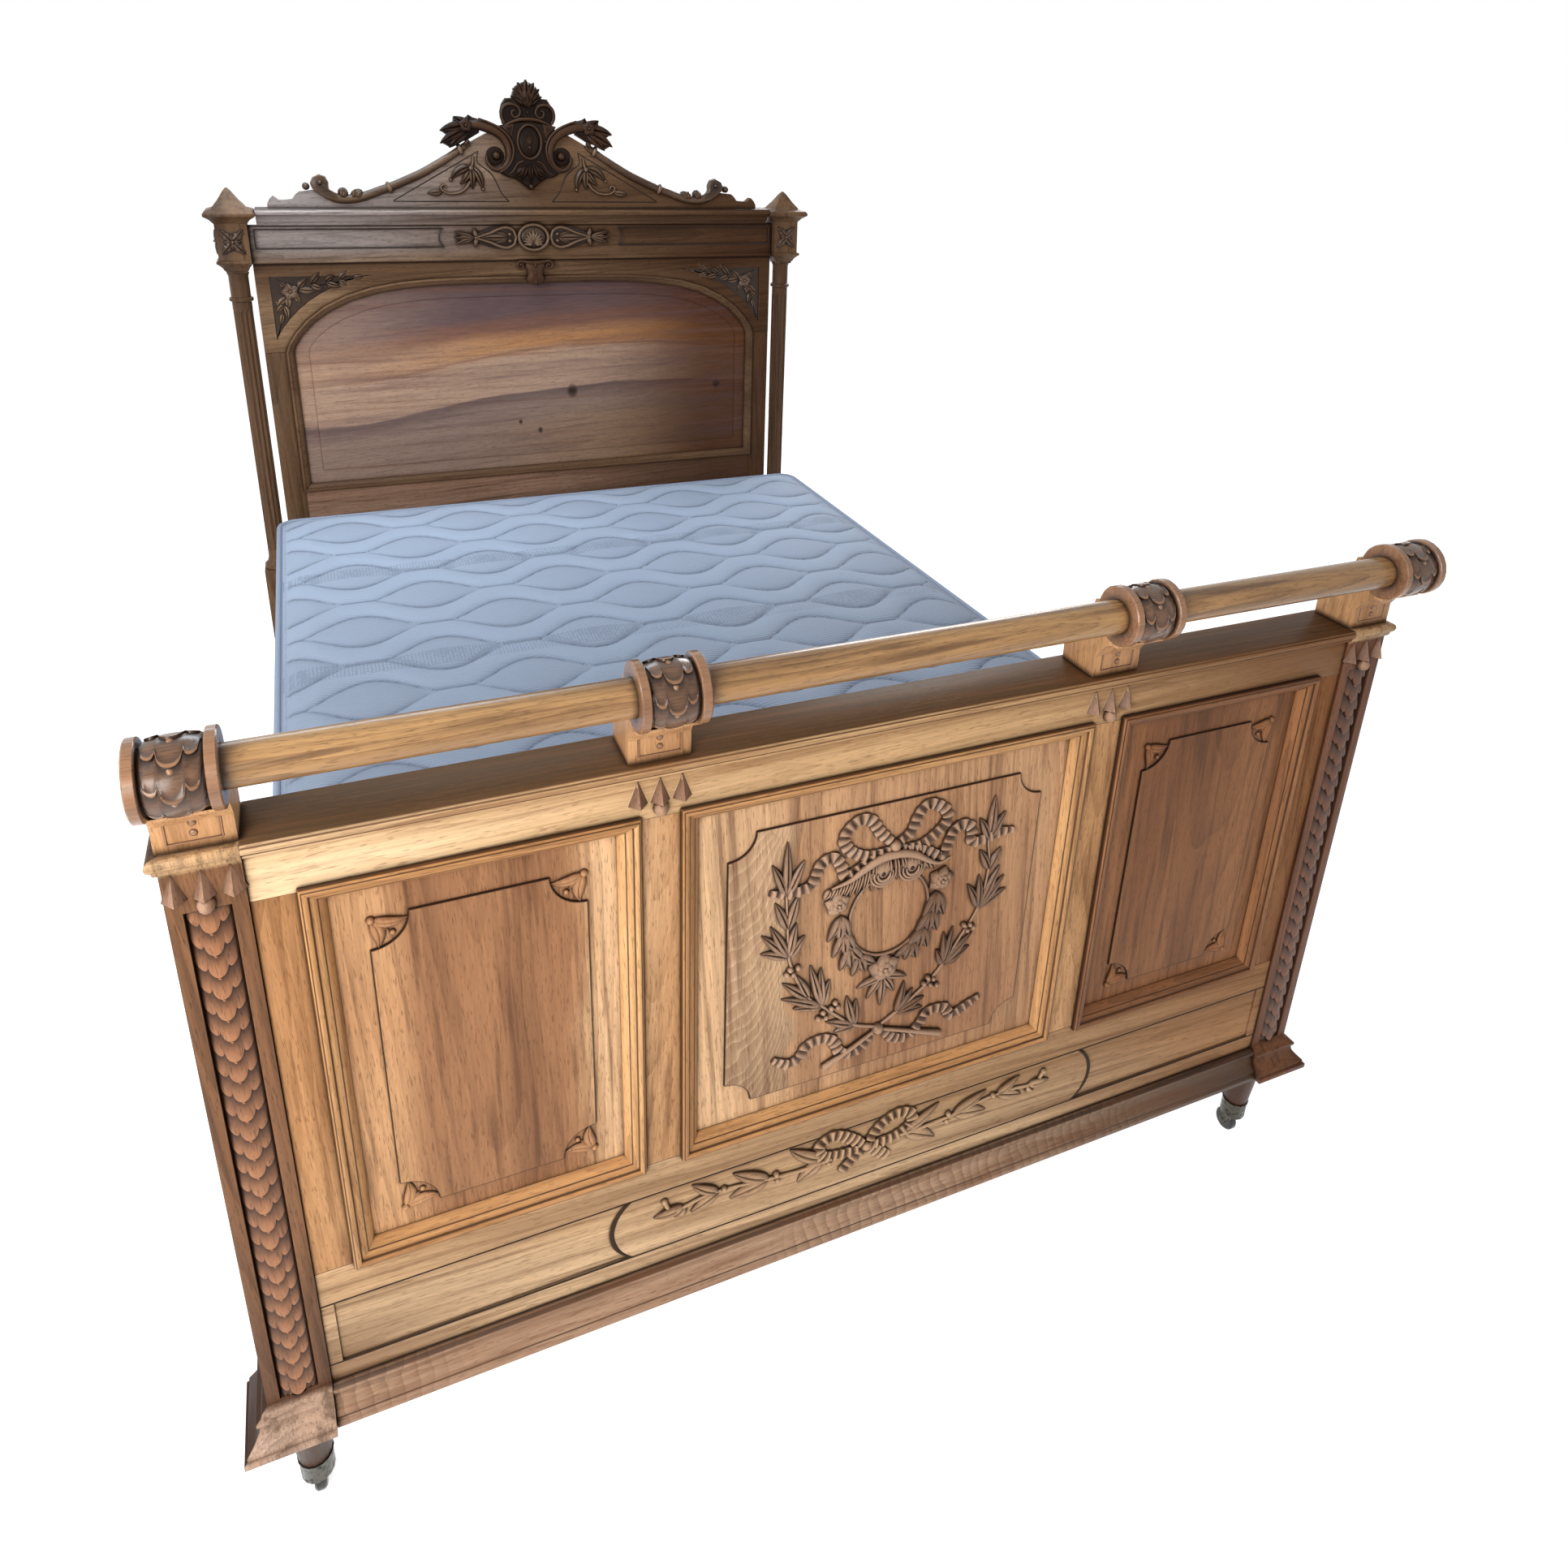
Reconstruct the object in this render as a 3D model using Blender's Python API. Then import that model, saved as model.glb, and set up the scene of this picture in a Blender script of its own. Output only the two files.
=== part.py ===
"""A carved walnut bed on casters, with its slatted base and mattress, in metres and +Z up.

The origin is on the floor under the middle of the bed. +X is to the right for someone who
stands at the foot and looks at the headboard, which is towards +Y.
Footboard pieces are modelled from the face of the footboard's frame, headboard pieces from the
face of the headboard's frame. Two empties carry them to their places.
"""

import math

import bmesh
import bpy
import numpy as np
from mathutils import Matrix, Vector

# Fits
FIT = 0.0003  # gap between two pieces that touch
RUNNING = 0.0004  # gap round a pin that turns

# Mattress and the room round it
MATTRESS_WIDTH = 1.400
MATTRESS_LENGTH = 1.880
MATTRESS_THICK = 0.210
MATTRESS_SIDE_GAP = 0.003
MATTRESS_FOOT_GAP = 0.010
MATTRESS_HEAD_GAP = 0.127
MATTRESS_EDGE_ROUND = 0.024
QUILT_SEAMS = 21
QUILT_WAVE = 0.280  # length of one wave of a seam
QUILT_SWING = 0.021  # how far a seam swings to each side
QUILT_DEPTH = 0.007

# Side rails and slatted base
SLAT_TOP = 0.395
SLAT_THICK = 0.022
SLAT_WIDTH = 0.070
SLAT_COUNT = 14
BEARER_WIDTH = 0.045
RAIL_THICK = 0.021
RAIL_BOTTOM = 0.225
RAIL_TOP = 0.390
CLEAT_WIDTH = 0.024
CLEAT_HEIGHT = 0.030
TENON_THICK = 0.011
TENON_HEIGHT = 0.090
TENON_LENGTH = 0.025

# Footboard frame
POST_WIDTH = 0.067
POST_DEPTH = 0.067
POST_PROUD = 0.003  # the posts stand in front of the frame by this
FOOT_CLEAR = 0.175  # height of the plinths above the floor
FOOTBOARD_TOP = 0.957
FRAME_THICK = 0.030
BOTTOM_RAIL_TOP = 0.395
TOP_RAIL_LOW = 0.889
FOOT_STILE_WIDTH = 0.045
MUNTIN_WIDTH = 0.0535
CENTRE_OPENING = 0.5224
PLINTH_HEIGHT = 0.048
PLINTH_REACH = 0.028
CAP_HEIGHT = 0.020
CAP_REACH = 0.0085
BASE_MOULDING_REACH = 0.022
BASE_MOULDING_HEIGHT = 0.048

# Carved strip on each post
STRIP_GAP_LOW = 0.006  # from the plinth up to the strip
STRIP_GAP_HIGH = 0.0145  # from the strip up to the drops
STRIP_WIDTH = 0.040
STRIP_SINK = 0.009
STRIP_CROWN = 0.0065
STRIP_SCALES = 26
SCALE_STEP = 0.0022  # how far each scale's lip stands over the next one

# Pointed drops under the cap and the rail's nose
DROP_HEIGHT = 0.0275
DROP_WIDTH = 0.017
DROP_PITCH = 0.024
DROP_REACH = 0.009
DROP_TIP = 0.0012
DROP_BALL = 0.0055

# Panels and their mouldings
PANEL_THICK = 0.010
PANEL_SINK = 0.0105  # from the face of the frame to the face of the panel
TONGUE = 0.008  # how far a panel's edge goes into its groove
MOULDING_LAP = 0.005
FOOT_MOULDING_WIDTH = 0.024
HEAD_MOULDING_WIDTH = 0.020
MOULDING_PROUD = 0.0085
FIELD_RAISE = 0.0025
SIDE_FIELD_MARGIN = 0.052
CENTRE_FIELD_MARGIN = 0.0505
FIELD_MARGIN_LOW = 0.070
FIELD_MARGIN_HIGH = 0.046
SIDE_NOTCH = 0.037
CENTRE_NOTCH = 0.033
FRIEZE_FIELD_LOW = 0.249
FRIEZE_FIELD_HIGH = 0.344
FRIEZE_FIELD_START = 0.3085
FRIEZE_FIELD_SINK = 0.003
FRIEZE_FIELD_MARGIN = 0.014

# Roll along the top of the footboard
ROLL_FORWARD = 0.029  # the roll's axis is in front of the frame's face by this
ROLL_HEIGHT = 0.0945  # the roll's axis is above the footboard's top by this
ROLL_RADIUS = 0.0202
ROLL_SIDES = 20  # of the roll and of the collars round it
COLLAR_RADIUS = 0.0362
COLLAR_WIDTH = 0.070
COLLAR_FLANGE = 0.009
BRACKET_WIDTH = 0.067
BRACKET_DEPTH = 0.060
BRACKET_FRONT_HEIGHT = 0.028
BRACKET_HEEL = 0.022

# Turned feet and casters
FOOT_RING_RADIUS = 0.034
FOOT_NECK_RADIUS = 0.026
FOOT_END_RADIUS = 0.0170
CUP_WALL = 0.0022
CUP_HEIGHT = 0.026
CUP_FLOOR = 0.007
CUP_LIP = 0.0012
STEM_RADIUS = 0.0040
FORK_PLATE = 0.0030
FORK_CHEEK = 0.0022
AXLE_RADIUS = 0.0028
WHEEL_RADIUS = 0.0180
WHEEL_WIDTH = 0.0150
WHEEL_HEADROOM = 0.0012  # between the wheel and the fork's plate
CASTER_TRAIL = 0.0080

# Headboard frame
COLUMN_OUTSET = 0.005  # the columns stand further out than the rails' middle by this
COLUMN_SET_BACK = 0.005
BLOCK_WIDTH = 0.071
LEG_TOP = 0.405
HEAD_FRAME_LOW = 0.280
HEAD_STILE_SHOW = 0.049  # what the moulding leaves of a stile's face
PANEL_LOW = 0.606
PANEL_UPRIGHT = 0.373  # from the panel's lower edge to the springing of its arch
ARCH_RISE = 0.178
ARCH_CROWN = 0.042  # wood above the arch's highest point
SPANDREL_GAP = 0.030
SPANDREL_INSET = 0.032
SPANDREL_SINK = 0.004
HEAD_FIELD_INSET = 0.0548
COLUMN_RADIUS = 0.0225
COLUMN_DROP = 0.020  # the column ends below the arched rail's top by this
COLUMN_RING_DROP = 0.064
COLUMN_FLUTES = 12
FLUTE_DEPTH = 0.0030
CAPITAL_REACH = 0.0208
BLOCK_HEIGHT = 0.0855
CAP_SPREAD_HEIGHT = 0.0345
FINIAL_HEIGHT = 0.046
FRIEZE_PROUD = 0.010
FRIEZE_HEIGHT = 0.090
FRIEZE_PANEL_START = 0.2224
FRIEZE_PANEL_HEIGHT = 0.046
FRIEZE_PANEL_GAP = 0.007  # from the sunk panel up to the cornice
FRIEZE_PANEL_MARGIN = 0.012
CORNICE_HEIGHT = 0.042
CORNICE_REACH = 0.034
KEYSTONE_DROP = 0.0225  # the keystone hangs below the arch's highest point by this
KEYSTONE_WIDTH = 0.084
KEYSTONE_REACH = 0.022

# Pediment, with heights above the cornice and lengths from the board's end
BOARD_THICK = 0.024
BOARD_PROUD = 0.004
BOARD_END_GAP = 0.014  # between the board's end and the capital
SHOULDER_X = 0.170
SHOULDER_HEIGHT = 0.163
DIP_FROM_END = 0.196
DIP_HEIGHT = 0.018
SCROLL_FROM_END = 0.128
SCROLL_HEIGHT = 0.053
ROD_RADIUS = 0.0085
CREST_HEIGHT = 0.1616  # of the medallion's middle
CREST_UP = 0.1509
CREST_DOWN = 0.1116
CREST_HALF = 0.226
CREST_THICK = 0.012
MEDALLION_HALF_WIDTH = 0.0240
MEDALLION_HALF_HEIGHT = 0.0345
PALMETTE_HALF = 0.208
PALMETTE_RADIUS = 0.0225
PALMETTE_RELIEF = 0.010

# Places worked out from the sizes above
RAIL_X = MATTRESS_WIDTH / 2 + MATTRESS_SIDE_GAP + RAIL_THICK / 2
POST_X = RAIL_X
POST_IN = POST_X - POST_WIDTH / 2
POST_OUT = POST_X + POST_WIDTH / 2
POST_BACK = POST_DEPTH - POST_PROUD
COLUMN_X = RAIL_X + COLUMN_OUTSET
BLOCK_HALF = BLOCK_WIDTH / 2
HEAD_HALF = COLUMN_X - BLOCK_HALF - FIT
CAP_HALF = BLOCK_HALF + CAPITAL_REACH
LEG_FRONT = COLUMN_SET_BACK - BLOCK_HALF
BED_INSIDE = MATTRESS_FOOT_GAP + MATTRESS_LENGTH + MATTRESS_HEAD_GAP
FACE_TO_FACE = POST_BACK + BED_INSIDE - LEG_FRONT
FRONT_REACH = max(ROLL_FORWARD + COLLAR_RADIUS, POST_PROUD + PLINTH_REACH)
BACK_REACH = COLUMN_SET_BACK + CAP_HALF
FOOT_Y = FRONT_REACH - (FRONT_REACH + FACE_TO_FACE + BACK_REACH) / 2
HEAD_Y = FOOT_Y + FACE_TO_FACE
ROLL_Z = FOOTBOARD_TOP + ROLL_HEIGHT
INNER_COLLAR_X = CENTRE_OPENING / 2 + MUNTIN_WIDTH / 2
CAP_LOW = FOOTBOARD_TOP - CAP_HEIGHT
DROP_HIGH = CAP_LOW - 0.001
DROP_LOW = DROP_HIGH - DROP_HEIGHT
STRIP_LOW = FOOT_CLEAR + PLINTH_HEIGHT + STRIP_GAP_LOW
STRIP_HIGH = DROP_LOW - STRIP_GAP_HIGH
ARCH_HALF = HEAD_HALF - HEAD_STILE_SHOW
ARCH_SPRING = PANEL_LOW + PANEL_UPRIGHT
ARCH_TOP = ARCH_SPRING + ARCH_RISE
ARCH_RAIL_TOP = ARCH_TOP + ARCH_CROWN
FRIEZE_TOP = ARCH_RAIL_TOP + FRIEZE_HEIGHT
FRIEZE_PANEL_HIGH = FRIEZE_TOP - FRIEZE_PANEL_GAP
FRIEZE_PANEL_LOW = FRIEZE_PANEL_HIGH - FRIEZE_PANEL_HEIGHT
CAPITAL_TOP = FRIEZE_TOP + CORNICE_HEIGHT
COLUMN_TOP = ARCH_RAIL_TOP - COLUMN_DROP
COLUMN_RING_Z = COLUMN_TOP - COLUMN_RING_DROP
CORNICE_HALF = COLUMN_X - CAP_HALF - FIT
BOARD_HALF = CORNICE_HALF - BOARD_END_GAP
SHOULDER_Z = CAPITAL_TOP + SHOULDER_HEIGHT
DIP_X = BOARD_HALF - DIP_FROM_END
DIP_Z = CAPITAL_TOP + DIP_HEIGHT
SCROLL_X = BOARD_HALF - SCROLL_FROM_END
SCROLL_Z = CAPITAL_TOP + SCROLL_HEIGHT
CREST_Z = CAPITAL_TOP + CREST_HEIGHT
TENON_LOW = (RAIL_BOTTOM + RAIL_TOP - TENON_HEIGHT) / 2
AXLE_Z = WHEEL_RADIUS
PLATE_Z = 2 * WHEEL_RADIUS + WHEEL_HEADROOM + FORK_PLATE  # top of the fork's plate
CUP_LOW = PLATE_Z + FIT
FOOT_END = CUP_LOW + CUP_FLOOR + FIT  # height of the foot's lower end
SIDES = {"left": -1, "right": 1}
# Section of the nose on the caps and the top rail: (share of its height, share of its reach)
NOSE = [(0.0, 0.0), (0.15, 0.4), (0.35, 0.5), (0.50, 0.85), (0.72, 1.0), (0.92, 0.85), (1.0, 0.6)]


def remove_everything():
    for old in list(bpy.data.objects):
        bpy.data.objects.remove(old, do_unlink=True)


def finish(name, colour, roughness, metallic=0.0):
    """A plain surface: colour, roughness and metal from the real piece."""
    made = bpy.data.materials.new(name)
    made.use_nodes = True
    shader = made.node_tree.nodes["Principled BSDF"]
    shader.inputs["Base Color"].default_value = (*colour, 1.0)
    shader.inputs["Roughness"].default_value = roughness
    shader.inputs["Metallic"].default_value = metallic
    made.diffuse_color = (*colour, 1.0)
    return made


def empty(name, place, parent=None):
    made = bpy.data.objects.new(name, None)
    made.location = place
    made.parent = parent
    bpy.context.collection.objects.link(made)
    return made


def piece(name, shape, surface, parent, place=(0.0, 0.0, 0.0), smooth=None):
    """Turns a bmesh into a named object. smooth is the angle, in degrees, of the edges kept sharp."""
    bmesh.ops.recalc_face_normals(shape, faces=shape.faces)
    mesh = bpy.data.meshes.new(name)
    shape.to_mesh(mesh)
    shape.free()
    mesh.materials.append(surface)
    if smooth is not None:
        mesh.shade_smooth()
        mesh.set_sharp_from_angle(angle=math.radians(smooth))
    made = bpy.data.objects.new(name, mesh)
    made.location = place
    made.parent = parent
    bpy.context.collection.objects.link(made)
    return made


def combine(target, tool, operation):
    """A Boolean between a piece and a bmesh in the piece's own frame."""
    bmesh.ops.recalc_face_normals(tool, faces=tool.faces)
    mesh = bpy.data.meshes.new(target.name + "_tool")
    tool.to_mesh(mesh)
    tool.free()
    helper = bpy.data.objects.new(target.name + "_tool", mesh)
    helper.location = target.location
    helper.parent = target.parent
    helper.hide_render = True
    helper.display_type = "WIRE"
    bpy.context.collection.objects.link(helper)
    modifier = target.modifiers.new(operation.lower(), "BOOLEAN")
    modifier.operation = operation
    modifier.object = helper


def cut(target, tool):
    combine(target, tool, "DIFFERENCE")


def fuse(target, tool):
    combine(target, tool, "UNION")


def block(low, high):
    """A box between two corners."""
    shape = bmesh.new()
    bmesh.ops.create_cube(shape, size=1.0)
    size = [b - a for a, b in zip(low, high)]
    middle = [(a + b) / 2 for a, b in zip(low, high)]
    bmesh.ops.scale(shape, vec=size, verts=shape.verts)
    bmesh.ops.translate(shape, vec=middle, verts=shape.verts)
    return shape


def prism(outline, axis, start, end):
    """An outline extruded along one axis. Its points are the two other coordinates, in X, Y, Z order."""
    places = {"x": (1, 2, 0), "y": (0, 2, 1), "z": (0, 1, 2)}[axis]
    shape = bmesh.new()
    corners = []
    for first, second in outline:
        point = [0.0, 0.0, 0.0]
        point[places[0]] = first
        point[places[1]] = second
        point[places[2]] = start
        corners.append(shape.verts.new(point))
    face = shape.faces.new(corners)
    moved = bmesh.ops.extrude_face_region(shape, geom=[face])["geom"]
    along = Vector((0.0, 0.0, 0.0))
    along[places[2]] = end - start
    ends = [part for part in moved if isinstance(part, bmesh.types.BMVert)]
    bmesh.ops.translate(shape, vec=along, verts=ends)
    return shape


def turned(profile, steps, turn=0.0):
    """A profile of (radius, height) points, spun round the Z axis. It starts and ends on the axis or closes."""
    shape = bmesh.new()
    start = Matrix.Rotation(turn, 4, "Z")
    points = [shape.verts.new(start @ Vector((radius, 0.0, z))) for radius, z in profile]
    edges = [shape.edges.new(pair) for pair in zip(points, points[1:])]
    if profile[0][0] > 0:
        edges.append(shape.edges.new((points[-1], points[0])))
    bmesh.ops.spin(
        shape,
        geom=points + edges,
        axis=(0, 0, 1),
        cent=(0, 0, 0),
        steps=steps,
        angle=2 * math.pi,
        use_merge=True,
    )
    bmesh.ops.remove_doubles(shape, verts=shape.verts, dist=1e-6)
    return shape


def along_x(shape, place):
    """Lays a turned shape along X, with its height towards +X."""
    bmesh.ops.rotate(shape, matrix=Matrix.Rotation(math.pi / 2, 3, "Y"), verts=shape.verts)
    bmesh.ops.translate(shape, vec=place, verts=shape.verts)
    return shape


def lofted(rings, closed=False):
    """Walls between rings of points. An open run of rings gets end caps."""
    shape = bmesh.new()
    loops = [[shape.verts.new(point) for point in ring] for ring in rings]
    pairs = list(zip(loops, loops[1:]))
    if closed:
        pairs.append((loops[-1], loops[0]))
    for lower, upper in pairs:
        for k in range(len(lower)):
            after = (k + 1) % len(lower)
            shape.faces.new((lower[k], lower[after], upper[after], upper[k]))
    if not closed:
        shape.faces.new(loops[0])
        shape.faces.new(loops[-1])
    return shape


def mirrored(shape, side):
    """The shape for the left side, from one modelled on the right."""
    if side < 0:
        bmesh.ops.scale(shape, vec=(-1.0, 1.0, 1.0), verts=shape.verts)
    return shape


def arc(centre, radius, start, end, steps):
    """Points on an arc. The angles are in degrees."""
    angles = np.radians(np.linspace(start, end, steps + 1))
    return [(centre[0] + radius * math.cos(a), centre[1] + radius * math.sin(a)) for a in angles]


def smooth_run(points, steps):
    """A smooth curve through points (Catmull-Rom), with so many steps between each two."""
    knots = np.array([points[0], *points, points[-1]], float)
    run = []
    for before, here, there, after in zip(knots, knots[1:], knots[2:], knots[3:]):
        for t in np.linspace(0.0, 1.0, steps, endpoint=False):
            bend = (2 * before - 5 * here + 4 * there - after) * t * t
            twist = (3 * here - before - 3 * there + after) * t * t * t
            run.append(tuple(here + 0.5 * ((there - before) * t + bend + twist)))
    run.append(tuple(knots[-1]))
    return run


# Feet and casters


def foot_shape(x, y):
    """The turned foot: a ring under the block, then a taper to a spigot for the brass cup."""
    shoulder = FOOT_END + CUP_HEIGHT
    neck = FOOT_CLEAR - 0.034
    profile = [
        (0.0, FOOT_END),
        (FOOT_END_RADIUS, FOOT_END),
        (FOOT_END_RADIUS, shoulder),
        (FOOT_END_RADIUS + CUP_WALL, shoulder + FIT),
        (FOOT_NECK_RADIUS, neck),
        (FOOT_RING_RADIUS - 0.004, neck + 0.003),
        (FOOT_RING_RADIUS, neck + 0.010),
        (FOOT_RING_RADIUS, neck + 0.018),
        (FOOT_RING_RADIUS - 0.004, neck + 0.026),
        (FOOT_RING_RADIUS - 0.005, FOOT_CLEAR + 0.010),
        (0.0, FOOT_CLEAR + 0.010),
    ]
    shape = turned(profile, 16)
    bmesh.ops.translate(shape, vec=(x, y, 0.0), verts=shape.verts)
    return shape


def caster(corner, x, y, parent):
    """Brass cup on the foot's end, a fork that swivels under it, and a wheel on the fork's axle."""
    cup_in = FOOT_END_RADIUS + FIT
    hole = STEM_RADIUS + RUNNING
    swivel = empty("caster_" + corner, (x, y, 0.0), parent)
    cup_out = cup_in + CUP_WALL
    cup_top = FOOT_END + CUP_HEIGHT - FIT
    cup_profile = [
        (hole, CUP_LOW),
        (cup_out - CUP_WALL, CUP_LOW),
        (cup_out, CUP_LOW + CUP_WALL),
        (cup_out, cup_top - 2 * CUP_LIP),
        (cup_out + CUP_LIP, cup_top - CUP_LIP),
        (cup_out + CUP_LIP, cup_top),
        (cup_in, cup_top),
        (cup_in, CUP_LOW + CUP_FLOOR),
        (hole, CUP_LOW + CUP_FLOOR),
    ]
    piece("caster_cup_" + corner, turned(cup_profile, 16), brass, swivel, smooth=35)

    # The fork's origin is on the swivel's axis, at the axle's height.
    rise = PLATE_Z - AXLE_Z
    inside = WHEEL_WIDTH / 2 + FIT
    plate_radius = inside + FORK_CHEEK + 0.004
    plate_profile = [
        (0.0, rise - FORK_PLATE),
        (plate_radius, rise - FORK_PLATE),
        (plate_radius, rise),
        (STEM_RADIUS, rise),
        (STEM_RADIUS, rise + CUP_FLOOR),
        (0.0, rise + CUP_FLOOR),
    ]
    plate = turned(plate_profile, 14)
    fork = piece("caster_fork_" + corner, plate, brass, swivel, (0, 0, AXLE_Z), smooth=35)
    cheek_round = AXLE_RADIUS + 0.0030
    cheek = [(CASTER_TRAIL - cheek_round, 0.0)]
    cheek += arc((CASTER_TRAIL, 0.0), cheek_round, 180, 360, 4)[1:]
    cheek += [(plate_radius * 0.8, rise - FORK_PLATE / 2), (-plate_radius * 0.6, rise - FORK_PLATE / 2)]
    for side in (-1, 1):
        start, end = sorted((side * inside, side * (inside + FORK_CHEEK)))
        fuse(fork, prism(cheek, "x", start, end))
    axle_half = inside + FORK_CHEEK + 0.0008
    axle_profile = [(0.0, -axle_half), (AXLE_RADIUS, -axle_half), (AXLE_RADIUS, axle_half), (0.0, axle_half)]
    fuse(fork, along_x(turned(axle_profile, 8), (0.0, CASTER_TRAIL, 0.0)))

    # The wheel lies on one of its flats, so the flats and not the corners are at its radius.
    wheel_sides = 20
    rim = WHEEL_RADIUS / math.cos(math.pi / wheel_sides)
    half = WHEEL_WIDTH / 2 - RUNNING
    bore = AXLE_RADIUS + RUNNING
    wheel_profile = [
        (bore, -half),
        (rim - 0.0030, -half),
        (rim, -half + 0.0030),
        (rim, half - 0.0030),
        (rim - 0.0030, half),
        (bore, half),
    ]
    wheel = along_x(turned(wheel_profile, wheel_sides, math.pi / wheel_sides), (0.0, 0.0, 0.0))
    piece("caster_wheel_" + corner, wheel, dark, swivel, (0.0, CASTER_TRAIL, AXLE_Z), smooth=40)


# Footboard


def wrapped_levels(levels, side, front, back, inner, outer):
    """A post's moulding: rings that reach out to the front and the outer side by each level's reach."""
    rings = []
    for height, reach in levels:
        corners = [
            (inner, front - reach),
            (outer + reach, front - reach),
            (outer + reach, back),
            (inner, back),
        ]
        rings.append([(side * x, y, height) for x, y in corners])
    return lofted(rings)


def drops(target, middle, front):
    """Three pointed drops in a row, with a ball under the middle one."""
    for k in (-1, 0, 1):
        x = middle + k * DROP_PITCH
        low = [
            (x - DROP_WIDTH / 2, front + 0.002, DROP_LOW),
            (x, front - DROP_REACH, DROP_LOW),
            (x + DROP_WIDTH / 2, front + 0.002, DROP_LOW),
        ]
        high = [
            (x - DROP_TIP, front + 0.002, DROP_HIGH),
            (x, front - DROP_TIP, DROP_HIGH),
            (x + DROP_TIP, front + 0.002, DROP_HIGH),
        ]
        fuse(target, lofted([low, high]))
    ball = bmesh.new()
    bmesh.ops.create_icosphere(ball, subdivisions=1, radius=DROP_BALL)
    hang = (middle, front - DROP_BALL * 0.6, DROP_LOW - DROP_BALL * 0.5)
    bmesh.ops.translate(ball, vec=hang, verts=ball.verts)
    fuse(target, ball)


def strip_tool(side):
    """Cuts the sunk field of a post and leaves its crowned strip of overlapping scales standing."""
    step = (STRIP_HIGH - STRIP_LOW) / STRIP_SCALES
    front = -POST_PROUD
    half = STRIP_WIDTH / 2
    rings = []
    for k in range(STRIP_SCALES):
        for part, lift in ((0.02, 0.0), (0.98, SCALE_STEP)):
            ring = [(half, front - 0.01), (-half, front - 0.01)]
            for t in np.linspace(-1.0, 1.0, 5):
                depth = STRIP_SINK - (STRIP_CROWN - lift) * (1 - t * t)
                ring.append((t * half, front + depth))
            height = STRIP_LOW + (k + part) * step
            rings.append([(side * (POST_X + x), y, height) for x, y in ring])
    return lofted(rings)


def post(name, side, parent):
    plinth = [(0.0, 1.0), (0.15, 1.0), (0.17, 0.88), (0.27, 0.88), (0.42, 0.58), (0.60, 0.38), (0.75, 0.34)]
    plinth += [(0.79, 0.44), (0.88, 0.44), (0.93, 0.26), (1.0, 0.20)]
    levels = [(FOOT_CLEAR + z * PLINTH_HEIGHT, reach * PLINTH_REACH) for z, reach in plinth]
    levels.append((FOOT_CLEAR + PLINTH_HEIGHT + 0.003, 0.0))
    levels += [(CAP_LOW + z * CAP_HEIGHT, reach * CAP_REACH) for z, reach in NOSE]
    shape = wrapped_levels(levels, side, -POST_PROUD, POST_BACK, POST_IN, POST_OUT)
    made = piece(name, shape, walnut_dark, parent)
    cut(made, strip_tool(side))
    mortise = block(
        (side * RAIL_X - TENON_THICK / 2 - FIT, POST_BACK - TENON_LENGTH - FIT, TENON_LOW - FIT),
        (side * RAIL_X + TENON_THICK / 2 + FIT, POST_BACK + 0.01, TENON_LOW + TENON_HEIGHT + FIT),
    )
    cut(made, mortise)
    drops(made, side * POST_X, -POST_PROUD)
    fuse(made, foot_shape(side * POST_X, (POST_BACK - POST_PROUD) / 2))
    return made


def opening_spans():
    """The X limits of the three panel openings, from left to right."""
    half = CENTRE_OPENING / 2
    inner = half + MUNTIN_WIDTH
    outer = POST_IN - FIT - FOOT_STILE_WIDTH
    return {"left": (-outer, -inner), "centre": (-half, half), "right": (inner, outer)}


def panel_tongue(span, grow):
    """The board of a footboard panel, or the groove for it when grown by the fit."""
    return block(
        (span[0] - TONGUE - grow, PANEL_SINK - grow, BOTTOM_RAIL_TOP - TONGUE - grow),
        (span[1] + TONGUE + grow, PANEL_SINK + PANEL_THICK + grow, TOP_RAIL_LOW + TONGUE + grow),
    )


def notched_field(x0, x1, z0, z1, notch):
    """A rectangle with a quarter circle taken out of each corner."""
    outline = arc((x0, z0), notch, 90, 0, 5) + arc((x1, z0), notch, 180, 90, 5)
    return outline + arc((x1, z1), notch, 270, 180, 5) + arc((x0, z1), notch, 360, 270, 5)


def moulding_profile(width):
    """(inset, depth) points of a panel moulding that laps over the frame and rests on the panel."""
    face = -FIT
    seat = PANEL_SINK - FIT
    rebate = MOULDING_LAP + FIT
    ogee = [(0.0, 0.5), (0.10, 0.9), (0.22, 1.0), (0.34, 0.85), (0.40, 0.45), (0.55, 0.35), (0.72, 0.0)]
    ogee += [(0.88, -0.5)]
    points = [(rebate, seat), (rebate, face), (0.0, face)]
    points += [(t * width, -rise * MOULDING_PROUD) for t, rise in ogee]
    return points + [(width, seat)]


def frame_moulding(span, width):
    """A mitred rectangle of moulding round a footboard opening."""
    low, high = BOTTOM_RAIL_TOP - MOULDING_LAP, TOP_RAIL_LOW + MOULDING_LAP
    left, right = span[0] - MOULDING_LAP, span[1] + MOULDING_LAP
    rings = []
    for corner_x, in_x, corner_z, in_z in (
        (left, 1, low, 1),
        (right, -1, low, 1),
        (right, -1, high, -1),
        (left, 1, high, -1),
    ):
        rings.append([(corner_x + in_x * d, y, corner_z + in_z * d) for d, y in moulding_profile(width)])
    return lofted(rings, closed=True)


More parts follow.
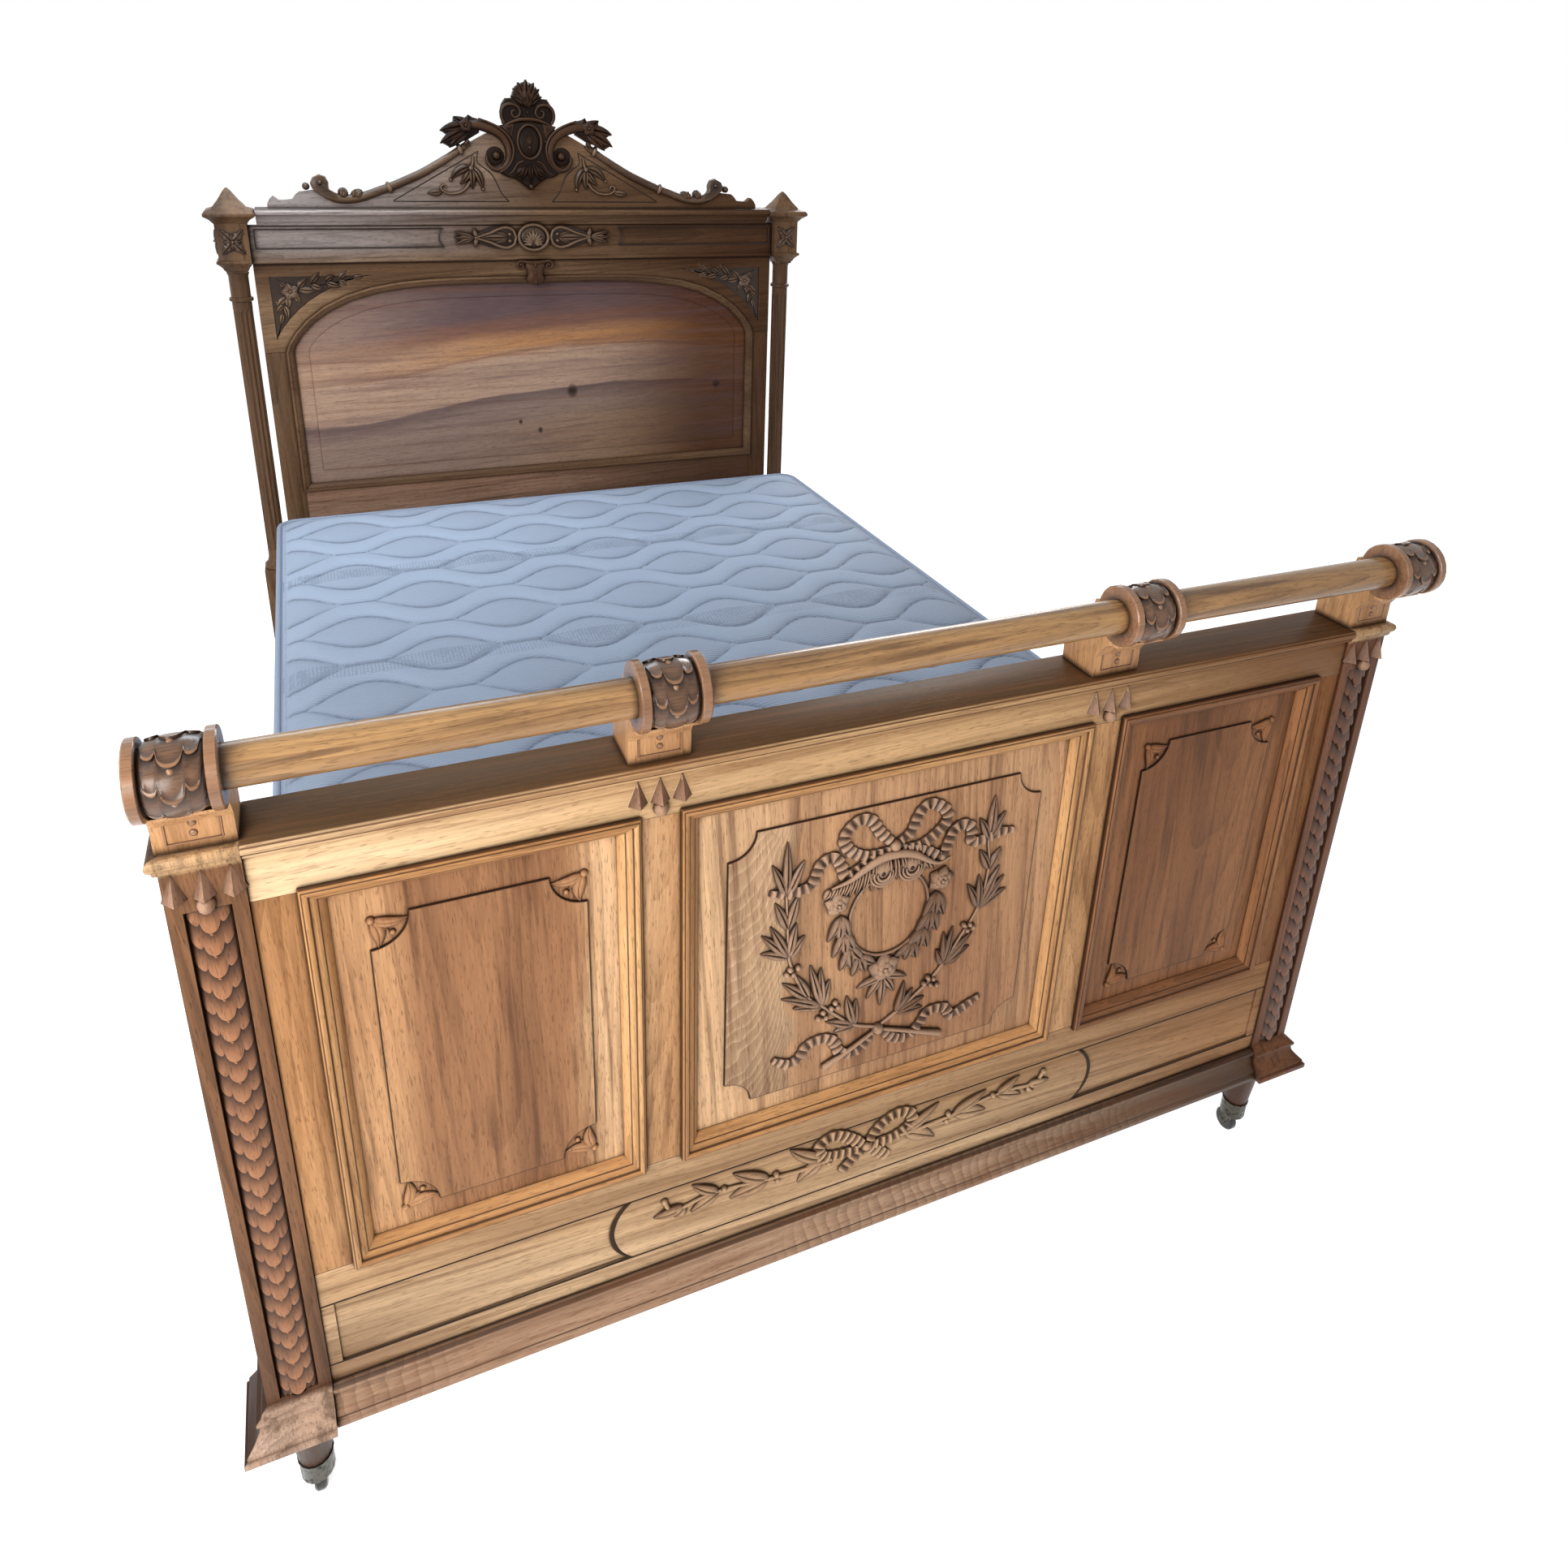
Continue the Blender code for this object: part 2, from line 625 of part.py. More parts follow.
def bracket_outline():
    """Side view of a roll bracket: a square front, a cove under the collar, a cradle and a hollow back."""
    low = FOOTBOARD_TOP + FIT
    front = low + BRACKET_FRONT_HEIGHT
    seat = COLLAR_RADIUS + FIT
    cradle = arc((-ROLL_FORWARD, ROLL_Z), seat, -100, 10, 10)
    under_y, under_z = cradle[0]
    back_y, back_z = cradle[-1]
    cove = [(0.0, front), (under_y * 0.45, front + (under_z - front) * 0.72), (under_y, under_z - 0.003)]
    cove = smooth_run(cove, 3)
    heel = low + BRACKET_HEEL
    hollow = [(back_y + 0.007, back_z - 0.002), (BRACKET_DEPTH * 0.45, heel + 0.033), (BRACKET_DEPTH, heel)]
    hollow = smooth_run(hollow, 4)
    return [(0.0, low)] + cove + cradle + hollow + [(BRACKET_DEPTH, low)]


def collar_shape(blind_end):
    """A carved collar's turning: two flanges and a barrel. The blind end of an outer collar is closed."""
    half = COLLAR_WIDTH / 2
    flange = half - COLLAR_FLANGE
    edge = COLLAR_RADIUS - 0.0015
    barrel = [(0.905, 0.0), (0.89, flange * 0.55), (0.82, flange - 0.004), (0.84, flange)]
    right = [(COLLAR_RADIUS * share, u) for share, u in barrel]
    right += [(COLLAR_RADIUS, flange + 0.001), (COLLAR_RADIUS, half - 0.002), (edge, half)]
    outside = [(radius, -u) for radius, u in reversed(right)] + right[1:]
    bore = ROLL_RADIUS + FIT
    if blind_end:
        return turned([(0.0, flange), (bore, flange), (bore, -half)] + outside + [(0.0, half)], ROLL_SIDES)
    return turned([(bore, -half)] + outside + [(bore, half)], ROLL_SIDES)


def footboard(parent):
    spans = opening_spans()
    inner = POST_IN - FIT
    for word, side in SIDES.items():
        post("foot_post_" + word, side, parent)

    # The top rail's section: a plain face under a rounded nose, and a flat top.
    section = [(0.0, TOP_RAIL_LOW)]
    section += [(-reach * (CAP_REACH + POST_PROUD), CAP_LOW + z * CAP_HEIGHT) for z, reach in NOSE]
    section += [(POST_BACK, FOOTBOARD_TOP), (POST_BACK, CAP_LOW), (FRAME_THICK, CAP_LOW - 0.012)]
    section += [(FRAME_THICK, TOP_RAIL_LOW)]
    top_rail = piece("foot_top_rail", prism(section, "x", -inner, inner), walnut, parent)
    bottom_rail_shape = block((-inner, 0.0, FOOT_CLEAR + 0.004), (inner, FRAME_THICK, BOTTOM_RAIL_TOP))
    bottom_rail = piece("foot_bottom_rail", bottom_rail_shape, walnut, parent)
    for side in (-1, 1):
        drops(top_rail, side * INNER_COLLAR_X, 0.0)
        middle = (FRIEZE_FIELD_LOW + FRIEZE_FIELD_HIGH) / 2
        radius = (FRIEZE_FIELD_HIGH - FRIEZE_FIELD_LOW) * 0.6
        half_angle = math.degrees(math.asin((FRIEZE_FIELD_HIGH - FRIEZE_FIELD_LOW) / 2 / radius))
        reach = radius * math.cos(math.radians(half_angle))
        field = arc((FRIEZE_FIELD_START + 0.02 - reach, middle), radius, -half_angle, half_angle, 8)
        end = inner - FRIEZE_FIELD_MARGIN
        field += [(end, FRIEZE_FIELD_HIGH), (end, FRIEZE_FIELD_LOW)]
        tool = prism([(side * x, z) for x, z in field], "y", -0.01, FRIEZE_FIELD_SINK)
        cut(bottom_rail, tool)

    # Stiles and muntins stand between the two rails.
    low, high = BOTTOM_RAIL_TOP + FIT, TOP_RAIL_LOW - FIT
    uprights = {}
    for word, side in SIDES.items():
        for kind, inside, width in (
            ("stile", spans["right"][1], FOOT_STILE_WIDTH),
            ("muntin", spans["centre"][1], MUNTIN_WIDTH),
        ):
            start, end = sorted((side * inside, side * (inside + width)))
            shape = block((start, 0.0, low), (end, FRAME_THICK, high))
            uprights[kind, word] = piece(f"foot_{kind}_{word}", shape, walnut, parent)

    for word, span in spans.items():
        beside = [("stile", word), ("muntin", word)]
        if word == "centre":
            beside = [("muntin", "left"), ("muntin", "right")]
        for board in [top_rail, bottom_rail] + [uprights[key] for key in beside]:
            cut(board, panel_tongue(span, FIT))
        panel = piece("foot_panel_" + word, panel_tongue(span, 0.0), walnut_red, parent)
        margin = CENTRE_FIELD_MARGIN if word == "centre" else SIDE_FIELD_MARGIN
        notch = CENTRE_NOTCH if word == "centre" else SIDE_NOTCH
        field_low = BOTTOM_RAIL_TOP + FIELD_MARGIN_LOW
        field_high = TOP_RAIL_LOW - FIELD_MARGIN_HIGH
        field = notched_field(span[0] + margin, span[1] - margin, field_low, field_high, notch)
        fuse(panel, prism(field, "y", PANEL_SINK - FIELD_RAISE, PANEL_SINK + PANEL_THICK / 2))
        moulding = frame_moulding(span, FOOT_MOULDING_WIDTH)
        piece("foot_panel_moulding_" + word, moulding, walnut_dark, parent)

    # The base moulding repeats the plinths' section between the posts, a little further back.
    base = [(0.0, 1.0), (0.16, 1.0), (0.20, 0.86), (0.30, 0.86), (0.48, 0.52), (0.68, 0.36), (0.80, 0.34)]
    base += [(0.84, 0.48), (0.93, 0.48), (1.0, 0.22)]
    section = [(-FIT, FOOT_CLEAR)]
    section += [(-reach * BASE_MOULDING_REACH, FOOT_CLEAR + z * BASE_MOULDING_HEIGHT) for z, reach in base]
    section += [(-FIT, FOOT_CLEAR + BASE_MOULDING_HEIGHT)]
    piece("foot_base_moulding", prism(section, "x", -inner, inner), walnut_dark, parent)

    # The roll runs through two open collars into two closed ones, each on a bracket.
    roll_half = POST_X + COLLAR_WIDTH / 2 - COLLAR_FLANGE - FIT
    rod = [(0.0, -roll_half), (ROLL_RADIUS, -roll_half), (ROLL_RADIUS, roll_half), (0.0, roll_half)]
    axis_y = -ROLL_FORWARD
    piece("roll_rail", along_x(turned(rod, ROLL_SIDES), (0.0, axis_y, ROLL_Z)), walnut, parent, smooth=40)
    for word, side in SIDES.items():
        for kind, x in (("outer", POST_X), ("inner", INNER_COLLAR_X)):
            shape = along_x(collar_shape(kind == "outer"), (x, axis_y, ROLL_Z))
            piece(f"roll_collar_{kind}_{word}", mirrored(shape, side), walnut_dark, parent, smooth=30)
            start, end = side * x - BRACKET_WIDTH / 2, side * x + BRACKET_WIDTH / 2
            shape = prism(bracket_outline(), "x", start, end)
            piece(f"roll_bracket_{kind}_{word}", shape, walnut_dark, parent)


# Headboard


def arch_height(x, inset):
    """Height of the flat-topped arch at x, for a line inset from the moulding's outer edge."""
    half = ARCH_HALF - inset
    share = np.clip(np.abs(x) / half, 0.0, 1.0)
    return ARCH_SPRING + (ARCH_RISE - inset) * (1.0 - share**4.5) ** 0.75


def arch_line(inset, steps):
    """Points along the arch from right to left, closer together towards the springing."""
    bow = np.linspace(-1.0, 1.0, steps + 1)
    across = (ARCH_HALF - inset) * np.sin(bow * math.pi / 2)
    return [(-x, float(arch_height(x, inset))) for x in across]


def arched_outline(inset, steps=22):
    """The whole outline of the headboard's panel at an inset from its moulding's outer edge."""
    half, low = ARCH_HALF - inset, PANEL_LOW + inset
    return [(-half, low), (half, low)] + arch_line(inset, steps)


def head_tongue(grow):
    """The board of the headboard's panel, or the groove for it when grown by the fit."""
    inset = MOULDING_LAP - TONGUE - grow
    return prism(arched_outline(inset), "y", PANEL_SINK - grow, PANEL_SINK + PANEL_THICK + grow)


def head_frame(parent):
    opening = ARCH_HALF - MOULDING_LAP
    stile_top = ARCH_SPRING - FIT
    frame = []
    for word, side in SIDES.items():
        start, end = sorted((side * opening, side * HEAD_HALF))
        shape = block((start, 0.0, HEAD_FRAME_LOW), (end, FRAME_THICK, stile_top))
        frame.append(piece("head_stile_" + word, shape, walnut, parent))
    rail_half = opening - FIT
    shape = block((-rail_half, 0.0, HEAD_FRAME_LOW), (rail_half, FRAME_THICK, PANEL_LOW + MOULDING_LAP))
    frame.append(piece("head_bottom_rail", shape, walnut, parent))

    # The arched rail is one wide board, cut to the arch below and sunk at its corners for the carving.
    outline = [(-HEAD_HALF, ARCH_SPRING), (-HEAD_HALF, ARCH_RAIL_TOP), (HEAD_HALF, ARCH_RAIL_TOP)]
    outline += [(HEAD_HALF, ARCH_SPRING)] + arch_line(MOULDING_LAP, 22)
    arch_rail = piece("head_arch_rail", prism(outline, "y", 0.0, FRAME_THICK), walnut, parent)
    frame.append(arch_rail)
    corner_x, corner_z = HEAD_HALF - SPANDREL_INSET, ARCH_RAIL_TOP - SPANDREL_INSET
    for side in (-1, 1):
        arch = arch_line(-SPANDREL_GAP, 40)
        run = [(x, z) for x, z in arch if 0.0 < x < corner_x - 0.001 and z < corner_z - 0.001]
        spandrel = [(side * x, z) for x, z in [(corner_x, corner_z), (corner_x, run[0][1] - 0.012)] + run]
        spandrel.append((side * (run[-1][0] - 0.03), corner_z))
        cut(arch_rail, prism(spandrel, "y", -0.01, SPANDREL_SINK))
    for board in frame:
        cut(board, head_tongue(FIT))

    panel = piece("head_panel", head_tongue(0.0), walnut_figured, parent)
    field = arched_outline(HEAD_FIELD_INSET)
    fuse(panel, prism(field, "y", PANEL_SINK - FIELD_RAISE, PANEL_SINK + PANEL_THICK / 2))
    rings = []
    profile = moulding_profile(HEAD_MOULDING_WIDTH)
    lines = [arched_outline(inset) for inset, depth in profile]
    for k in range(len(lines[0])):
        rings.append([(line[k][0], depth, line[k][1]) for line, (inset, depth) in zip(lines, profile)])
    piece("head_panel_moulding", lofted(rings, closed=True), walnut_dark, parent)


def head_crown(parent):
    """Frieze, cornice and the small ornaments on them."""
    low = ARCH_RAIL_TOP + FIT
    face = -FRIEZE_PROUD
    half = HEAD_HALF
    section = [(0.0, low), (face - 0.003, low), (face - 0.006, low + 0.003), (face - 0.006, low + 0.007)]
    section += [(face - 0.003, low + 0.010), (face, low + 0.012), (face, FRIEZE_TOP), (FRAME_THICK, FRIEZE_TOP)]
    section += [(FRAME_THICK, low)]
    frieze = piece("head_frieze", prism(section, "x", -half, half), walnut, parent)
    middle = (FRIEZE_PANEL_LOW + FRIEZE_PANEL_HIGH) / 2
    radius = (FRIEZE_PANEL_HIGH - FRIEZE_PANEL_LOW) * 0.7
    half_angle = math.degrees(math.asin((FRIEZE_PANEL_HIGH - FRIEZE_PANEL_LOW) / 2 / radius))
    reach = radius * math.cos(math.radians(half_angle))
    for side in (-1, 1):
        sunk = arc((FRIEZE_PANEL_START + 0.008 - reach, middle), radius, -half_angle, half_angle, 6)
        end = half - FRIEZE_PANEL_MARGIN
        sunk += [(end, FRIEZE_PANEL_HIGH), (end, FRIEZE_PANEL_LOW)]
        cut(frieze, prism([(side * x, z) for x, z in sunk], "y", face - 0.01, face + FIELD_RAISE))

    low = FRIEZE_TOP + FIT
    height = CAPITAL_TOP - low
    steps = [(0.0, 0.06), (0.10, 0.14), (0.22, 0.20), (0.26, 0.34), (0.42, 0.46), (0.58, 0.70), (0.66, 0.86)]
    steps += [(0.68, 1.0), (0.86, 1.0), (0.90, 0.92), (1.0, 0.86)]
    section = [(face - reach * CORNICE_REACH, low + z * height) for z, reach in steps]
    section += [(FRAME_THICK, CAPITAL_TOP), (FRAME_THICK, low)]
    piece("head_cornice", prism(section, "x", -CORNICE_HALF, CORNICE_HALF), walnut, parent)

    # The frieze's ornament: a round shell between two hearts that end in buds.
    along = np.linspace(-1.0, 1.0, 41)
    heart = np.exp(-(((np.abs(along) - 0.36) / 0.15) ** 2))
    shell = np.sqrt(np.clip(1.0 - (along / 0.11) ** 2, 0.0, 1.0))
    bud = np.exp(-(((np.abs(along) - 0.80) / 0.07) ** 2))
    reach = PALMETTE_RADIUS * np.clip(np.maximum(np.maximum(shell, 0.82 * heart), 0.45 * bud), 0.10, 1.0)
    back = face - FIT
    rings = []
    for x, height in zip(along * PALMETTE_HALF, reach):
        lift = PALMETTE_RELIEF * (0.45 + 0.55 * height / PALMETTE_RADIUS)
        across = [(-1.0, 0.0), (-0.85, 0.6), (0.0, 1.0), (0.85, 0.6), (1.0, 0.0)]
        rings.append([(x, back - rise * lift, middle + t * height) for t, rise in across])
    piece("frieze_palmette", lofted(rings), walnut_dark, parent)

    # The keystone hangs over the arch's moulding and is pegged to the rail above it.
    clear = -MOULDING_PROUD - FIT
    top = ARCH_RAIL_TOP - FIT
    low = ARCH_TOP - KEYSTONE_DROP
    tall = top - low
    wide = KEYSTONE_WIDTH / 2
    half_outline = [(0.25, 0.0), (0.40, 0.12), (0.40, 0.30), (0.30, 0.42), (0.34, 0.66), (0.80, 0.72)]
    half_outline += [(1.0, 0.80), (1.0, 0.92), (0.86, 1.0)]
    outline = [(x * wide, low + z * tall) for x, z in half_outline]
    outline += [(-x, z) for x, z in reversed(outline)]
    keystone = piece("arch_keystone", prism(outline, "y", -KEYSTONE_REACH, clear), walnut_dark, parent)
    fuse(keystone, block((-wide * 0.3, clear - 0.004, ARCH_TOP + FIT), (wide * 0.3, -FIT, top - 0.004)))


def square_levels(levels, side):
    """A capital's rings: (height, half width, half width towards the frame)."""
    rings = []
    for height, half, inner in levels:
        corners = [(-inner, -half), (half, -half), (half, half), (-inner, half)]
        rings.append([(side * (COLUMN_X + x), COLUMN_SET_BACK + y, height) for x, y in corners])
    return lofted(rings)


def head_supports(parent):
    """Legs, columns and capitals at the two sides."""
    for word, side in SIDES.items():
        middle = (side * COLUMN_X, COLUMN_SET_BACK, 0.0)
        low = (side * COLUMN_X - BLOCK_HALF, COLUMN_SET_BACK - BLOCK_HALF, FOOT_CLEAR)
        high = (side * COLUMN_X + BLOCK_HALF, COLUMN_SET_BACK + BLOCK_HALF, LEG_TOP)
        leg = piece("head_leg_" + word, block(low, high), walnut_dark, parent)
        cheek = TENON_THICK / 2 + FIT
        floor = LEG_FRONT + TENON_LENGTH + FIT
        mortise = block(
            (side * RAIL_X - cheek, LEG_FRONT - 0.01, TENON_LOW - FIT),
            (side * RAIL_X + cheek, floor, TENON_LOW + TENON_HEIGHT + FIT),
        )
        cut(leg, mortise)
        fuse(leg, foot_shape(side * COLUMN_X, COLUMN_SET_BACK))

        # The column: a moulded base, a fluted shaft, a ring and a flaring neck.
        start, r, ring = LEG_TOP + FIT, COLUMN_RADIUS, COLUMN_RING_Z
        mouldings = [(0.012, 0.0), (0.012, 0.005), (0.0105, 0.012), (0.004, 0.017), (0.002, 0.024), (0.0, 0.031)]
        profile = [(0.0, start)] + [(r + out, start + up) for out, up in mouldings]
        profile += [(r, start + 0.050), (r, start + 0.056), (r, ring - 0.030), (r, ring - 0.024)]
        profile += [(r, ring - 0.006), (r + 0.005, ring - 0.003), (r + 0.005, ring + 0.003), (r, ring + 0.006)]
        profile += [(r, COLUMN_TOP - 0.008), (r + 0.003, COLUMN_TOP), (0.0, COLUMN_TOP)]
        shape = turned(profile, 2 * COLUMN_FLUTES)
        for vertex in shape.verts:
            turn = math.atan2(vertex.co.y, vertex.co.x) * COLUMN_FLUTES
            fluted = start + 0.053 < vertex.co.z < ring - 0.027
            if fluted and math.cos(turn) > 0:
                vertex.co.xy *= 1.0 - FLUTE_DEPTH / r
        bmesh.ops.translate(shape, vec=middle, verts=shape.verts)
        piece("head_column_" + word, shape, walnut, parent, smooth=25)

        # The capital: a flared moulding, the carved block, a spreading cap and an ogee finial.
        neck = COLUMN_TOP + FIT
        block_low = CAPITAL_TOP - CAP_SPREAD_HEIGHT - BLOCK_HEIGHT
        flare = [(0.0, 0.66), (0.12, 0.66), (0.24, 0.76), (0.45, 0.85), (0.66, 1.03), (0.78, 1.17), (0.92, 1.17)]
        flare += [(1.0, 1.0)]
        levels = []
        for z, share in flare:
            half = share * BLOCK_HALF
            levels.append((neck + z * (block_low - neck), half, min(half, BLOCK_HALF)))
        block_high = block_low + BLOCK_HEIGHT
        spread = [(0.0, 0.0), (0.10, 0.17), (0.28, 0.41), (0.40, 0.70), (0.52, 1.0), (0.70, 1.0), (0.84, 0.80)]
        for z, share in spread:
            half = BLOCK_HALF + share * CAPITAL_REACH
            levels.append((block_high + z * (CAPITAL_TOP - block_high), half, half))
        ogee = [(0.0, 1.03), (0.07, 0.97), (0.20, 0.84), (0.36, 0.66), (0.60, 0.45), (0.83, 0.25), (0.96, 0.10)]
        ogee += [(1.0, 0.03)]
        for z, share in ogee:
            levels.append((CAPITAL_TOP + z * FINIAL_HEIGHT, share * BLOCK_HALF, share * BLOCK_HALF))
        piece("head_capital_" + word, square_levels(levels, side), walnut_dark, parent)


def neck_line():
    """The pediment's top edge on the right, from the shoulder down to the dip, as (x, z)."""
    span = DIP_X - SHOULDER_X
    fall = SHOULDER_Z - DIP_Z
    shares = [(0.0, 0.0), (0.22, 0.26), (0.48, 0.55), (0.75, 0.83), (1.0, 1.0)]
    return smooth_run([(SHOULDER_X + t * span, SHOULDER_Z - drop * fall) for t, drop in shares], 4)


def volute_line():
    """The rod's curl at the pediment's end, from the dip up and round, as (x, z)."""
    turns = np.radians(np.linspace(-90.0, 200.0, 15))
    sizes = (SCROLL_Z - DIP_Z) * np.linspace(0.72, 0.30, 15)
    return [(SCROLL_X + r * math.cos(a), SCROLL_Z + r * math.sin(a)) for a, r in zip(turns, sizes)]


def pediment(parent):
    """The shaped board on the cornice, the rods along its edge, and the carved crest."""
    low = CAPITAL_TOP + FIT
    front = -BOARD_PROUD
    steps = [(0.0, 0.0), (0.0, 0.11), (0.12, 0.22), (0.30, 0.67), (0.44, 0.56), (0.66, 1.0), (1.08, 0.83)]
    steps += [(1.48, 0.36)]
    wide, tall = SCROLL_FROM_END * 0.8, SCROLL_HEIGHT * 0.68
    end = smooth_run([(BOARD_HALF - x * wide, low + z * tall) for x, z in steps], 2)
    top = [(SHOULDER_X - 0.035, SHOULDER_Z + 0.022), (SHOULDER_X - 0.10, SHOULDER_Z + 0.030)]
    half = end + list(reversed(neck_line())) + top
    outline = half + [(-x, z) for x, z in reversed(half)]
    piece("pediment_board", prism(outline, "y", front, front + BOARD_THICK), walnut, parent)

    # Each rod lies on the board's edge, on one of its eight flats, and curls up at its end.
    middle = front + BOARD_THICK / 2
    lift = ROD_RADIUS * math.cos(math.pi / 8) + FIT
    for word, side in SIDES.items():
        edge_points = np.array(neck_line())
        slope = np.gradient(edge_points, axis=0)
        normal = np.stack([-slope[:, 1], slope[:, 0]], axis=1)
        normal /= np.linalg.norm(normal, axis=1, keepdims=True)
        run = [tuple(point) for point in edge_points + normal * lift]
        run += [(x, z + lift) for x, z in volute_line()]
        curve = bpy.data.curves.new("pediment_scroll_" + word, "CURVE")
        curve.dimensions = "3D"
        curve.bevel_depth = ROD_RADIUS
        curve.bevel_resolution = 1
        curve.use_fill_caps = True
        spline = curve.splines.new("POLY")
        spline.points.add(len(run) - 1)
        for point, (x, z) in zip(spline.points, run):
            point.co = (side * x, middle, z, 1.0)
        made = bpy.data.objects.new("pediment_scroll_" + word, curve)
        curve.materials.append(walnut_dark)
        made.parent = parent
        bpy.context.collection.objects.link(made)

    crest(parent)


def crest(parent):
    """The cartouche on the pediment: a leafy outline round an oval medallion, with a palmette on top."""
    back = -BOARD_PROUD - FIT
    up, down, half = CREST_UP, CREST_DOWN, CREST_HALF
    # Distance from the medallion's middle to the outline, for angles from straight down to straight up.
    drop = [(-90, down), (-75, 0.98 * down), (-66, 0.90 * down), (-58, 0.98 * down), (-47, 0.88 * down)]
    volute = [(-37, 0.46 * half), (-18, 0.51 * half), (-11, 0.55 * half)]
    leaves = [(-5, 0.76 * half), (-1, half), (2, 0.94 * half), (7, 1.01 * half), (12, 0.88 * half)]
    leaves += [(18, 0.91 * half)]
    neck = [(23, 0.75 * half), (26, 0.57 * half), (31, 0.57 * up)]
    palmette = [(42, 0.71 * up), (60, 0.80 * up), (67, 0.78 * up), (76, 0.95 * up), (80, 0.94 * up), (90, up)]
    named, reach = np.transpose(drop + volute + leaves + neck + palmette)
    angles = np.union1d(named, np.arange(-82.0, 90.0, 15.0))
    size = np.interp(angles, named, reach)
    angles = np.radians(np.concatenate([angles, 180.0 - angles[-2:0:-1]]))
    size = np.concatenate([size, size[-2:0:-1]])
    oval = 1.0 / np.hypot(np.cos(angles) / MEDALLION_HALF_WIDTH, np.sin(angles) / MEDALLION_HALF_HEIGHT)
    rings = [(size, 0.0), (size * 0.93, 0.9), (size * 0.72, 1.2)]
    rings += [(oval * 1.30, 1.5), (oval * 1.12, 2.3), (oval * 0.84, 1.6)]
    loops = []
    for radius, lift in rings:
        level = back - lift * CREST_THICK
        loops.append([(r * math.cos(a), level, CREST_Z + r * math.sin(a)) for r, a in zip(radius, angles)])
    piece("crest_cartouche", lofted(loops), walnut_dark, parent, smooth=30)


# Rails, slats and mattress


def base(parent):
    start, end = FOOT_Y + POST_BACK + FIT, HEAD_Y + LEG_FRONT - FIT
    cleat_top = SLAT_TOP - SLAT_THICK - FIT
    for word, side in SIDES.items():
        inner, outer = RAIL_X - RAIL_THICK / 2, RAIL_X + RAIL_THICK / 2
        low_x, high_x = sorted((side * inner, side * outer))
        shape = block((low_x, start, RAIL_BOTTOM), (high_x, end, RAIL_TOP))
        rail = piece("side_rail_" + word, shape, walnut, parent)
        low_x, high_x = sorted((side * (inner - CLEAT_WIDTH), side * (inner + RAIL_THICK / 2)))
        cleat_start, cleat_end = start + MATTRESS_FOOT_GAP, end - MATTRESS_HEAD_GAP
        fuse(rail, block((low_x, cleat_start, cleat_top - CLEAT_HEIGHT), (high_x, cleat_end, cleat_top)))
        for low_y, high_y in ((start - TENON_LENGTH, start + 0.01), (end - 0.01, end + TENON_LENGTH)):
            tenon = block(
                (side * RAIL_X - TENON_THICK / 2, low_y, TENON_LOW),
                (side * RAIL_X + TENON_THICK / 2, high_y, TENON_LOW + TENON_HEIGHT),
            )
            fuse(rail, tenon)

    # The slatted base is one flat frame: slats let in flush between two bearers.
    half = MATTRESS_WIDTH / 2
    first = start + MATTRESS_FOOT_GAP
    last = first + MATTRESS_LENGTH
    pitch = (MATTRESS_LENGTH - SLAT_WIDTH) / (SLAT_COUNT - 1)
    columns = [-half, BEARER_WIDTH - half, half - BEARER_WIDTH, half]
    rows = []
    for k in range(SLAT_COUNT):
        rows += [first + k * pitch, first + k * pitch + SLAT_WIDTH]
    frame = bmesh.new()
    grid = [[frame.verts.new((x, y, SLAT_TOP - SLAT_THICK)) for x in columns] for y in rows]
    faces = []
    for row in range(len(rows) - 1):
        for column in range(len(columns) - 1):
            if row % 2 == 0 or column != 1:
                near, far = grid[row], grid[row + 1]
                faces.append(frame.faces.new((near[column], near[column + 1], far[column + 1], far[column])))
    raised = bmesh.ops.extrude_face_region(frame, geom=faces)["geom"]
    lifted = [part for part in raised if isinstance(part, bmesh.types.BMVert)]
    bmesh.ops.translate(frame, vec=(0.0, 0.0, SLAT_THICK), verts=lifted)
    piece("slat_frame", frame, pine, parent)
    mattress(first, last, parent)


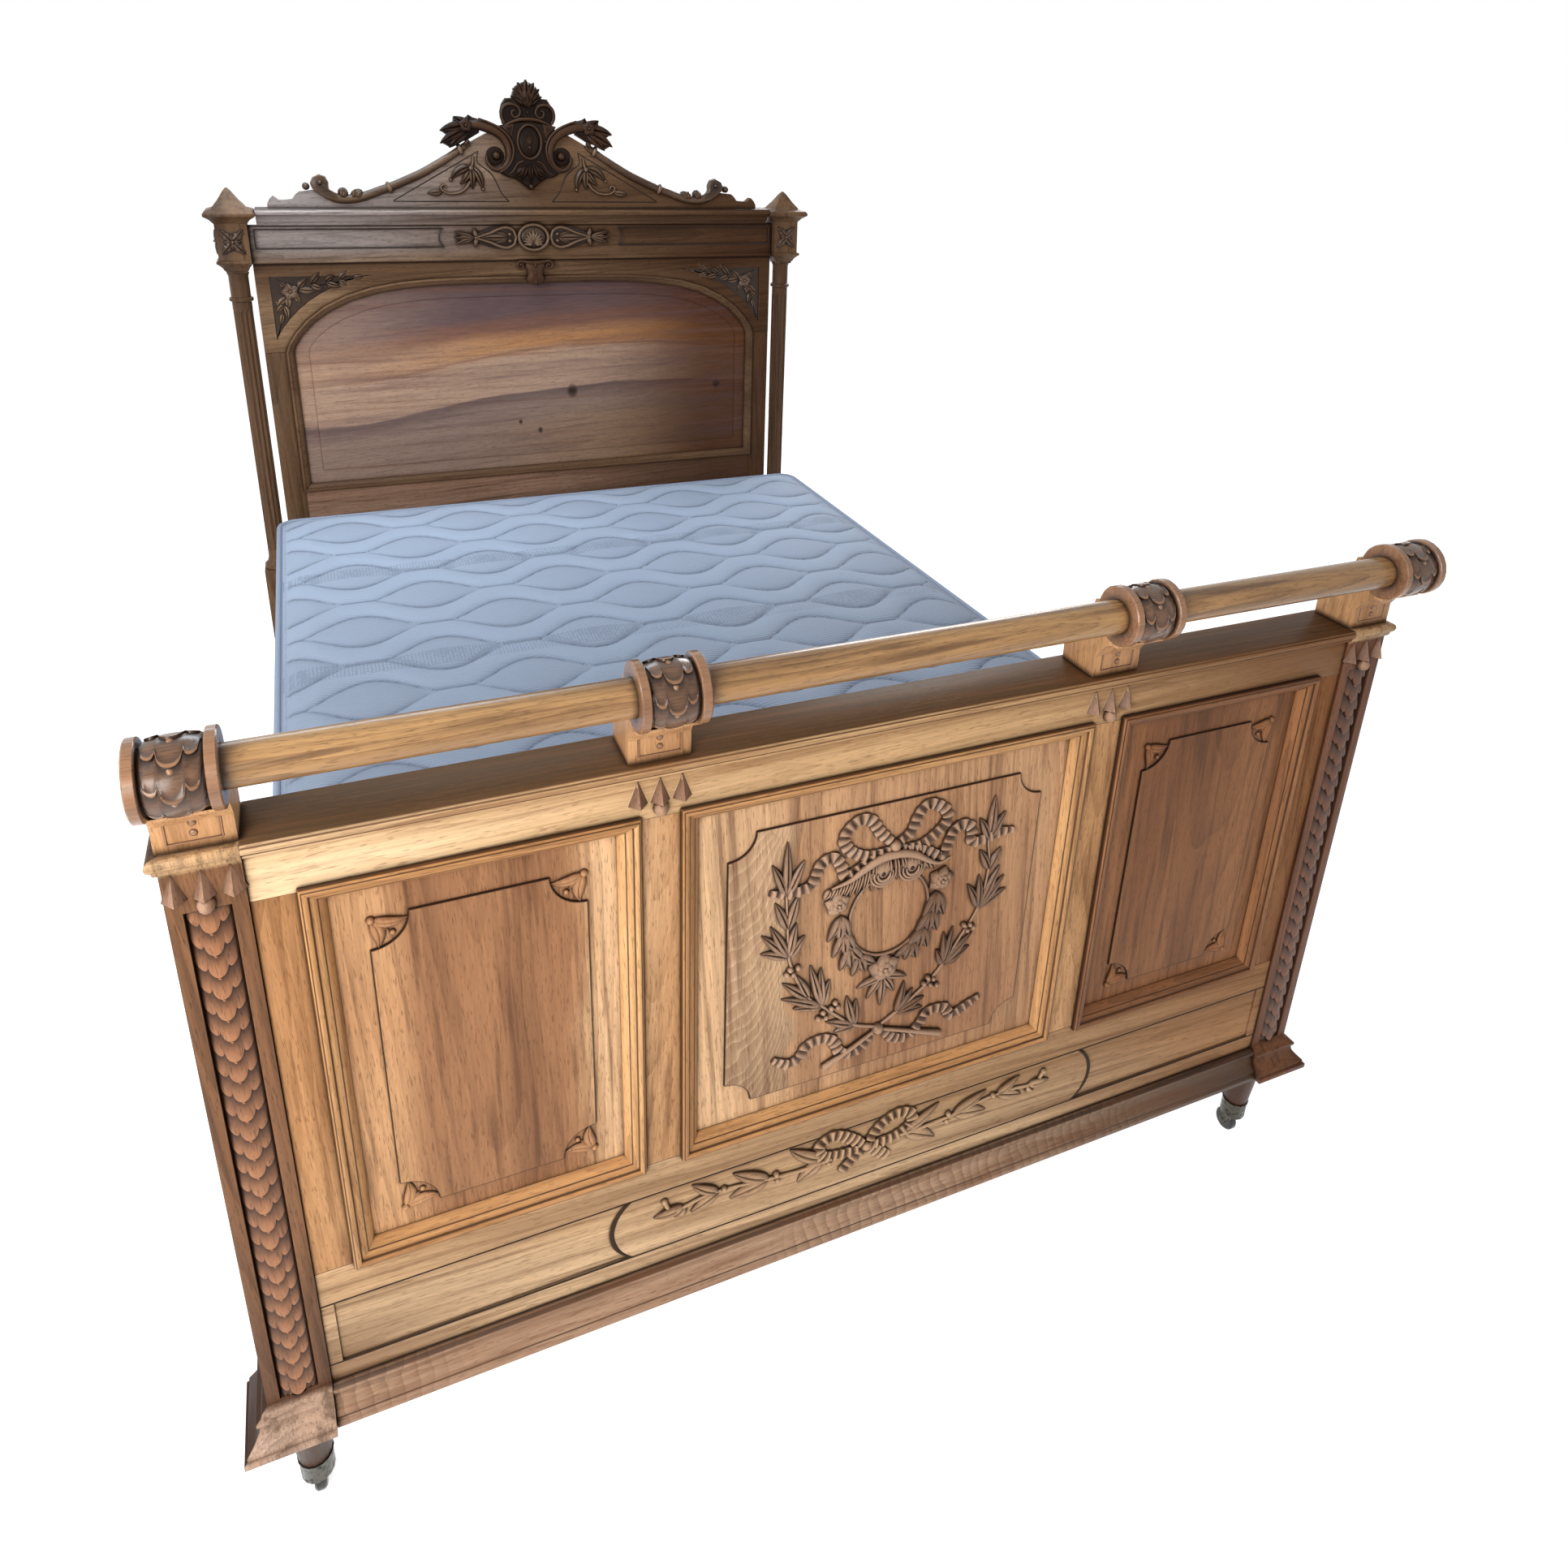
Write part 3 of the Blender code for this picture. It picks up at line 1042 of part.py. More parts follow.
def mattress(start, end, parent):
    """A sprung mattress: a quilted top whose seams swing in waves, rounded edges and a flat base."""
    bottom = SLAT_TOP + FIT
    top = bottom + MATTRESS_THICK
    half_width, half_length = MATTRESS_WIDTH / 2, (end - start) / 2
    centre = (start + end) / 2
    columns, rows = 21, 2 * QUILT_SEAMS + 1
    across = np.linspace(-1.0, 1.0, columns)
    along = np.linspace(-1.0, 1.0, rows)
    inset = 1.0 - MATTRESS_EDGE_ROUND / half_width
    shape = bmesh.new()
    loops = []
    for k, v in enumerate(along):
        row = []
        for u in across:
            x = u * half_width * inset
            fade = (1.0 - abs(v) ** 8) * (1.0 - abs(u) ** 12)
            phase = math.pi * (k // 2)
            swing = QUILT_SWING * math.sin(2 * math.pi * x / QUILT_WAVE + phase) * fade * (k % 2)
            y = centre + v * (half_length - MATTRESS_EDGE_ROUND) + swing
            z = top - (QUILT_DEPTH * fade if k % 2 else 0.0)
            row.append((x, y, z))
        loops.append(row)
    grid = [[shape.verts.new(point) for point in row] for row in loops]
    for near, far in zip(grid, grid[1:]):
        for k in range(columns - 1):
            shape.faces.new((near[k], near[k + 1], far[k + 1], far[k]))
    rim = [grid[0][k] for k in range(columns)] + [row[-1] for row in grid[1:]]
    rim += [grid[-1][k] for k in range(columns - 2, -1, -1)] + [row[0] for row in grid[-2:0:-1]]
    # Each lower ring is the rim moved outwards, down the rounded edge and the drawn-in side.
    edge = MATTRESS_EDGE_ROUND
    depth = MATTRESS_THICK / edge
    sides = [(0.7, 0.3), (1.0, 1.0), (0.80, 2.2), (0.80, depth - 2.2), (1.0, depth - 1.0), (0.6, depth)]
    previous = rim
    for out, down in sides:
        ring = []
        for vertex in rim:
            x, y = vertex.co.x, vertex.co.y - centre
            flat_x = half_width - edge
            flat_y = half_length - edge
            step_x = out * edge * (1 if x > 0 else -1) * (abs(x) > flat_x - 1e-5)
            step_y = out * edge * (1 if y > 0 else -1) * (abs(y) > flat_y - 1e-5)
            if step_x and step_y:
                step_x, step_y = step_x * 0.3, step_y * 0.3
            ring.append(shape.verts.new((vertex.co.x + step_x, vertex.co.y + step_y, top - down * edge)))
        for k in range(len(rim)):
            after = (k + 1) % len(rim)
            shape.faces.new((previous[k], ring[k], ring[after], previous[after]))
        previous = ring
    shape.faces.new(previous)
    piece("mattress", shape, ticking, parent, smooth=50)


remove_everything()
walnut = finish("walnut_golden", (0.30, 0.145, 0.055), 0.42)
walnut_red = finish("walnut_red", (0.27, 0.105, 0.042), 0.40)
walnut_dark = finish("walnut_dark", (0.150, 0.060, 0.026), 0.38)
walnut_figured = finish("walnut_figured", (0.185, 0.080, 0.040), 0.36)
pine = finish("pine", (0.55, 0.38, 0.20), 0.65)
ticking = finish("ticking", (0.66, 0.71, 0.80), 0.85)
brass = finish("brass", (0.50, 0.36, 0.14), 0.35, 1.0)
dark = finish("blackened_wheel", (0.012, 0.011, 0.011), 0.22)

foot_frame = empty("footboard", (0.0, FOOT_Y, 0.0))
head_frame_empty = empty("headboard", (0.0, HEAD_Y, 0.0))
base_frame = empty("base", (0.0, 0.0, 0.0))
footboard(foot_frame)
head_frame(head_frame_empty)
head_crown(head_frame_empty)
head_supports(head_frame_empty)
pediment(head_frame_empty)
base(base_frame)
for word, side in SIDES.items():
    caster("foot_" + word, side * POST_X, (POST_BACK - POST_PROUD) / 2, foot_frame)
    caster("head_" + word, side * COLUMN_X, COLUMN_SET_BACK, head_frame_empty)
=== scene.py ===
import math

import bmesh
import bpy
import numpy as np
from mathutils import Euler, Matrix, Vector


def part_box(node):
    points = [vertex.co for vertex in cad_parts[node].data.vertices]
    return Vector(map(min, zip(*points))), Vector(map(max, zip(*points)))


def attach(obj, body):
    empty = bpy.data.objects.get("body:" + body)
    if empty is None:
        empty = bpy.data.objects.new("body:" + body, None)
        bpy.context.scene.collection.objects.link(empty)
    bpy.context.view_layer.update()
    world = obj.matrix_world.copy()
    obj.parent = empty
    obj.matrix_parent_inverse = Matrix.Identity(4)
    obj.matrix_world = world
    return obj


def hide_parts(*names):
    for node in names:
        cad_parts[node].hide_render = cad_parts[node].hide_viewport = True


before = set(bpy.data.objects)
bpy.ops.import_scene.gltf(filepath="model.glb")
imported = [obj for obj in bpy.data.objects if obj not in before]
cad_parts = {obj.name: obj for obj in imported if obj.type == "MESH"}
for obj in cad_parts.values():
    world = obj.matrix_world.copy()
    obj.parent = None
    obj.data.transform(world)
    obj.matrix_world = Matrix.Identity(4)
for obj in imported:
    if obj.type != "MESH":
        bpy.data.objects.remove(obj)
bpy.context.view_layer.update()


# Studio
# A plain white floor under a soft white surround. The floor's glow is seen by the camera and by
# glossy surfaces only, so that it adds no light to the bed, and it keeps the bed's shadow.
class Value:
    """A shader socket: arithmetic on it adds Math nodes, and node() adds any other node."""

    def __init__(self, tree, socket=None):
        self.tree = tree
        self.socket = socket

    def node(self, kind, settings=None, inputs=None, out=0):
        """Adds a node, makes its settings, then fills its sockets with numbers or links."""
        made = self.tree.nodes.new(kind)
        for name, setting in (settings or {}).items():
            setattr(made, name, setting)
        for name, value in (inputs or {}).items():
            if isinstance(value, Value):
                self.tree.links.new(value.socket, made.inputs[name])
            else:
                made.inputs[name].default_value = value
        return Value(self.tree, made.outputs[out] if made.outputs else None)

    def math(self, operation, first, second):
        """A Math node on two values or numbers."""
        return self.node("ShaderNodeMath", {"operation": operation}, {0: first, 1: second})

    def __add__(self, other):
        return self.math("ADD", self, other)

    def __sub__(self, other):
        return self.math("SUBTRACT", self, other)

    def __rsub__(self, other):
        return self.math("SUBTRACT", other, self)

    def __mul__(self, other):
        return self.math("MULTIPLY", self, other)

    def __pow__(self, other):
        return self.math("POWER", self, other)

    __radd__ = __add__
    __rmul__ = __mul__

    def alone(self, operation):
        """A Math node on this value only."""
        return self.node("ShaderNodeMath", {"operation": operation}, {0: self})

    def larger(self, other):
        return self.math("MAXIMUM", self, other)

    def step(self, low, high):
        """0 below low, 1 above high, and a smooth rise between them."""
        return self.node("ShaderNodeMapRange", {"interpolation_type": "SMOOTHSTEP"},
                         {0: self, 1: low, 2: high})

    def mix(self, first, second):
        """The first colour where this value is 0 and the second where it is 1."""
        return self.node("ShaderNodeMix", {"data_type": "RGBA"}, {0: self, 6: first, 7: second}, out=2)

    def axes(self):
        """The x, y and z of a place."""
        return [self.node("ShaderNodeSeparateXYZ", None, {0: self}, out=k) for k in range(3)]

    def noise(self, scale, detail):
        """Smooth noise read at a place, from 0 to 1."""
        return self.node("ShaderNodeTexNoise", None, {"Vector": self, "Scale": scale, "Detail": detail})

    def feed(self, shader, name):
        """Links this value to a socket of the shader."""
        self.tree.links.new(self.socket, shader.inputs[name])


def colour(red, green, blue):
    """Linear red, green and blue as an opaque colour."""
    return (red, green, blue, 1.0)


def material_tree(name):
    """A new material, its Principled shader, and a Value to start its maths from."""
    made = bpy.data.materials.new(name)
    made.use_nodes = True
    return made, made.node_tree.nodes["Principled BSDF"], Value(made.node_tree)


def seen_directly(start):
    """1 for rays from the camera, a mirror or glass, and 0 for rays that gather light."""
    rays = [start.node("ShaderNodeLightPath", out=name) for name in
            ("Is Camera Ray", "Is Glossy Ray", "Is Transmission Ray")]
    return rays[0].larger(rays[1]).larger(rays[2])


FLOOR_HALF = 60.0
FLOOR_WHITE = 0.8
FLOOR_GLOW = colour(0.8, 0.8, 0.8)
SURROUND = 0.27

floor_mesh = bpy.data.meshes.new("studio_floor")
floor_corners = [(x * FLOOR_HALF, y * FLOOR_HALF, 0.0) for x, y in ((-1, -1), (1, -1), (1, 1), (-1, 1))]
floor_mesh.from_pydata(floor_corners, [], [(0, 1, 2, 3)])
studio_floor = bpy.data.objects.new("studio_floor", floor_mesh)
bpy.context.scene.collection.objects.link(studio_floor)
floor_paint, floor_shader, start = material_tree("studio_floor")
floor_shader.inputs["Base Color"].default_value = colour(FLOOR_WHITE, FLOOR_WHITE, FLOOR_WHITE)
floor_shader.inputs["Roughness"].default_value = 0.9
floor_shader.inputs["Specular IOR Level"].default_value = 0.0
floor_shader.inputs["Emission Strength"].default_value = 1.0
seen_directly(start).mix(colour(0.0, 0.0, 0.0), FLOOR_GLOW).feed(floor_shader, "Emission Color")
floor_mesh.materials.append(floor_paint)

world = bpy.data.worlds.new("studio_surround")
bpy.context.scene.world = world
world.use_nodes = True
background = world.node_tree.nodes["Background"]
shown = seen_directly(Value(world.node_tree))
shown.mix(colour(SURROUND, SURROUND, SURROUND), colour(1.0, 1.0, 1.0)).feed(background, "Color")

for name, place, target, power, size, tint in (
    ("key_light", (-1.45, -2.55, 1.3), (-0.15, -0.95, 0.62), 33.0, 1.0, (1.0, 0.965, 0.92)),
    ("window_light", (-2.6, -1.6, 2.3), (0.0, 0.9, 1.0), 46.0, 1.2, (0.9, 0.95, 1.0)),
    ("sky_light", (-0.5, 0.85, 2.1), (-0.1, 0.72, 0.6), 17.0, 1.0, (0.72, 0.88, 1.0)),
    ("back_light", (2.4, 3.4, 2.4), (0.0, 0.6, 0.7), 60.0, 1.6, (1.0, 1.0, 1.0)),
):
    lamp = bpy.data.lights.new(name, "AREA")
    lamp.energy = power
    lamp.size = size
    lamp.color = tint
    holder = bpy.data.objects.new(name, lamp)
    holder.location = place
    holder.rotation_euler = (Vector(target) - Vector(place)).to_track_quat("-Z", "Y").to_euler()
    bpy.context.scene.collection.objects.link(holder)


# Camera
# It stands where the photographer did. Focal length and optical centre are in pixels of the
# 1932 px frame, and the three directions are the camera's own axes.
FRAME_PIXELS = 1932
FOCAL_PIXELS = 1365.77
CENTRE_PIXELS = (964.91, 672.06)
CAMERA_PLACE = (-0.56893, -2.00073, 1.5772)
CAMERA_RIGHT = (0.92195, -0.38597, 0.03226)
CAMERA_UP = (0.11163, 0.34454, 0.93211)
CAMERA_BACK = (-0.37088, -0.85576, 0.36073)
SENSOR = 36.0
camera = bpy.data.objects.new("camera", bpy.data.cameras.new("camera"))
bpy.context.scene.collection.objects.link(camera)
camera.data.sensor_width = SENSOR
camera.data.lens = SENSOR * FOCAL_PIXELS / FRAME_PIXELS
camera.data.shift_x = 0.5 - CENTRE_PIXELS[0] / FRAME_PIXELS
camera.data.shift_y = CENTRE_PIXELS[1] / FRAME_PIXELS - 0.5
axes = Matrix((CAMERA_RIGHT, CAMERA_UP, CAMERA_BACK)).transposed()
camera.matrix_world = Matrix.Translation(CAMERA_PLACE) @ axes.to_4x4()
bpy.context.scene.camera = camera
bpy.context.scene.view_settings.view_transform = "Standard"


# Footboard frame
# Rails, stiles and muntins of honey-coloured walnut, planed, moulded and pegged together. Each is
# its own timber, so each has its own place in the log. Its joints and hollows are darkened with painted
# shade that stands partly for old polish, and the right-hand parts are painted darker, as shade.
# The top rail's pale tone is lightened, partly as a painted sheen along the rail.
RAIL_WOOD = (colour(0.96, 0.7, 0.43), colour(0.72, 0.455, 0.235), colour(0.24, 0.11, 0.048))
SAPWOOD = (colour(0.78, 0.535, 0.32), colour(0.52, 0.315, 0.165), colour(0.18, 0.086, 0.04))
HONEY_WOOD = (colour(0.8, 0.46, 0.23), colour(0.52, 0.262, 0.115), colour(0.16, 0.064, 0.025))
MUNTIN_WOOD = (colour(0.92, 0.575, 0.32), colour(0.6, 0.325, 0.155), colour(0.16, 0.066, 0.027))
# The right-hand parts are painted darker and redder: painted shade, away from the lamps.
SHADED_RIGHT_WOOD = (colour(0.38, 0.165, 0.066), colour(0.24, 0.095, 0.036), colour(0.07, 0.026, 0.011))
# The darkest tone: painted shade in hollows and quirks, standing partly for old polish, and the knots.
SHADE_AND_POLISH = colour(0.02, 0.009, 0.005)
GRAIN_TURN = {"x": (0.0, math.pi / 2, 0.0), "y": (math.pi / 2, 0.0, 0.0), "z": (0.0, 0.0, 0.0)}
RING_WAVE = 0.314
WORN_EDGE = 0.004
SMOOTH_ANGLE = 28
EASED_ANGLE = 32
SAME_POINT = 1e-5


def walnut(name, node, along, wood, heart=(0.0, 0.1), tilt=(0.03, 0.05), ring=0.009, figure=0.5,
           rough=0.42, coat=0.03, shine=0.15, hollow=0.011, wear=0.0, carved=False, mitred=False,
           figured=None):
    """Oiled walnut of three tones, pale, brown and dark. The grain runs along one axis of the bed, and
    along each side of a mitred frame. Rings about a log's heart, which lies beside the board and leans
    a little, draw the figure; broad noise drifts from pale to brown; noise stretched along the grain
    draws bands, streaks, fibres and pores; ambient occlusion paints shade into hollows, joints and the
    ground round carvings, standing partly for old polish, and worn edges are pale. On carved pieces the
    attribute lit, which is 1 on ridges and 0 in the ground, paints a highlight on the ridges and shade in
    the ground."""
    made, shader, start = material_tree(name)
    pale, brown, dark = wood
    low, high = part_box(node)
    middle = (low + high) / 2
    to_grain = Euler((*tilt, 0.0)).to_matrix() @ Euler(GRAIN_TURN[along]).to_matrix()
    place = start.node("ShaderNodeTexCoord", out="Object")
    local = start.node("ShaderNodeVectorMath", {"operation": "SUBTRACT"}, {0: place, 1: middle})
    if mitred:
        x, y, z = local.axes()
        beyond = z.alone("ABSOLUTE") - x.alone("ABSOLUTE") + ((high.x - low.x) - (high.z - low.z)) / 2
        turned = start.node("ShaderNodeCombineXYZ", None, {0: z, 1: y, 2: x})
        local = start.node("ShaderNodeMix", {"data_type": "VECTOR"}, {
            0: beyond.step(-0.0004, 0.0004), 4: local, 5: turned}, out=1)
    board = start.node("ShaderNodeMapping", None, {"Vector": local, "Rotation": to_grain.to_euler()})

    def stretched(across, lengthways, detail, shift=0.0):
        scaled = start.node("ShaderNodeMapping", None, {
            "Vector": board, "Location": (shift + middle.x * 7, middle.z * 5, 0.0),
            "Scale": (across, across, lengthways)})
        return scaled.noise(1.0, detail)

    wander = stretched(9.0, 1.6, 2.0) - 0.5
    ripple = stretched(60.0, 5.0, 2.0, 2.3) - 0.5
    bend = start.node("ShaderNodeCombineXYZ", None, {
        0: wander * 0.07 + ripple * 0.008 + heart[0], 1: wander * 0.03 + heart[1]})
    ring_place = start.node("ShaderNodeVectorMath", {"operation": "ADD"}, {0: board, 1: bend})
    rings = start.node("ShaderNodeTexWave", {
        "wave_type": "RINGS", "rings_direction": "Z", "wave_profile": "SAW"},
        {"Vector": ring_place, "Scale": RING_WAVE / ring, "Distortion": 0.0}, out="Fac")
    drift = stretched(6.0, 0.9, 2.0, 3.1).step(0.34, 0.66)
    band = stretched(24.0, 0.7, 3.0, 11.0).step(0.44, 0.72)
    streak = stretched(105.0, 1.6, 4.0, 7.7).step(0.5, 0.7)
    fibre = stretched(420.0, 9.0, 2.0, 1.3)
    pore = stretched(700.0, 60.0, 1.0, 5.9).step(0.6, 0.68)
    tone = drift.mix(pale, brown)
    if figured:
        tone = figured(start, place, tone)
    tone = (rings ** 2.2 * (band * 0.6 + 0.4) * figure).mix(tone, dark)
    tone = (band * figure * 0.7).mix(tone, dark)
    tone = (streak * figure).mix(tone, dark)
    tone = start.node("ShaderNodeMix", {"data_type": "RGBA", "blend_type": "MULTIPLY"},
                      {0: 1.0, 6: tone, 7: fibre * 0.6 + 0.7}, out=2)
    tone = (pore * 0.45).mix(tone, dark)
    if wear:
        inner = start.node("ShaderNodeAmbientOcclusion", {"samples": 6, "inside": True},
                           {"Distance": WORN_EDGE}, out="AO")
        tone = ((1.0 - inner.step(0.15, 0.7)) * wear).mix(tone, pale)
    # Ambient occlusion paints shade into hollows, joints and the ground round carvings, partly as old
    # polish.
    open_air = start.node("ShaderNodeAmbientOcclusion", {"samples": 8}, {"Distance": hollow}, out="AO")
    grime_and_shade = 1.0 - open_air.step(0.42, 0.95)
    if carved:
        # On carved pieces the lit attribute paints a highlight on ridges and shade in the ground.
        lit = start.node("ShaderNodeAttribute", {"attribute_name": "lit"}, out="Fac")
        tone = (lit.step(0.72, 1.0) * 0.75).mix(tone, pale)
        tone = ((1.0 - lit.step(0.3, 0.85)) * 0.75).mix(tone, dark)
        grime_and_shade = grime_and_shade.larger(1.0 - lit.step(0.02, 0.45))
    tone = (grime_and_shade * 0.9).mix(tone, SHADE_AND_POLISH)
    tone.feed(shader, "Base Color")
    (fibre * 0.16 + (rough - 0.08) + grime_and_shade * 0.2).feed(shader, "Roughness")
    bump = start.node("ShaderNodeBump", None, {
        "Strength": 0.3, "Distance": 0.0006, "Height": fibre * 0.5 - pore * 0.6})
    bump.feed(shader, "Normal")
    shader.inputs["Specular IOR Level"].default_value = shine
    shader.inputs["Coat Weight"].default_value = coat
    shader.inputs["Coat Roughness"].default_value = 0.22
    return made


def smooth_group():
    """A node group that shades smooth across every edge flatter than an angle."""
    group = bpy.data.node_groups.new("smooth_by_angle", "GeometryNodeTree")
    group.interface.new_socket("Geometry", in_out="INPUT", socket_type="NodeSocketGeometry")
    group.interface.new_socket("Geometry", in_out="OUTPUT", socket_type="NodeSocketGeometry")
    start = Value(group)
    mesh = start.node("NodeGroupInput")
    mesh = start.node("GeometryNodeSetShadeSmooth", {"domain": "FACE"},
                      {"Geometry": mesh, "Shade Smooth": True})
    angle = start.node("GeometryNodeInputMeshEdgeAngle")
    steep = start.node("FunctionNodeCompare", {"operation": "GREATER_THAN"},
                       {0: angle, 1: math.radians(SMOOTH_ANGLE)})
    mesh = start.node("GeometryNodeSetShadeSmooth", {"domain": "EDGE"}, {
        "Geometry": mesh, "Selection": steep, "Shade Smooth": False})
    start.node("NodeGroupOutput", None, {0: mesh})
    return group


SMOOTH_BY_ANGLE = smooth_group()


def dress(names, material, edge=0.0008):
    """Gives CAD nodes a material, and eases their edges as sandpaper and use have done."""
    for name in names:
        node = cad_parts[name]
        node.data.materials.clear()
        node.data.materials.append(material)
        weld = node.modifiers.new("weld", "WELD")
        weld.merge_threshold = SAME_POINT
        if edge:
            bevel = node.modifiers.new("eased_edge", "BEVEL")
            bevel.width = edge
            bevel.segments = 2
            bevel.limit_method = "ANGLE"
            bevel.angle_limit = math.radians(EASED_ANGLE)
        smooth = node.modifiers.new("smooth", "NODES")
        smooth.node_group = SMOOTH_BY_ANGLE


def shade_and_polish_line(tone, far, near, end, share=0.85):
    """A tone with a dark line, painted shade that stands partly for old polish, full up to near and gone
    at end, where far is a distance from the line's middle."""
    return ((1.0 - far.alone("ABSOLUTE").step(near, end)) * share).mix(tone, SHADE_AND_POLISH)


TOP_BROWN = colour(0.07, 0.036, 0.016)
SOIL_BROWN = colour(0.21, 0.115, 0.068)


def dark_crown(start, place, tone):
    """The rail's upper face is dark, and the quirks above and below the bead of its nose are painted dark,
    as shade that stands partly for old polish. Its right end, away from the window, is painted redder and
    darker, as shade."""
    x, _, height = place.axes()
    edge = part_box("foot_top_rail")[1].z
    tone = (x.step(0.15, 0.62) * 0.8).mix(tone, SHADED_RIGHT_WOOD[1])
    tone = (height.step(edge - 0.0012, edge - 0.0004) * 0.93).mix(tone, TOP_BROWN)
    for quirk in (edge - 0.003, edge - 0.0135):
        tone = shade_and_polish_line(tone, height - quirk, 0.0005, 0.0012)
    return tone


def dim_end(start, place, tone):
    """The bottom rail is painted redder and darker towards its right end, as shade, and soiled at its
    lower left corner.
    """
    x, _, z = place.axes()
    soil = (1.0 - x.step(-0.7, -0.4)) * (1.0 - z.step(0.26, 0.34))
    tone = (soil * 0.7).mix(tone, SOIL_BROWN)
    return (x.step(0.15, 0.66) * 0.7).mix(tone, SHADED_RIGHT_WOOD[0])


for node, along, wood, heart, tilt, figured in (
    ("foot_top_rail", "x", RAIL_WOOD, (0.02, 0.12), (0.02, 0.03), dark_crown),
    ("foot_bottom_rail", "x", SAPWOOD, (0.06, 0.15), (0.02, -0.04), dim_end),
    ("foot_stile_left", "z", HONEY_WOOD, (0.03, 0.1), (0.05, 0.03), None),
    ("foot_stile_right", "z", SHADED_RIGHT_WOOD, (-0.02, 0.09), (0.04, 0.03), None),
    ("foot_muntin_left", "z", MUNTIN_WOOD, (0.01, 0.07), (0.06, -0.04), None),
    ("foot_muntin_right", "z", HONEY_WOOD, (-0.01, 0.05), (0.08, 0.03), None),
):
    dress([node], walnut("honey_walnut_" + node, node, along, wood, heart, tilt, coat=0.0, shine=0.04,
                         wear=0.5, figured=figured))


# Footboard panels
# Three floating panels of redder walnut with the grain upright, each planed to a raised field with
# scooped corners, held in the frame's grooves behind mitred mouldings. The middle one has a pale patch
# of wavy figure along its left side.
RED_WOOD = (colour(0.6, 0.315, 0.15), colour(0.33, 0.15, 0.07), colour(0.11, 0.043, 0.018))
AMBER_WOOD = (colour(0.66, 0.37, 0.195), colour(0.45, 0.225, 0.112), colour(0.15, 0.062, 0.028))
PATCH_PALE = colour(0.86, 0.6, 0.375)
PATCH_BROWN = colour(0.62, 0.395, 0.235)
PATCH_LOW = colour(0.3, 0.19, 0.11)
PATCH_EDGE = -0.124
MARGIN_HONEY = colour(1.0, 0.65, 0.37)
PATCH_START = -0.211
PATCH_PITCH = 0.0205
FIELD_LOW = 0.44
FIELD_HIGH = 0.835
FIELD_RAISE = 0.0025
FIELDS = {"left": (-0.4747, 0.1085, 0.039), "centre": (0.0, 0.208, 0.034), "right": (0.4747, 0.1085, 0.039)}


def field_edge(start, place, word):
    """How far a place lies outside the raised field of a panel: a rectangle less a disc at each corner.
    The back of the panel has no field, and counts as inside."""
    middle, half, scoop = FIELDS[word]
    low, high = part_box("foot_panel_" + word)
    x, y, z = place.axes()
    behind = y.step((low.y + high.y) / 2 - 0.001, (low.y + high.y) / 2 + 0.001)
    aside = (x - middle).alone("ABSOLUTE") - half
    above = (z - (FIELD_LOW + FIELD_HIGH) / 2).alone("ABSOLUTE") - (FIELD_HIGH - FIELD_LOW) / 2
    return aside.larger(above).larger(scoop - (aside * aside + above * above) ** 0.5) - behind


def dark_heart(start, place, tone):
    """The left panel is redder and darker in the middle, with paler sapwood at both sides."""
    x = place.axes()[0]
    stir = place.noise(5.0, 2.0) - 0.5
    x = x + stir * 0.06
    heart = x.step(-0.585, -0.53) * (1.0 - x.step(-0.405, -0.36))
    side = (stir.step(-0.2, 0.2) * 0.6).mix(RED_WOOD[0], HONEY_WOOD[0])
    side = (x.step(-0.4, -0.345) * 0.8).mix(side, MARGIN_HONEY)
    return (heart * 0.85).mix(side, RED_WOOD[1])


def wavy_patch(start, place, tone):
    """Left of a wavering upright edge the wood is pale, with thin paler lines that leave the field's
    left side level and turn up, ever more steeply, towards the edge."""
    x, _, z = place.axes()
    sway = place.noise(16.0, 3.0) - 0.5
    inside = 1.0 - (x + sway * 0.05).step(PATCH_EDGE - 0.008, PATCH_EDGE + 0.008)
    outside = field_edge(start, place, "centre").step(0.0, 0.0006)
    inside = inside * (1.0 - outside)
    tone = (outside * (0.85 - x.step(-0.235, -0.1) * 0.65)).mix(tone, MARGIN_HONEY)
    climb = (((x - PATCH_START) * (1.0 / 0.03)).alone("EXPONENT")) * 0.011
    lines = ((climb - z + sway * 0.055) * (1.0 / PATCH_PITCH)).alone("FRACT")
    ground = ((1.0 - z.step(0.44, 0.68)) * 0.75).mix(PATCH_BROWN, PATCH_LOW)
    patch = (lines ** 4.0 * (z.step(0.42, 0.7) * 0.5 + 0.5)).mix(ground, PATCH_PALE)
    return (inside * 0.9).mix(tone, patch)


MOULDING_QUIRKS = (0.0003, 0.003, 0.0092, 0.0165)


def quirked(node):
    """Dark lines in the quirks round a mitred moulding, each at its own distance in from the outer edge:
    painted shade, standing partly for old polish.
    """
    low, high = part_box(node)

    def lined(start, place, tone):
        x, _, z = place.axes()
        far = ((x - (low.x + high.x) / 2).alone("ABSOLUTE") - (high.x - low.x) / 2).larger(
            (z - (low.z + high.z) / 2).alone("ABSOLUTE") - (high.z - low.z) / 2)
        for quirk in MOULDING_QUIRKS:
            tone = shade_and_polish_line(tone, far + quirk, 0.0003, 0.001, 0.88)
        return tone

    return lined


def outlined(word, figured):
    """A panel's figure with a dark line round its raised field: painted shade at the field's edge, standing
    partly for old polish.
    """
    def drawn(start, place, tone):
        tone = figured(start, place, tone) if figured else tone
        return shade_and_polish_line(tone, field_edge(start, place, word), 0.0004, 0.0013, 0.88)

    return drawn


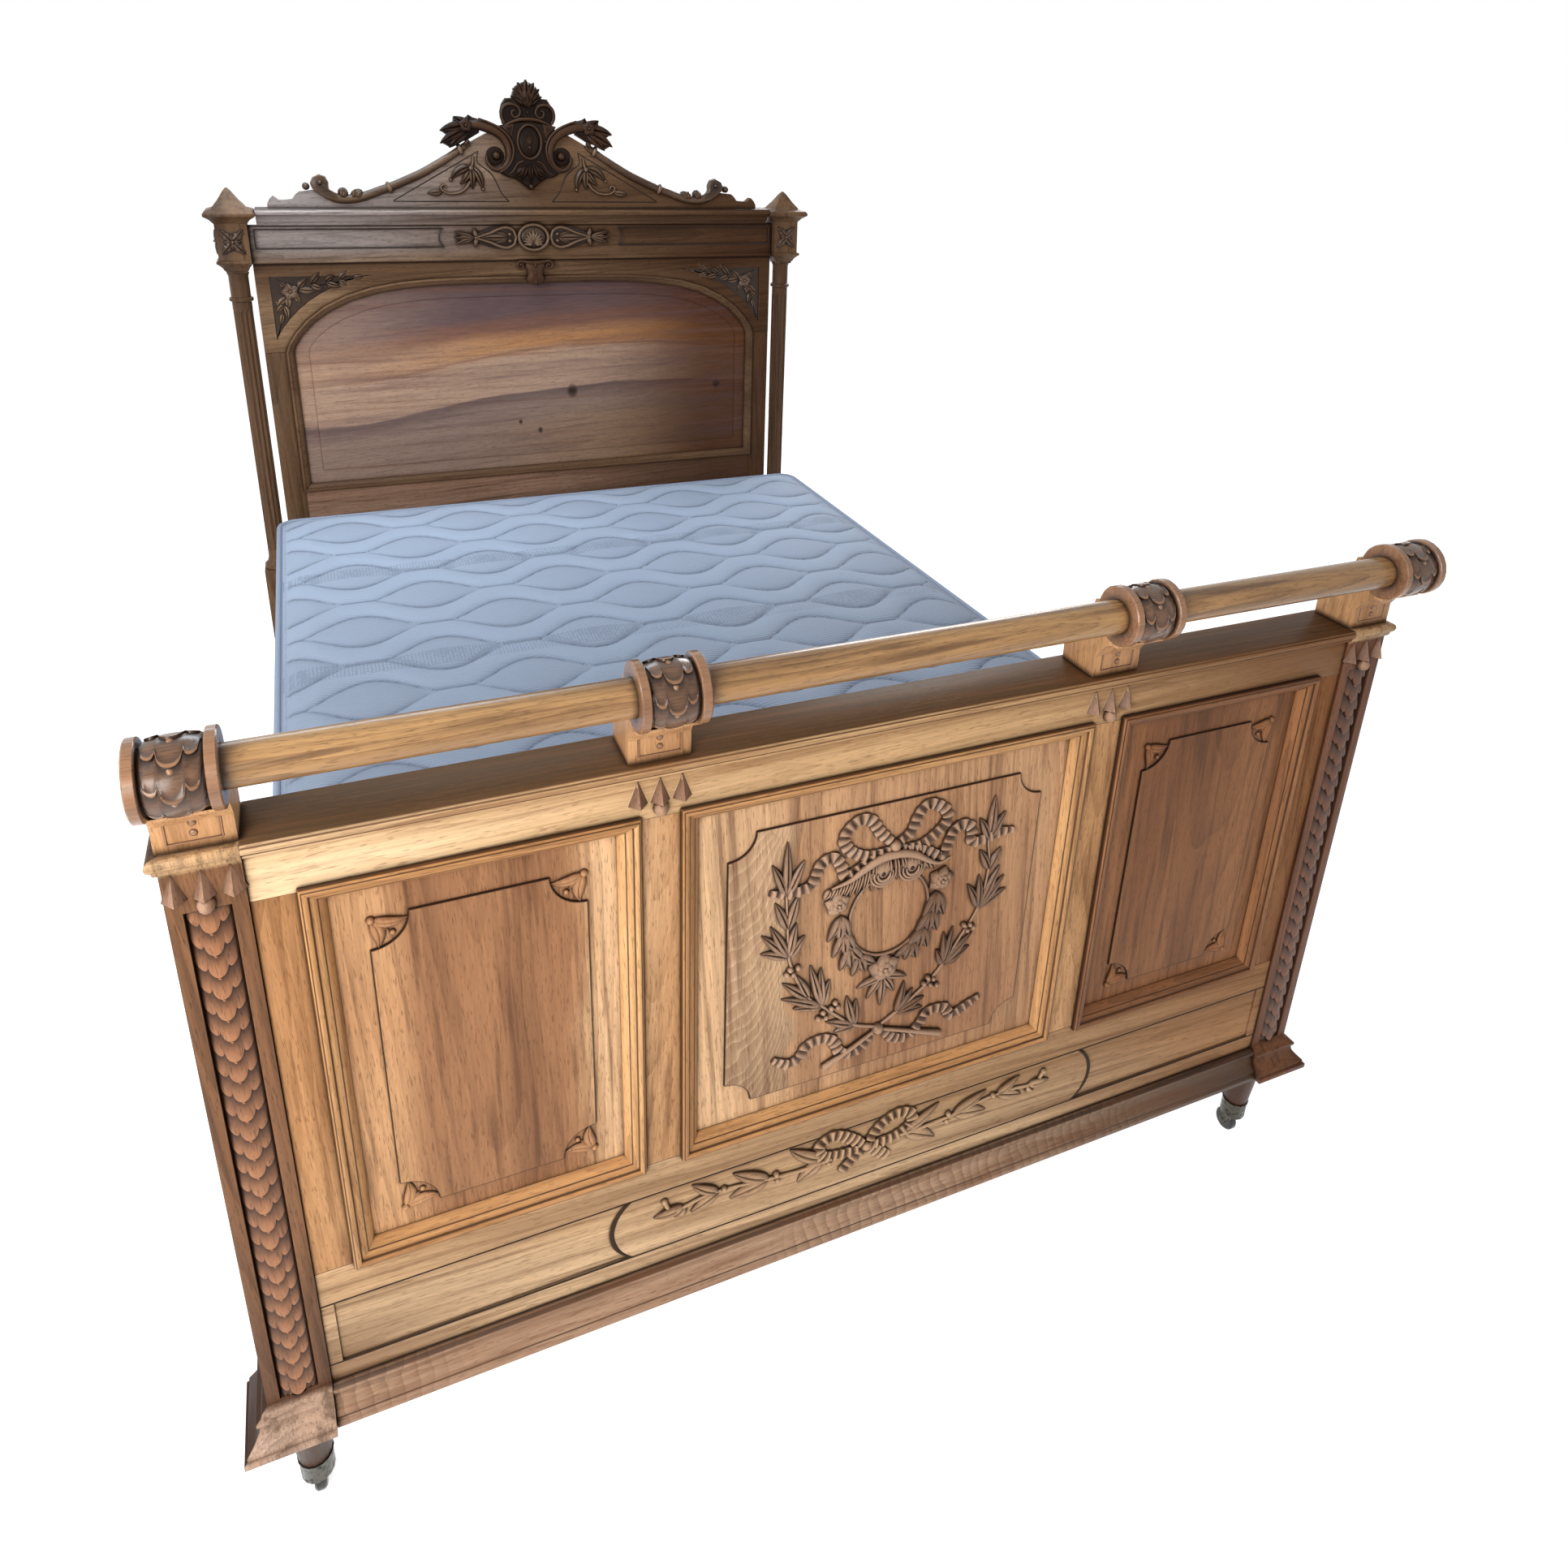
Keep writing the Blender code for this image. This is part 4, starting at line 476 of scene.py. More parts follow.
def seat(sheet, place, right=(1.0, 0.0, 0.0), out=(0.0, -1.0, 0.0), up=(0.0, 0.0, 1.0)):
    """(across, up, out) of a carving to (x, y, z) on a face that passes through a place."""
    a, b, h, lit = np.moveaxis(sheet, -1, 0)[..., None]
    spot = np.array(place) + a * np.array(right) + b * np.array(up) + h * np.array(out)
    return np.concatenate([spot, lit], axis=-1)


def seated(sheets, face, middle=0.0):
    """Carvings seated on an upright face of the bed, which has a y, about a middle, which has an x."""
    return [seat(sheet, (middle, face, 0.0)) for sheet in sheets]


def stacked(*columns):
    """Columns of numbers, spread to one shape, as the last axis of an array."""
    return np.stack(np.broadcast_arrays(*columns), axis=-1)


def shell_piece(name, spots, faces, values, material, slot, sharp):
    """A piece that rides on the bed, from points and faces. Its faces are turned outward, and the values
    are kept as attributes of its points."""
    mesh = bpy.data.meshes.new(name)
    mesh.from_pydata(spots.tolist(), [], faces)
    for word, numbers in values.items():
        attribute = mesh.attributes.new(word, "FLOAT", "POINT")
        attribute.data.foreach_set("value", numbers.astype(np.float32))
    shell = bmesh.new()
    shell.from_mesh(mesh)
    bmesh.ops.recalc_face_normals(shell, faces=shell.faces)
    shell.to_mesh(mesh)
    shell.free()
    mesh.shade_smooth()
    mesh.set_sharp_from_angle(angle=math.radians(sharp))
    mesh.materials.append(material)
    piece = bpy.data.objects.new(name, mesh)
    bpy.context.scene.collection.objects.link(piece)
    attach(piece, "bed")
    return piece


def carve(name, sheets, material, slot, sharp=42.0, ring=False):
    """One piece made of closed shells. A sheet is an array [shell, ring, point, (x, y, z, lit)]: faces
    join each ring to the next, and a flat face closes each end, or the last ring meets the first. Lit,
    which paints a highlight where it is high and shade where it is low, is kept as an attribute."""
    spots = []
    faces = []
    first = 0
    for sheet in sheets:
        index = first + np.arange(sheet[..., 0].size).reshape(sheet.shape[:3])
        around = np.concatenate([index, index[:, :1]], axis=1) if ring else index
        here = around[:, :-1]
        there = around[:, 1:]
        sides = np.stack([here, np.roll(here, -1, 2), np.roll(there, -1, 2), there], axis=-1)
        faces += sides.reshape(-1, 4).tolist()
        if not ring:
            faces += index[:, 0].tolist() + index[:, -1].tolist()
        spots.append(sheet.reshape(-1, 4))
        first += index.size
    spots = np.concatenate(spots)
    return shell_piece(name, spots[:, :3], faces, {"lit": spots[:, 3]}, material, slot, sharp)


def plate(outline, centre, levels):
    """A flat raised plate: its outline drawn in towards a centre by shares, each with its height and
    its lit value."""
    edge = np.array(outline, float) - np.array(centre)
    share, out, lit = (c[:, None] for c in np.array(levels, float).T)
    a = centre[0] + share * edge[:, 0]
    b = centre[1] + share * edge[:, 1]
    return stacked(a, b, out, lit)[None]


def arc(across, up, radius, start, end, out):
    """Points of an arc about a place, its angles in degrees."""
    turn = np.radians(np.linspace(start, end, 13))
    return np.stack([across + radius * np.cos(turn), up + radius * np.sin(turn), np.full(13, out)], axis=1)


MOULDING_WOOD = (colour(0.8, 0.455, 0.205), colour(0.56, 0.28, 0.11), colour(0.15, 0.06, 0.024))
for word, wood, edging, heart, tilt, figured in (
    ("left", RED_WOOD, MOULDING_WOOD, (0.01, 0.06), (0.045, 0.02), dark_heart),
    ("centre", AMBER_WOOD, MOULDING_WOOD, (0.12, 0.09), (0.03, 0.06), wavy_patch),
    ("right", SHADED_RIGHT_WOOD, SHADED_RIGHT_WOOD, (-0.03, 0.11), (0.05, 0.02), None),
):
    panel = "foot_panel_" + word
    panel_wood = walnut("red_walnut_" + panel, panel, "z", wood, heart, tilt, ring=0.012, figure=0.55,
                        figured=outlined(word, figured))
    low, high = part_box(panel)
    middle, half, scoop = FIELDS[word]
    centre = (middle, (FIELD_LOW + FIELD_HIGH) / 2)
    corners = ((-1, FIELD_LOW, 90.0), (1, FIELD_LOW, 180.0), (1, FIELD_HIGH, 270.0), (-1, FIELD_HIGH, 360.0))
    field = np.concatenate([arc(middle + side * half, level, scoop, turn, turn - 90.0, 0.0)[:, :2]
                            for side, level, turn in corners])
    edge = [(low.x, low.z), (high.x, low.z), (high.x, high.z), (low.x, high.z)]
    sheets = [plate(edge, centre, [(1.0, low.y - high.y, 1.0), (1.0, -FIELD_RAISE, 1.0)]),
              plate(field, centre, [(1.0, -2 * FIELD_RAISE, 1.0), (1.0, 0.0, 1.0)])]
    board = carve("panel_board_" + word, seated(sheets, low.y), panel_wood, "walnut_red")
    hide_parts(panel)
    moulding = "foot_panel_moulding_" + word
    dress([moulding], walnut("moulding_walnut_" + word, moulding, "z", edging, figure=0.4,
                             hollow=0.006, wear=0.5, mitred=True, figured=quirked(moulding)), edge=0.0004)


# Corner buds of the side panels
# A small trumpet flower is carved in each scooped corner of the side panels, its stalk's bead at the
# outer corner and its mouth against the scoop. It stands a few millimetres over the panel.
def smooth(points, samples):
    """A smooth line through points: a cubic between each two, with the slopes of their neighbours,
    read at even steps of its length. Returns the line and its length."""
    knots = np.array(points, float)
    slope = np.gradient(knots, axis=0)
    t = np.linspace(0.0, len(knots) - 1.0, 16 * len(knots))
    i = np.minimum(t.astype(int), len(knots) - 2)
    s = (t - i)[:, None]
    fine = (1 + 2 * s) * (1 - s) ** 2 * knots[i] + s * (1 - s) ** 2 * slope[i]
    fine += s * s * (3 - 2 * s) * knots[i + 1] + s * s * (s - 1) * slope[i + 1]
    run = np.append(0.0, np.cumsum(np.linalg.norm(np.diff(fine, axis=0), axis=1)))
    even = np.linspace(0.0, run[-1], samples)
    return np.stack([np.interp(even, run, column) for column in fine.T], axis=1), run[-1]


def leaves(rows, rings=9, lobes=0, vein=0.45, sink=0.002):
    """Carved leaves standing on a face, as [leaf, ring, point, (across, up, out, lit)]. A row gives a
    leaf's foot (across, up), the way it starts in degrees, its length, width and height, how far it
    bends in degrees, and how much higher its left side stands. The spine turns evenly, the width
    swells as a sine and ends in a point, and the section is a low vault with a sunk vein."""
    across, up, turn, length, width, height, bend, roll = (c[:, None, None] for c in np.array(rows, float).T)
    u = np.linspace(0.0, 1.0, rings)[None, :, None]
    heading = np.radians(turn + bend * u)
    middle = (heading[:, :-1] + heading[:, 1:]) / 2
    zero = np.zeros_like(across)
    along_a = np.concatenate([zero, np.cumsum(np.cos(middle), axis=1)], axis=1) * length / (rings - 1)
    along_b = np.concatenate([zero, np.cumsum(np.sin(middle), axis=1)], axis=1) * length / (rings - 1)
    swell = 0.07 + 0.93 * np.sin(np.pi * u ** 0.75).clip(0.0, 1.0) ** 0.8
    if lobes:
        swell = swell * (0.8 + 0.2 * np.cos(2 * np.pi * lobes * (u - 0.5)))
    v = np.array([-1.0, -1.0, -0.6, -0.22, 0.0, 0.22, 0.6, 1.0, 1.0])
    top = np.sqrt(1 - (0.88 * v) ** 2) - vein * np.exp(-((v / 0.18) ** 2))
    base = np.array([1, 0, 0, 0, 0, 0, 0, 0, 1], bool)
    rise = height * (0.4 + 0.6 * np.sin(np.pi * u ** 0.8).clip(0.0, 1.0))
    out = np.where(base, -sink, rise * (top + 0.5 * roll * v))
    lit = np.where(base, 0.0, top * (0.55 + 0.45 * swell))
    half = width / 2 * swell
    a = across + along_a - np.sin(heading) * half * v
    b = up + along_b + np.cos(heading) * half * v
    return stacked(a, b, out, lit)


def beads(rows, sink=0.002, around=12):
    """Round or oval beads on a face: rows of across, up, two half axes, height and turn in degrees.
    Rings run down a quarter ellipse from the top to the face."""
    across, up, first, second, height, turn = (c[:, None, None] for c in np.array(rows, float).T)
    fall = np.radians([10.0, 32.0, 55.0, 76.0, 90.0, 90.0])[None, :, None]
    round_ = (np.arange(around) * 2 * np.pi / around)[None, None, :]
    p = first * np.sin(fall) * np.cos(round_)
    q = second * np.sin(fall) * np.sin(round_)
    tilt = np.radians(turn)
    out = height * np.cos(fall) + 0.0 * round_
    out[:, -1] = -sink
    lit = 0.15 + 0.85 * np.cos(fall)
    a = across + p * np.cos(tilt) - q * np.sin(tilt)
    b = up + p * np.sin(tilt) + q * np.cos(tilt)
    return stacked(a, b, out, lit)


BUD_LENGTH = 0.036
BUD_WIDTH = 0.0135
BUD_HEIGHT = 0.0052
BUD_INSET = 0.003
SEED_REACH = 0.027
for word, wood in (("left", RED_WOOD), ("right", SHADED_RIGHT_WOOD)):
    carved_panel = walnut("carved_panel_walnut_" + word, "foot_panel_" + word, "z", wood, figure=0.2,
                          carved=True)
    middle, half, _ = FIELDS[word]
    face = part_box("foot_panel_" + word)[0].y
    bud_sheets = []
    for x, z, inward in ((middle - half, FIELD_LOW, 45), (middle + half, FIELD_LOW, 135),
                         (middle + half, FIELD_HIGH, 225), (middle - half, FIELD_HIGH, 315)):
        toward_middle = math.radians(inward)
        bud_x = x + math.copysign(BUD_INSET, math.cos(toward_middle))
        bud_z = z + math.copysign(BUD_INSET, math.sin(toward_middle))
        rows = [(bud_x, bud_z, inward + side * 12, BUD_LENGTH, BUD_WIDTH, BUD_HEIGHT, side * 50, side * 0.3)
                for side in (-1, 1)]
        rows.append((bud_x, bud_z, inward, BUD_LENGTH * 0.62, 0.01, BUD_HEIGHT * 0.8, 0, 0))
        seed_x = bud_x + SEED_REACH * math.cos(toward_middle)
        seed_z = bud_z + SEED_REACH * math.sin(toward_middle)
        bud_sheets += [leaves(rows, vein=0.25), beads([(bud_x, bud_z, 0.0046, 0.0046, 0.0056, 0),
                                                       (seed_x, seed_z, 0.0034, 0.0034, 0.0036, 0)])]
    sheets = seated(bud_sheets, face + FIELD_RAISE)
    carve("panel_buds_" + word, sheets, carved_panel, "walnut_red")


# Wreath of the middle panel
# Carved in the panel's own wood: a ribbon bow over a feathered crest, an oval of laurel and roses,
# and two laurel branches whose stalks cross under a second knot. It stands up to 11 mm proud.
def ribbon(points, width, height, pleat=0.0105, sink=0.002):
    """A pleated band along a smooth line, as one shell: across it a low vault, along it waves of the
    pleat's length, with the ends drawn in."""
    line, length = smooth(points, 8)
    line, length = smooth(points, max(24, int(length / 0.0013)))
    t = np.linspace(0.0, 1.0, len(line))[:, None]
    slope = np.gradient(line, axis=0)
    slope /= np.linalg.norm(slope, axis=1)[:, None]
    wave = 0.5 + 0.5 * np.cos(2 * np.pi * t * length / pleat)
    v = np.array([-1.0, -1.0, -0.55, 0.0, 0.55, 1.0, 1.0])
    base = np.array([1, 0, 0, 0, 0, 0, 1], bool)
    half = width / 2 * (0.55 + 0.45 * np.minimum(1.0, 9 * np.minimum(t, 1 - t))) * (0.9 + 0.1 * wave)
    out = np.where(base, -sink, height * (0.3 + 0.7 * wave) * (1 - 0.25 * v * v))
    lit = np.where(base, 0.0, 0.1 + 0.9 * wave ** 0.6)
    a = line[:, :1] - slope[:, 1:2] * half * v
    b = line[:, 1:2] + slope[:, :1] * half * v
    return stacked(a, b, out, lit)[None]


def strand(points, radii, flat=1.0, around=10, samples=0):
    """A rounded rib along a smooth line through (across, up, out) points: circles, flattened outward,
    whose radius runs through the given values."""
    line, length = smooth(points, 8)
    line, length = smooth(points, samples or max(10, int(length / 0.003)))
    t = np.linspace(0.0, 1.0, len(line))
    radius = np.interp(t, np.linspace(0.0, 1.0, len(radii)), radii)[:, None]
    slope = np.gradient(line, axis=0)
    level = np.maximum(np.hypot(slope[:, 0], slope[:, 1]), 1e-9)[:, None]
    turn = (np.arange(around) * 2 * np.pi / around)[None, :]
    a = line[:, :1] - slope[:, 1:2] / level * radius * np.cos(turn)
    b = line[:, 1:2] + slope[:, :1] / level * radius * np.cos(turn)
    out = line[:, 2:3] + flat * radius * np.sin(turn)
    lit = 0.35 + 0.65 * np.sin(turn) + 0.0 * a
    return stacked(a, b, out, lit)[None]


def petals(across, up, count, length, width, height, start=90.0, roll=0.0):
    """Rows for leaves() that stand in a ring about a point."""
    return [(across, up, start + 360.0 * k / count, length, width, height, 0, roll) for k in range(count)]


def toward(foot, tip, width, height, bend=0.0, roll=0.0):
    """A row for leaves() from a foot to a tip, bent on the way."""
    a = tip[0] - foot[0]
    b = tip[1] - foot[1]
    return (*foot, math.degrees(math.atan2(b, a)) - bend / 2, math.hypot(a, b), width, height, bend, roll)


def fan(foot, tips, width, height):
    """Rows for leaves() from one joint of a stalk to several tips. Each starts nearer the fan's middle
    line than it ends, and the outer side stands higher."""
    ways = [complex(tip[0] - foot[0], tip[1] - foot[1]) for tip in tips]
    middle = sum(way / abs(way) for way in ways)
    rows = []
    for tip, way in zip(tips, ways):
        aside = math.degrees(math.atan2((way / middle).imag, (way / middle).real))
        rows.append(toward(foot, tip, width, height, 0.5 * aside, 0.4 * math.copysign(1.0, aside)))
    return rows


def relit(sheet, share):
    """The same carving with its lit values times a share."""
    return sheet * np.array([1.0, 1.0, 1.0, share])


def darkened(sheet):
    """The same carving with lit 0 throughout, painted as dark as the shaded ground."""
    return relit(sheet, 0.0)


WREATH_WOOD = (colour(0.52, 0.32, 0.205), colour(0.25, 0.13, 0.07), colour(0.055, 0.025, 0.013))
carved_red = walnut("carved_red_walnut", "foot_panel_centre", "z", WREATH_WOOD, figure=0.2, rough=0.34,
                    coat=0.25, carved=True)
panel_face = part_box("foot_panel_centre")[0].y
wreath_ribbons = (
    [(0.002, 0.776), (-0.018, 0.797), (-0.032, 0.818), (-0.047, 0.822), (-0.062, 0.811), (-0.066, 0.796),
     (-0.053, 0.778), (-0.03, 0.768), (-0.003, 0.771)],
    [(0.002, 0.776), (0.022, 0.788), (0.032, 0.812), (0.046, 0.823), (0.066, 0.812), (0.072, 0.795),
     (0.056, 0.777), (0.034, 0.766), (0.008, 0.77)],
    [(0.012, 0.768), (0.044, 0.757), (0.068, 0.743), (0.076, 0.76), (0.083, 0.776), (0.096, 0.782),
     (0.108, 0.774), (0.11, 0.754), (0.126, 0.752), (0.151, 0.757), (0.172, 0.756)],
    [(-0.006, 0.768), (-0.03, 0.761), (-0.047, 0.752), (-0.062, 0.748), (-0.069, 0.766), (-0.079, 0.778),
     (-0.094, 0.773), (-0.101, 0.756), (-0.108, 0.745), (-0.13, 0.742), (-0.158, 0.748)],
    [(0.004, 0.49), (0.023, 0.472), (0.044, 0.468), (0.06, 0.483), (0.071, 0.499), (0.096, 0.497),
     (0.106, 0.481), (0.125, 0.487), (0.15, 0.499)],
    [(-0.008, 0.491), (-0.024, 0.473), (-0.042, 0.468), (-0.057, 0.48), (-0.064, 0.497), (-0.08, 0.506),
     (-0.101, 0.502), (-0.112, 0.486), (-0.127, 0.482), (-0.146, 0.495)],
)
LEAF_LIT = 0.8
RIBBON = (0.015, 0.006)
STALK_RADII = (0.0026, 0.0016)
LAUREL_LEAF = (0.0124, 0.0066)
OVAL_LEAF = (0.015, 0.007)
BERRY = (0.0042, 0.0042, 0.0072, 0)
wreath = [ribbon(points, *RIBBON) for points in wreath_ribbons]
left_stalk = [(-0.002, 0.498), (-0.036, 0.513), (-0.06, 0.535), (-0.082, 0.558), (-0.101, 0.577),
              (-0.118, 0.61), (-0.13, 0.648), (-0.133, 0.69), (-0.136, 0.738), (-0.137, 0.79)]
right_stalk = [(-0.002, 0.498), (0.022, 0.513), (0.05, 0.533), (0.07, 0.55), (0.086, 0.57), (0.108, 0.605),
               (0.131, 0.646), (0.141, 0.703), (0.136, 0.75), (0.139, 0.79)]
wreath += [strand([(a, b, 0.001) for a, b in stalk], STALK_RADII) for stalk in (left_stalk, right_stalk)]
for foot, tips in (
    ((-0.136, 0.738), ((-0.137, 0.813), (-0.155, 0.786), (-0.115, 0.783))),
    ((-0.133, 0.69), ((-0.15, 0.732), (-0.121, 0.736))),
    ((-0.13, 0.648), ((-0.155, 0.7), (-0.166, 0.69), (-0.167, 0.664), (-0.122, 0.696), (-0.11, 0.675))),
    ((-0.082, 0.558), ((-0.138, 0.587), (-0.122, 0.567), (-0.101, 0.627), (-0.087, 0.619), (-0.074, 0.597))),
    ((-0.101, 0.577), ((-0.137, 0.611), (-0.118, 0.617))),
    ((-0.036, 0.513), ((-0.076, 0.531), (-0.064, 0.51), (-0.049, 0.563), (-0.035, 0.554))),
    ((0.136, 0.75), ((0.139, 0.812), (0.157, 0.786), (0.12, 0.784))),
    ((0.141, 0.703), ((0.156, 0.733), (0.125, 0.736))),
    ((0.131, 0.646), ((0.157, 0.705), (0.166, 0.688), (0.171, 0.667), (0.112, 0.688), (0.128, 0.698))),
    ((0.086, 0.57), ((0.097, 0.627), (0.084, 0.622), (0.075, 0.597), (0.127, 0.61), (0.125, 0.589),
                     (0.113, 0.576))),
    ((0.022, 0.513), ((0.032, 0.561), (0.046, 0.545), (0.064, 0.526), (0.063, 0.509))),
):
    wreath.append(relit(leaves(fan(foot, tips, *LAUREL_LEAF)), LEAF_LIT))
berry_places = [(-0.118, 0.63), (-0.128, 0.63), (-0.132, 0.624), (-0.124, 0.622), (-0.065, 0.559),
                (-0.07, 0.552), (-0.061, 0.551), (-0.081, 0.549), (-0.087, 0.541), (-0.077, 0.54),
                (0.066, 0.556), (0.074, 0.552), (0.07, 0.544), (0.08, 0.54), (0.061, 0.548), (0.112, 0.626),
                (0.121, 0.624), (0.126, 0.619), (0.118, 0.616)]
wreath.append(beads([(a, b, *BERRY) for a, b in berry_places]))
OVAL = (0.002, 0.676)
OVAL_HALF = (0.054, 0.062)
hoop = [(OVAL[0] + OVAL_HALF[0] * math.cos(t), OVAL[1] + OVAL_HALF[1] * math.sin(t), 0.001)
        for t in np.radians(np.arange(-270.0, 91.0, 10.0))]
wreath.append(relit(strand(hoop, (0.0022, 0.0022), flat=1.2), LEAF_LIT))
for foot, tips in (
    ((-0.064, 0.69), ((-0.08, 0.655), (-0.064, 0.65), (-0.05, 0.652))),
    ((-0.059, 0.664), ((-0.072, 0.629), (-0.055, 0.628), (-0.041, 0.63))),
    ((-0.05, 0.64), ((-0.061, 0.606), (-0.045, 0.605), (-0.028, 0.612))),
    ((-0.036, 0.622), ((-0.044, 0.592), (-0.026, 0.594), (-0.01, 0.603))),
    ((0.066, 0.69), ((0.05, 0.652), (0.066, 0.65), (0.081, 0.65))),
    ((0.061, 0.664), ((0.041, 0.632), (0.058, 0.628), (0.073, 0.628))),
    ((0.051, 0.64), ((0.029, 0.614), (0.046, 0.605), (0.061, 0.606))),
    ((0.038, 0.622), ((0.014, 0.604), (0.029, 0.595), (0.046, 0.593))),
):
    wreath.append(relit(leaves(fan(foot, tips, *OVAL_LEAF)), LEAF_LIT))
for a, b, size, turn in ((-0.07, 0.71, 0.0175, 18.0), (0.071, 0.708, 0.0185, 0.0),
                         (0.0, 0.593, 0.023, 20.0)):
    wreath.append(leaves(petals(a, b, 5, size, size * 1.05, 0.0072, turn, 0.4), vein=0.1))
    wreath.append(leaves(petals(a, b, 5, size * 0.62, size * 0.66, 0.0096, turn + 36.0, 0.4), vein=0.1))
    wreath.append(beads([(a, b, size * 0.22, size * 0.22, 0.011, 0)]))
wreath.append(leaves([toward((0.0, 0.58), tip, 0.0115, 0.0066, bend) for tip, bend in (
    ((-0.021, 0.549), 20), ((-0.001, 0.532), 0), ((0.017, 0.549), -20), ((-0.036, 0.57), 24),
    ((0.035, 0.568), -24))]))
crest_line = [(-0.08, 0.735), (-0.057, 0.741), (-0.037, 0.753), (-0.019, 0.762), (0.005, 0.764),
              (0.029, 0.757), (0.052, 0.741), (0.066, 0.735), (0.081, 0.74)]
feather, _ = smooth(crest_line[:-2], 17)
fringe = 1.0 - np.abs(np.arange(17) - 8.0) / 8.0
wreath.append(leaves([(a, b - 0.002, -90 + 5.0 * (k - 8), 0.016 + 0.032 * fringe[k], 0.009, 0.0062,
                       (8 - k) * 2.5, 0.3)
                      for k, (a, b) in enumerate(feather)], vein=0.6))
wreath.append(strand([(a, b, 0.0045) for a, b in crest_line],
                     (0.0012, 0.004, 0.006, 0.0064, 0.0056, 0.0036, 0.0012), flat=0.9))
for a, b in ((-0.012, 0.739), (0.027, 0.738)):
    wreath.append(beads([(a, b, 0.0185, 0.0195, 0.0058, 0)], around=20))
    wreath += [strand(arc(a, b, reach, 165.0, 375.0, 0.0066 - 0.0012 * k),
                      (0.0008, 0.0021, 0.0024, 0.0021, 0.0008))
               for k, reach in enumerate((0.0085, 0.0128, 0.017))]
    wreath.append(darkened(beads([(a, b, 0.0048, 0.0052, 0.0074, 0)])))
wreath.append(beads([(0.002, 0.775, 0.0088, 0.0088, 0.01, 0), (-0.002, 0.496, 0.0088, 0.0088, 0.01, 0)]))
for tip in ((-0.077, 0.458), (0.092, 0.456)):
    wreath.append(strand([(-0.002, 0.496, 0.002), (tip[0] / 2, (tip[1] + 0.496) / 2, 0.003), (*tip, 0.002)],
                         (0.0028, 0.0034, 0.0054)))
carve("panel_wreath", seated(wreath, panel_face), carved_red, "walnut_red")


# Swag of the bottom rail
# A bow with laurel sprigs to both sides, carved between the two sunk fields of the rail in its own
# honey-coloured wood.
SWAG_WOOD = (colour(0.66, 0.43, 0.255), colour(0.36, 0.205, 0.108), colour(0.075, 0.036, 0.018))
carved_honey = walnut("carved_honey_walnut", "foot_bottom_rail", "x", SWAG_WOOD, figure=0.2, carved=True)
rail_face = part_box("foot_bottom_rail")[0].y
SWAG_RIBBON = (0.0175, 0.0065)
SWAG_STALK = (0.0036, 0.003, 0.0024, 0.0034)
SWAG_LEAF = (0.0215, 0.0066)
SHORT_LEAF = 0.044
SWAG_BERRY = (0.0044, 0.0044, 0.0072, 0)
swag = [ribbon(points, *SWAG_RIBBON) for points in (
    [(-0.01, 0.306), (-0.04, 0.333), (-0.062, 0.342), (-0.08, 0.33), (-0.072, 0.312), (-0.044, 0.305),
     (-0.012, 0.305)],
    [(-0.01, 0.306), (0.008, 0.331), (0.032, 0.344), (0.054, 0.338), (0.056, 0.318), (0.03, 0.304),
     (-0.008, 0.304)],
    [(-0.012, 0.304), (-0.026, 0.291), (-0.046, 0.272)],
    [(-0.008, 0.304), (0.006, 0.291), (0.024, 0.273)],
)]
swag.append(beads([(-0.01, 0.306, 0.008, 0.008, 0.0095, 0)]))
for points in (
    [(-0.06, 0.302), (-0.102, 0.3), (-0.14, 0.304), (-0.173, 0.309), (-0.212, 0.314), (-0.237, 0.314),
     (-0.263, 0.308), (-0.281, 0.312), (-0.288, 0.328)],
    [(0.04, 0.303), (0.067, 0.302), (0.114, 0.304), (0.152, 0.311), (0.19, 0.315), (0.22, 0.315),
     (0.246, 0.311), (0.262, 0.315), (0.27, 0.329)],
):
    swag.append(strand([(a, b, 0.001) for a, b in points], SWAG_STALK))
    swag.append(beads([(points[-1][0], points[-1][1], 0.0046, 0.0046, 0.0062, 0)]))
for foot, tips in (
    ((-0.072, 0.306), ((-0.12, 0.342), (-0.108, 0.28))),
    ((-0.148, 0.304), ((-0.198, 0.335), (-0.202, 0.294))),
    ((-0.217, 0.313), ((-0.252, 0.339), (-0.254, 0.294))),
    ((-0.262, 0.309), ((-0.302, 0.305), (-0.276, 0.296))),
    ((0.048, 0.304), ((0.1, 0.337), (0.098, 0.276))), ((0.124, 0.306), ((0.176, 0.33), (0.178, 0.294))),
    ((0.194, 0.315), ((0.23, 0.336), (0.236, 0.3))), ((0.245, 0.312), ((0.282, 0.31), (0.258, 0.299))),
):
    share = min(1.0, abs(tips[0][0] - foot[0]) / SHORT_LEAF)
    swag.append(leaves(fan(foot, tips, SWAG_LEAF[0] * share, SWAG_LEAF[1])))
swag.append(beads([(a, b, *SWAG_BERRY) for a, b in (
    (-0.139, 0.31), (-0.137, 0.299), (-0.21, 0.316), (-0.064, 0.297), (0.116, 0.311), (0.114, 0.299),
    (0.187, 0.317))]))


def groove(points, width=0.0012):
    """A dark line: a low strand along points with lit 0, painted shade along a sunk edge that stands partly
    for old polish.
    """
    return darkened(strand([(a, b, 0.0) for a, b in points], (width, width), flat=0.5, around=6))


RAIL_FIELD = (0.249, 0.344)
RAIL_FIELD_END = 0.69
swag += [groove([(-RAIL_FIELD_END, level), (RAIL_FIELD_END, level)]) for level in RAIL_FIELD]
HOLLOW_RADII = (0.001, 0.003, 0.0026, 0.001)
hollow_end = arc(0.297, sum(RAIL_FIELD) / 2, 0.057, -56.0, 56.0, 0.0)
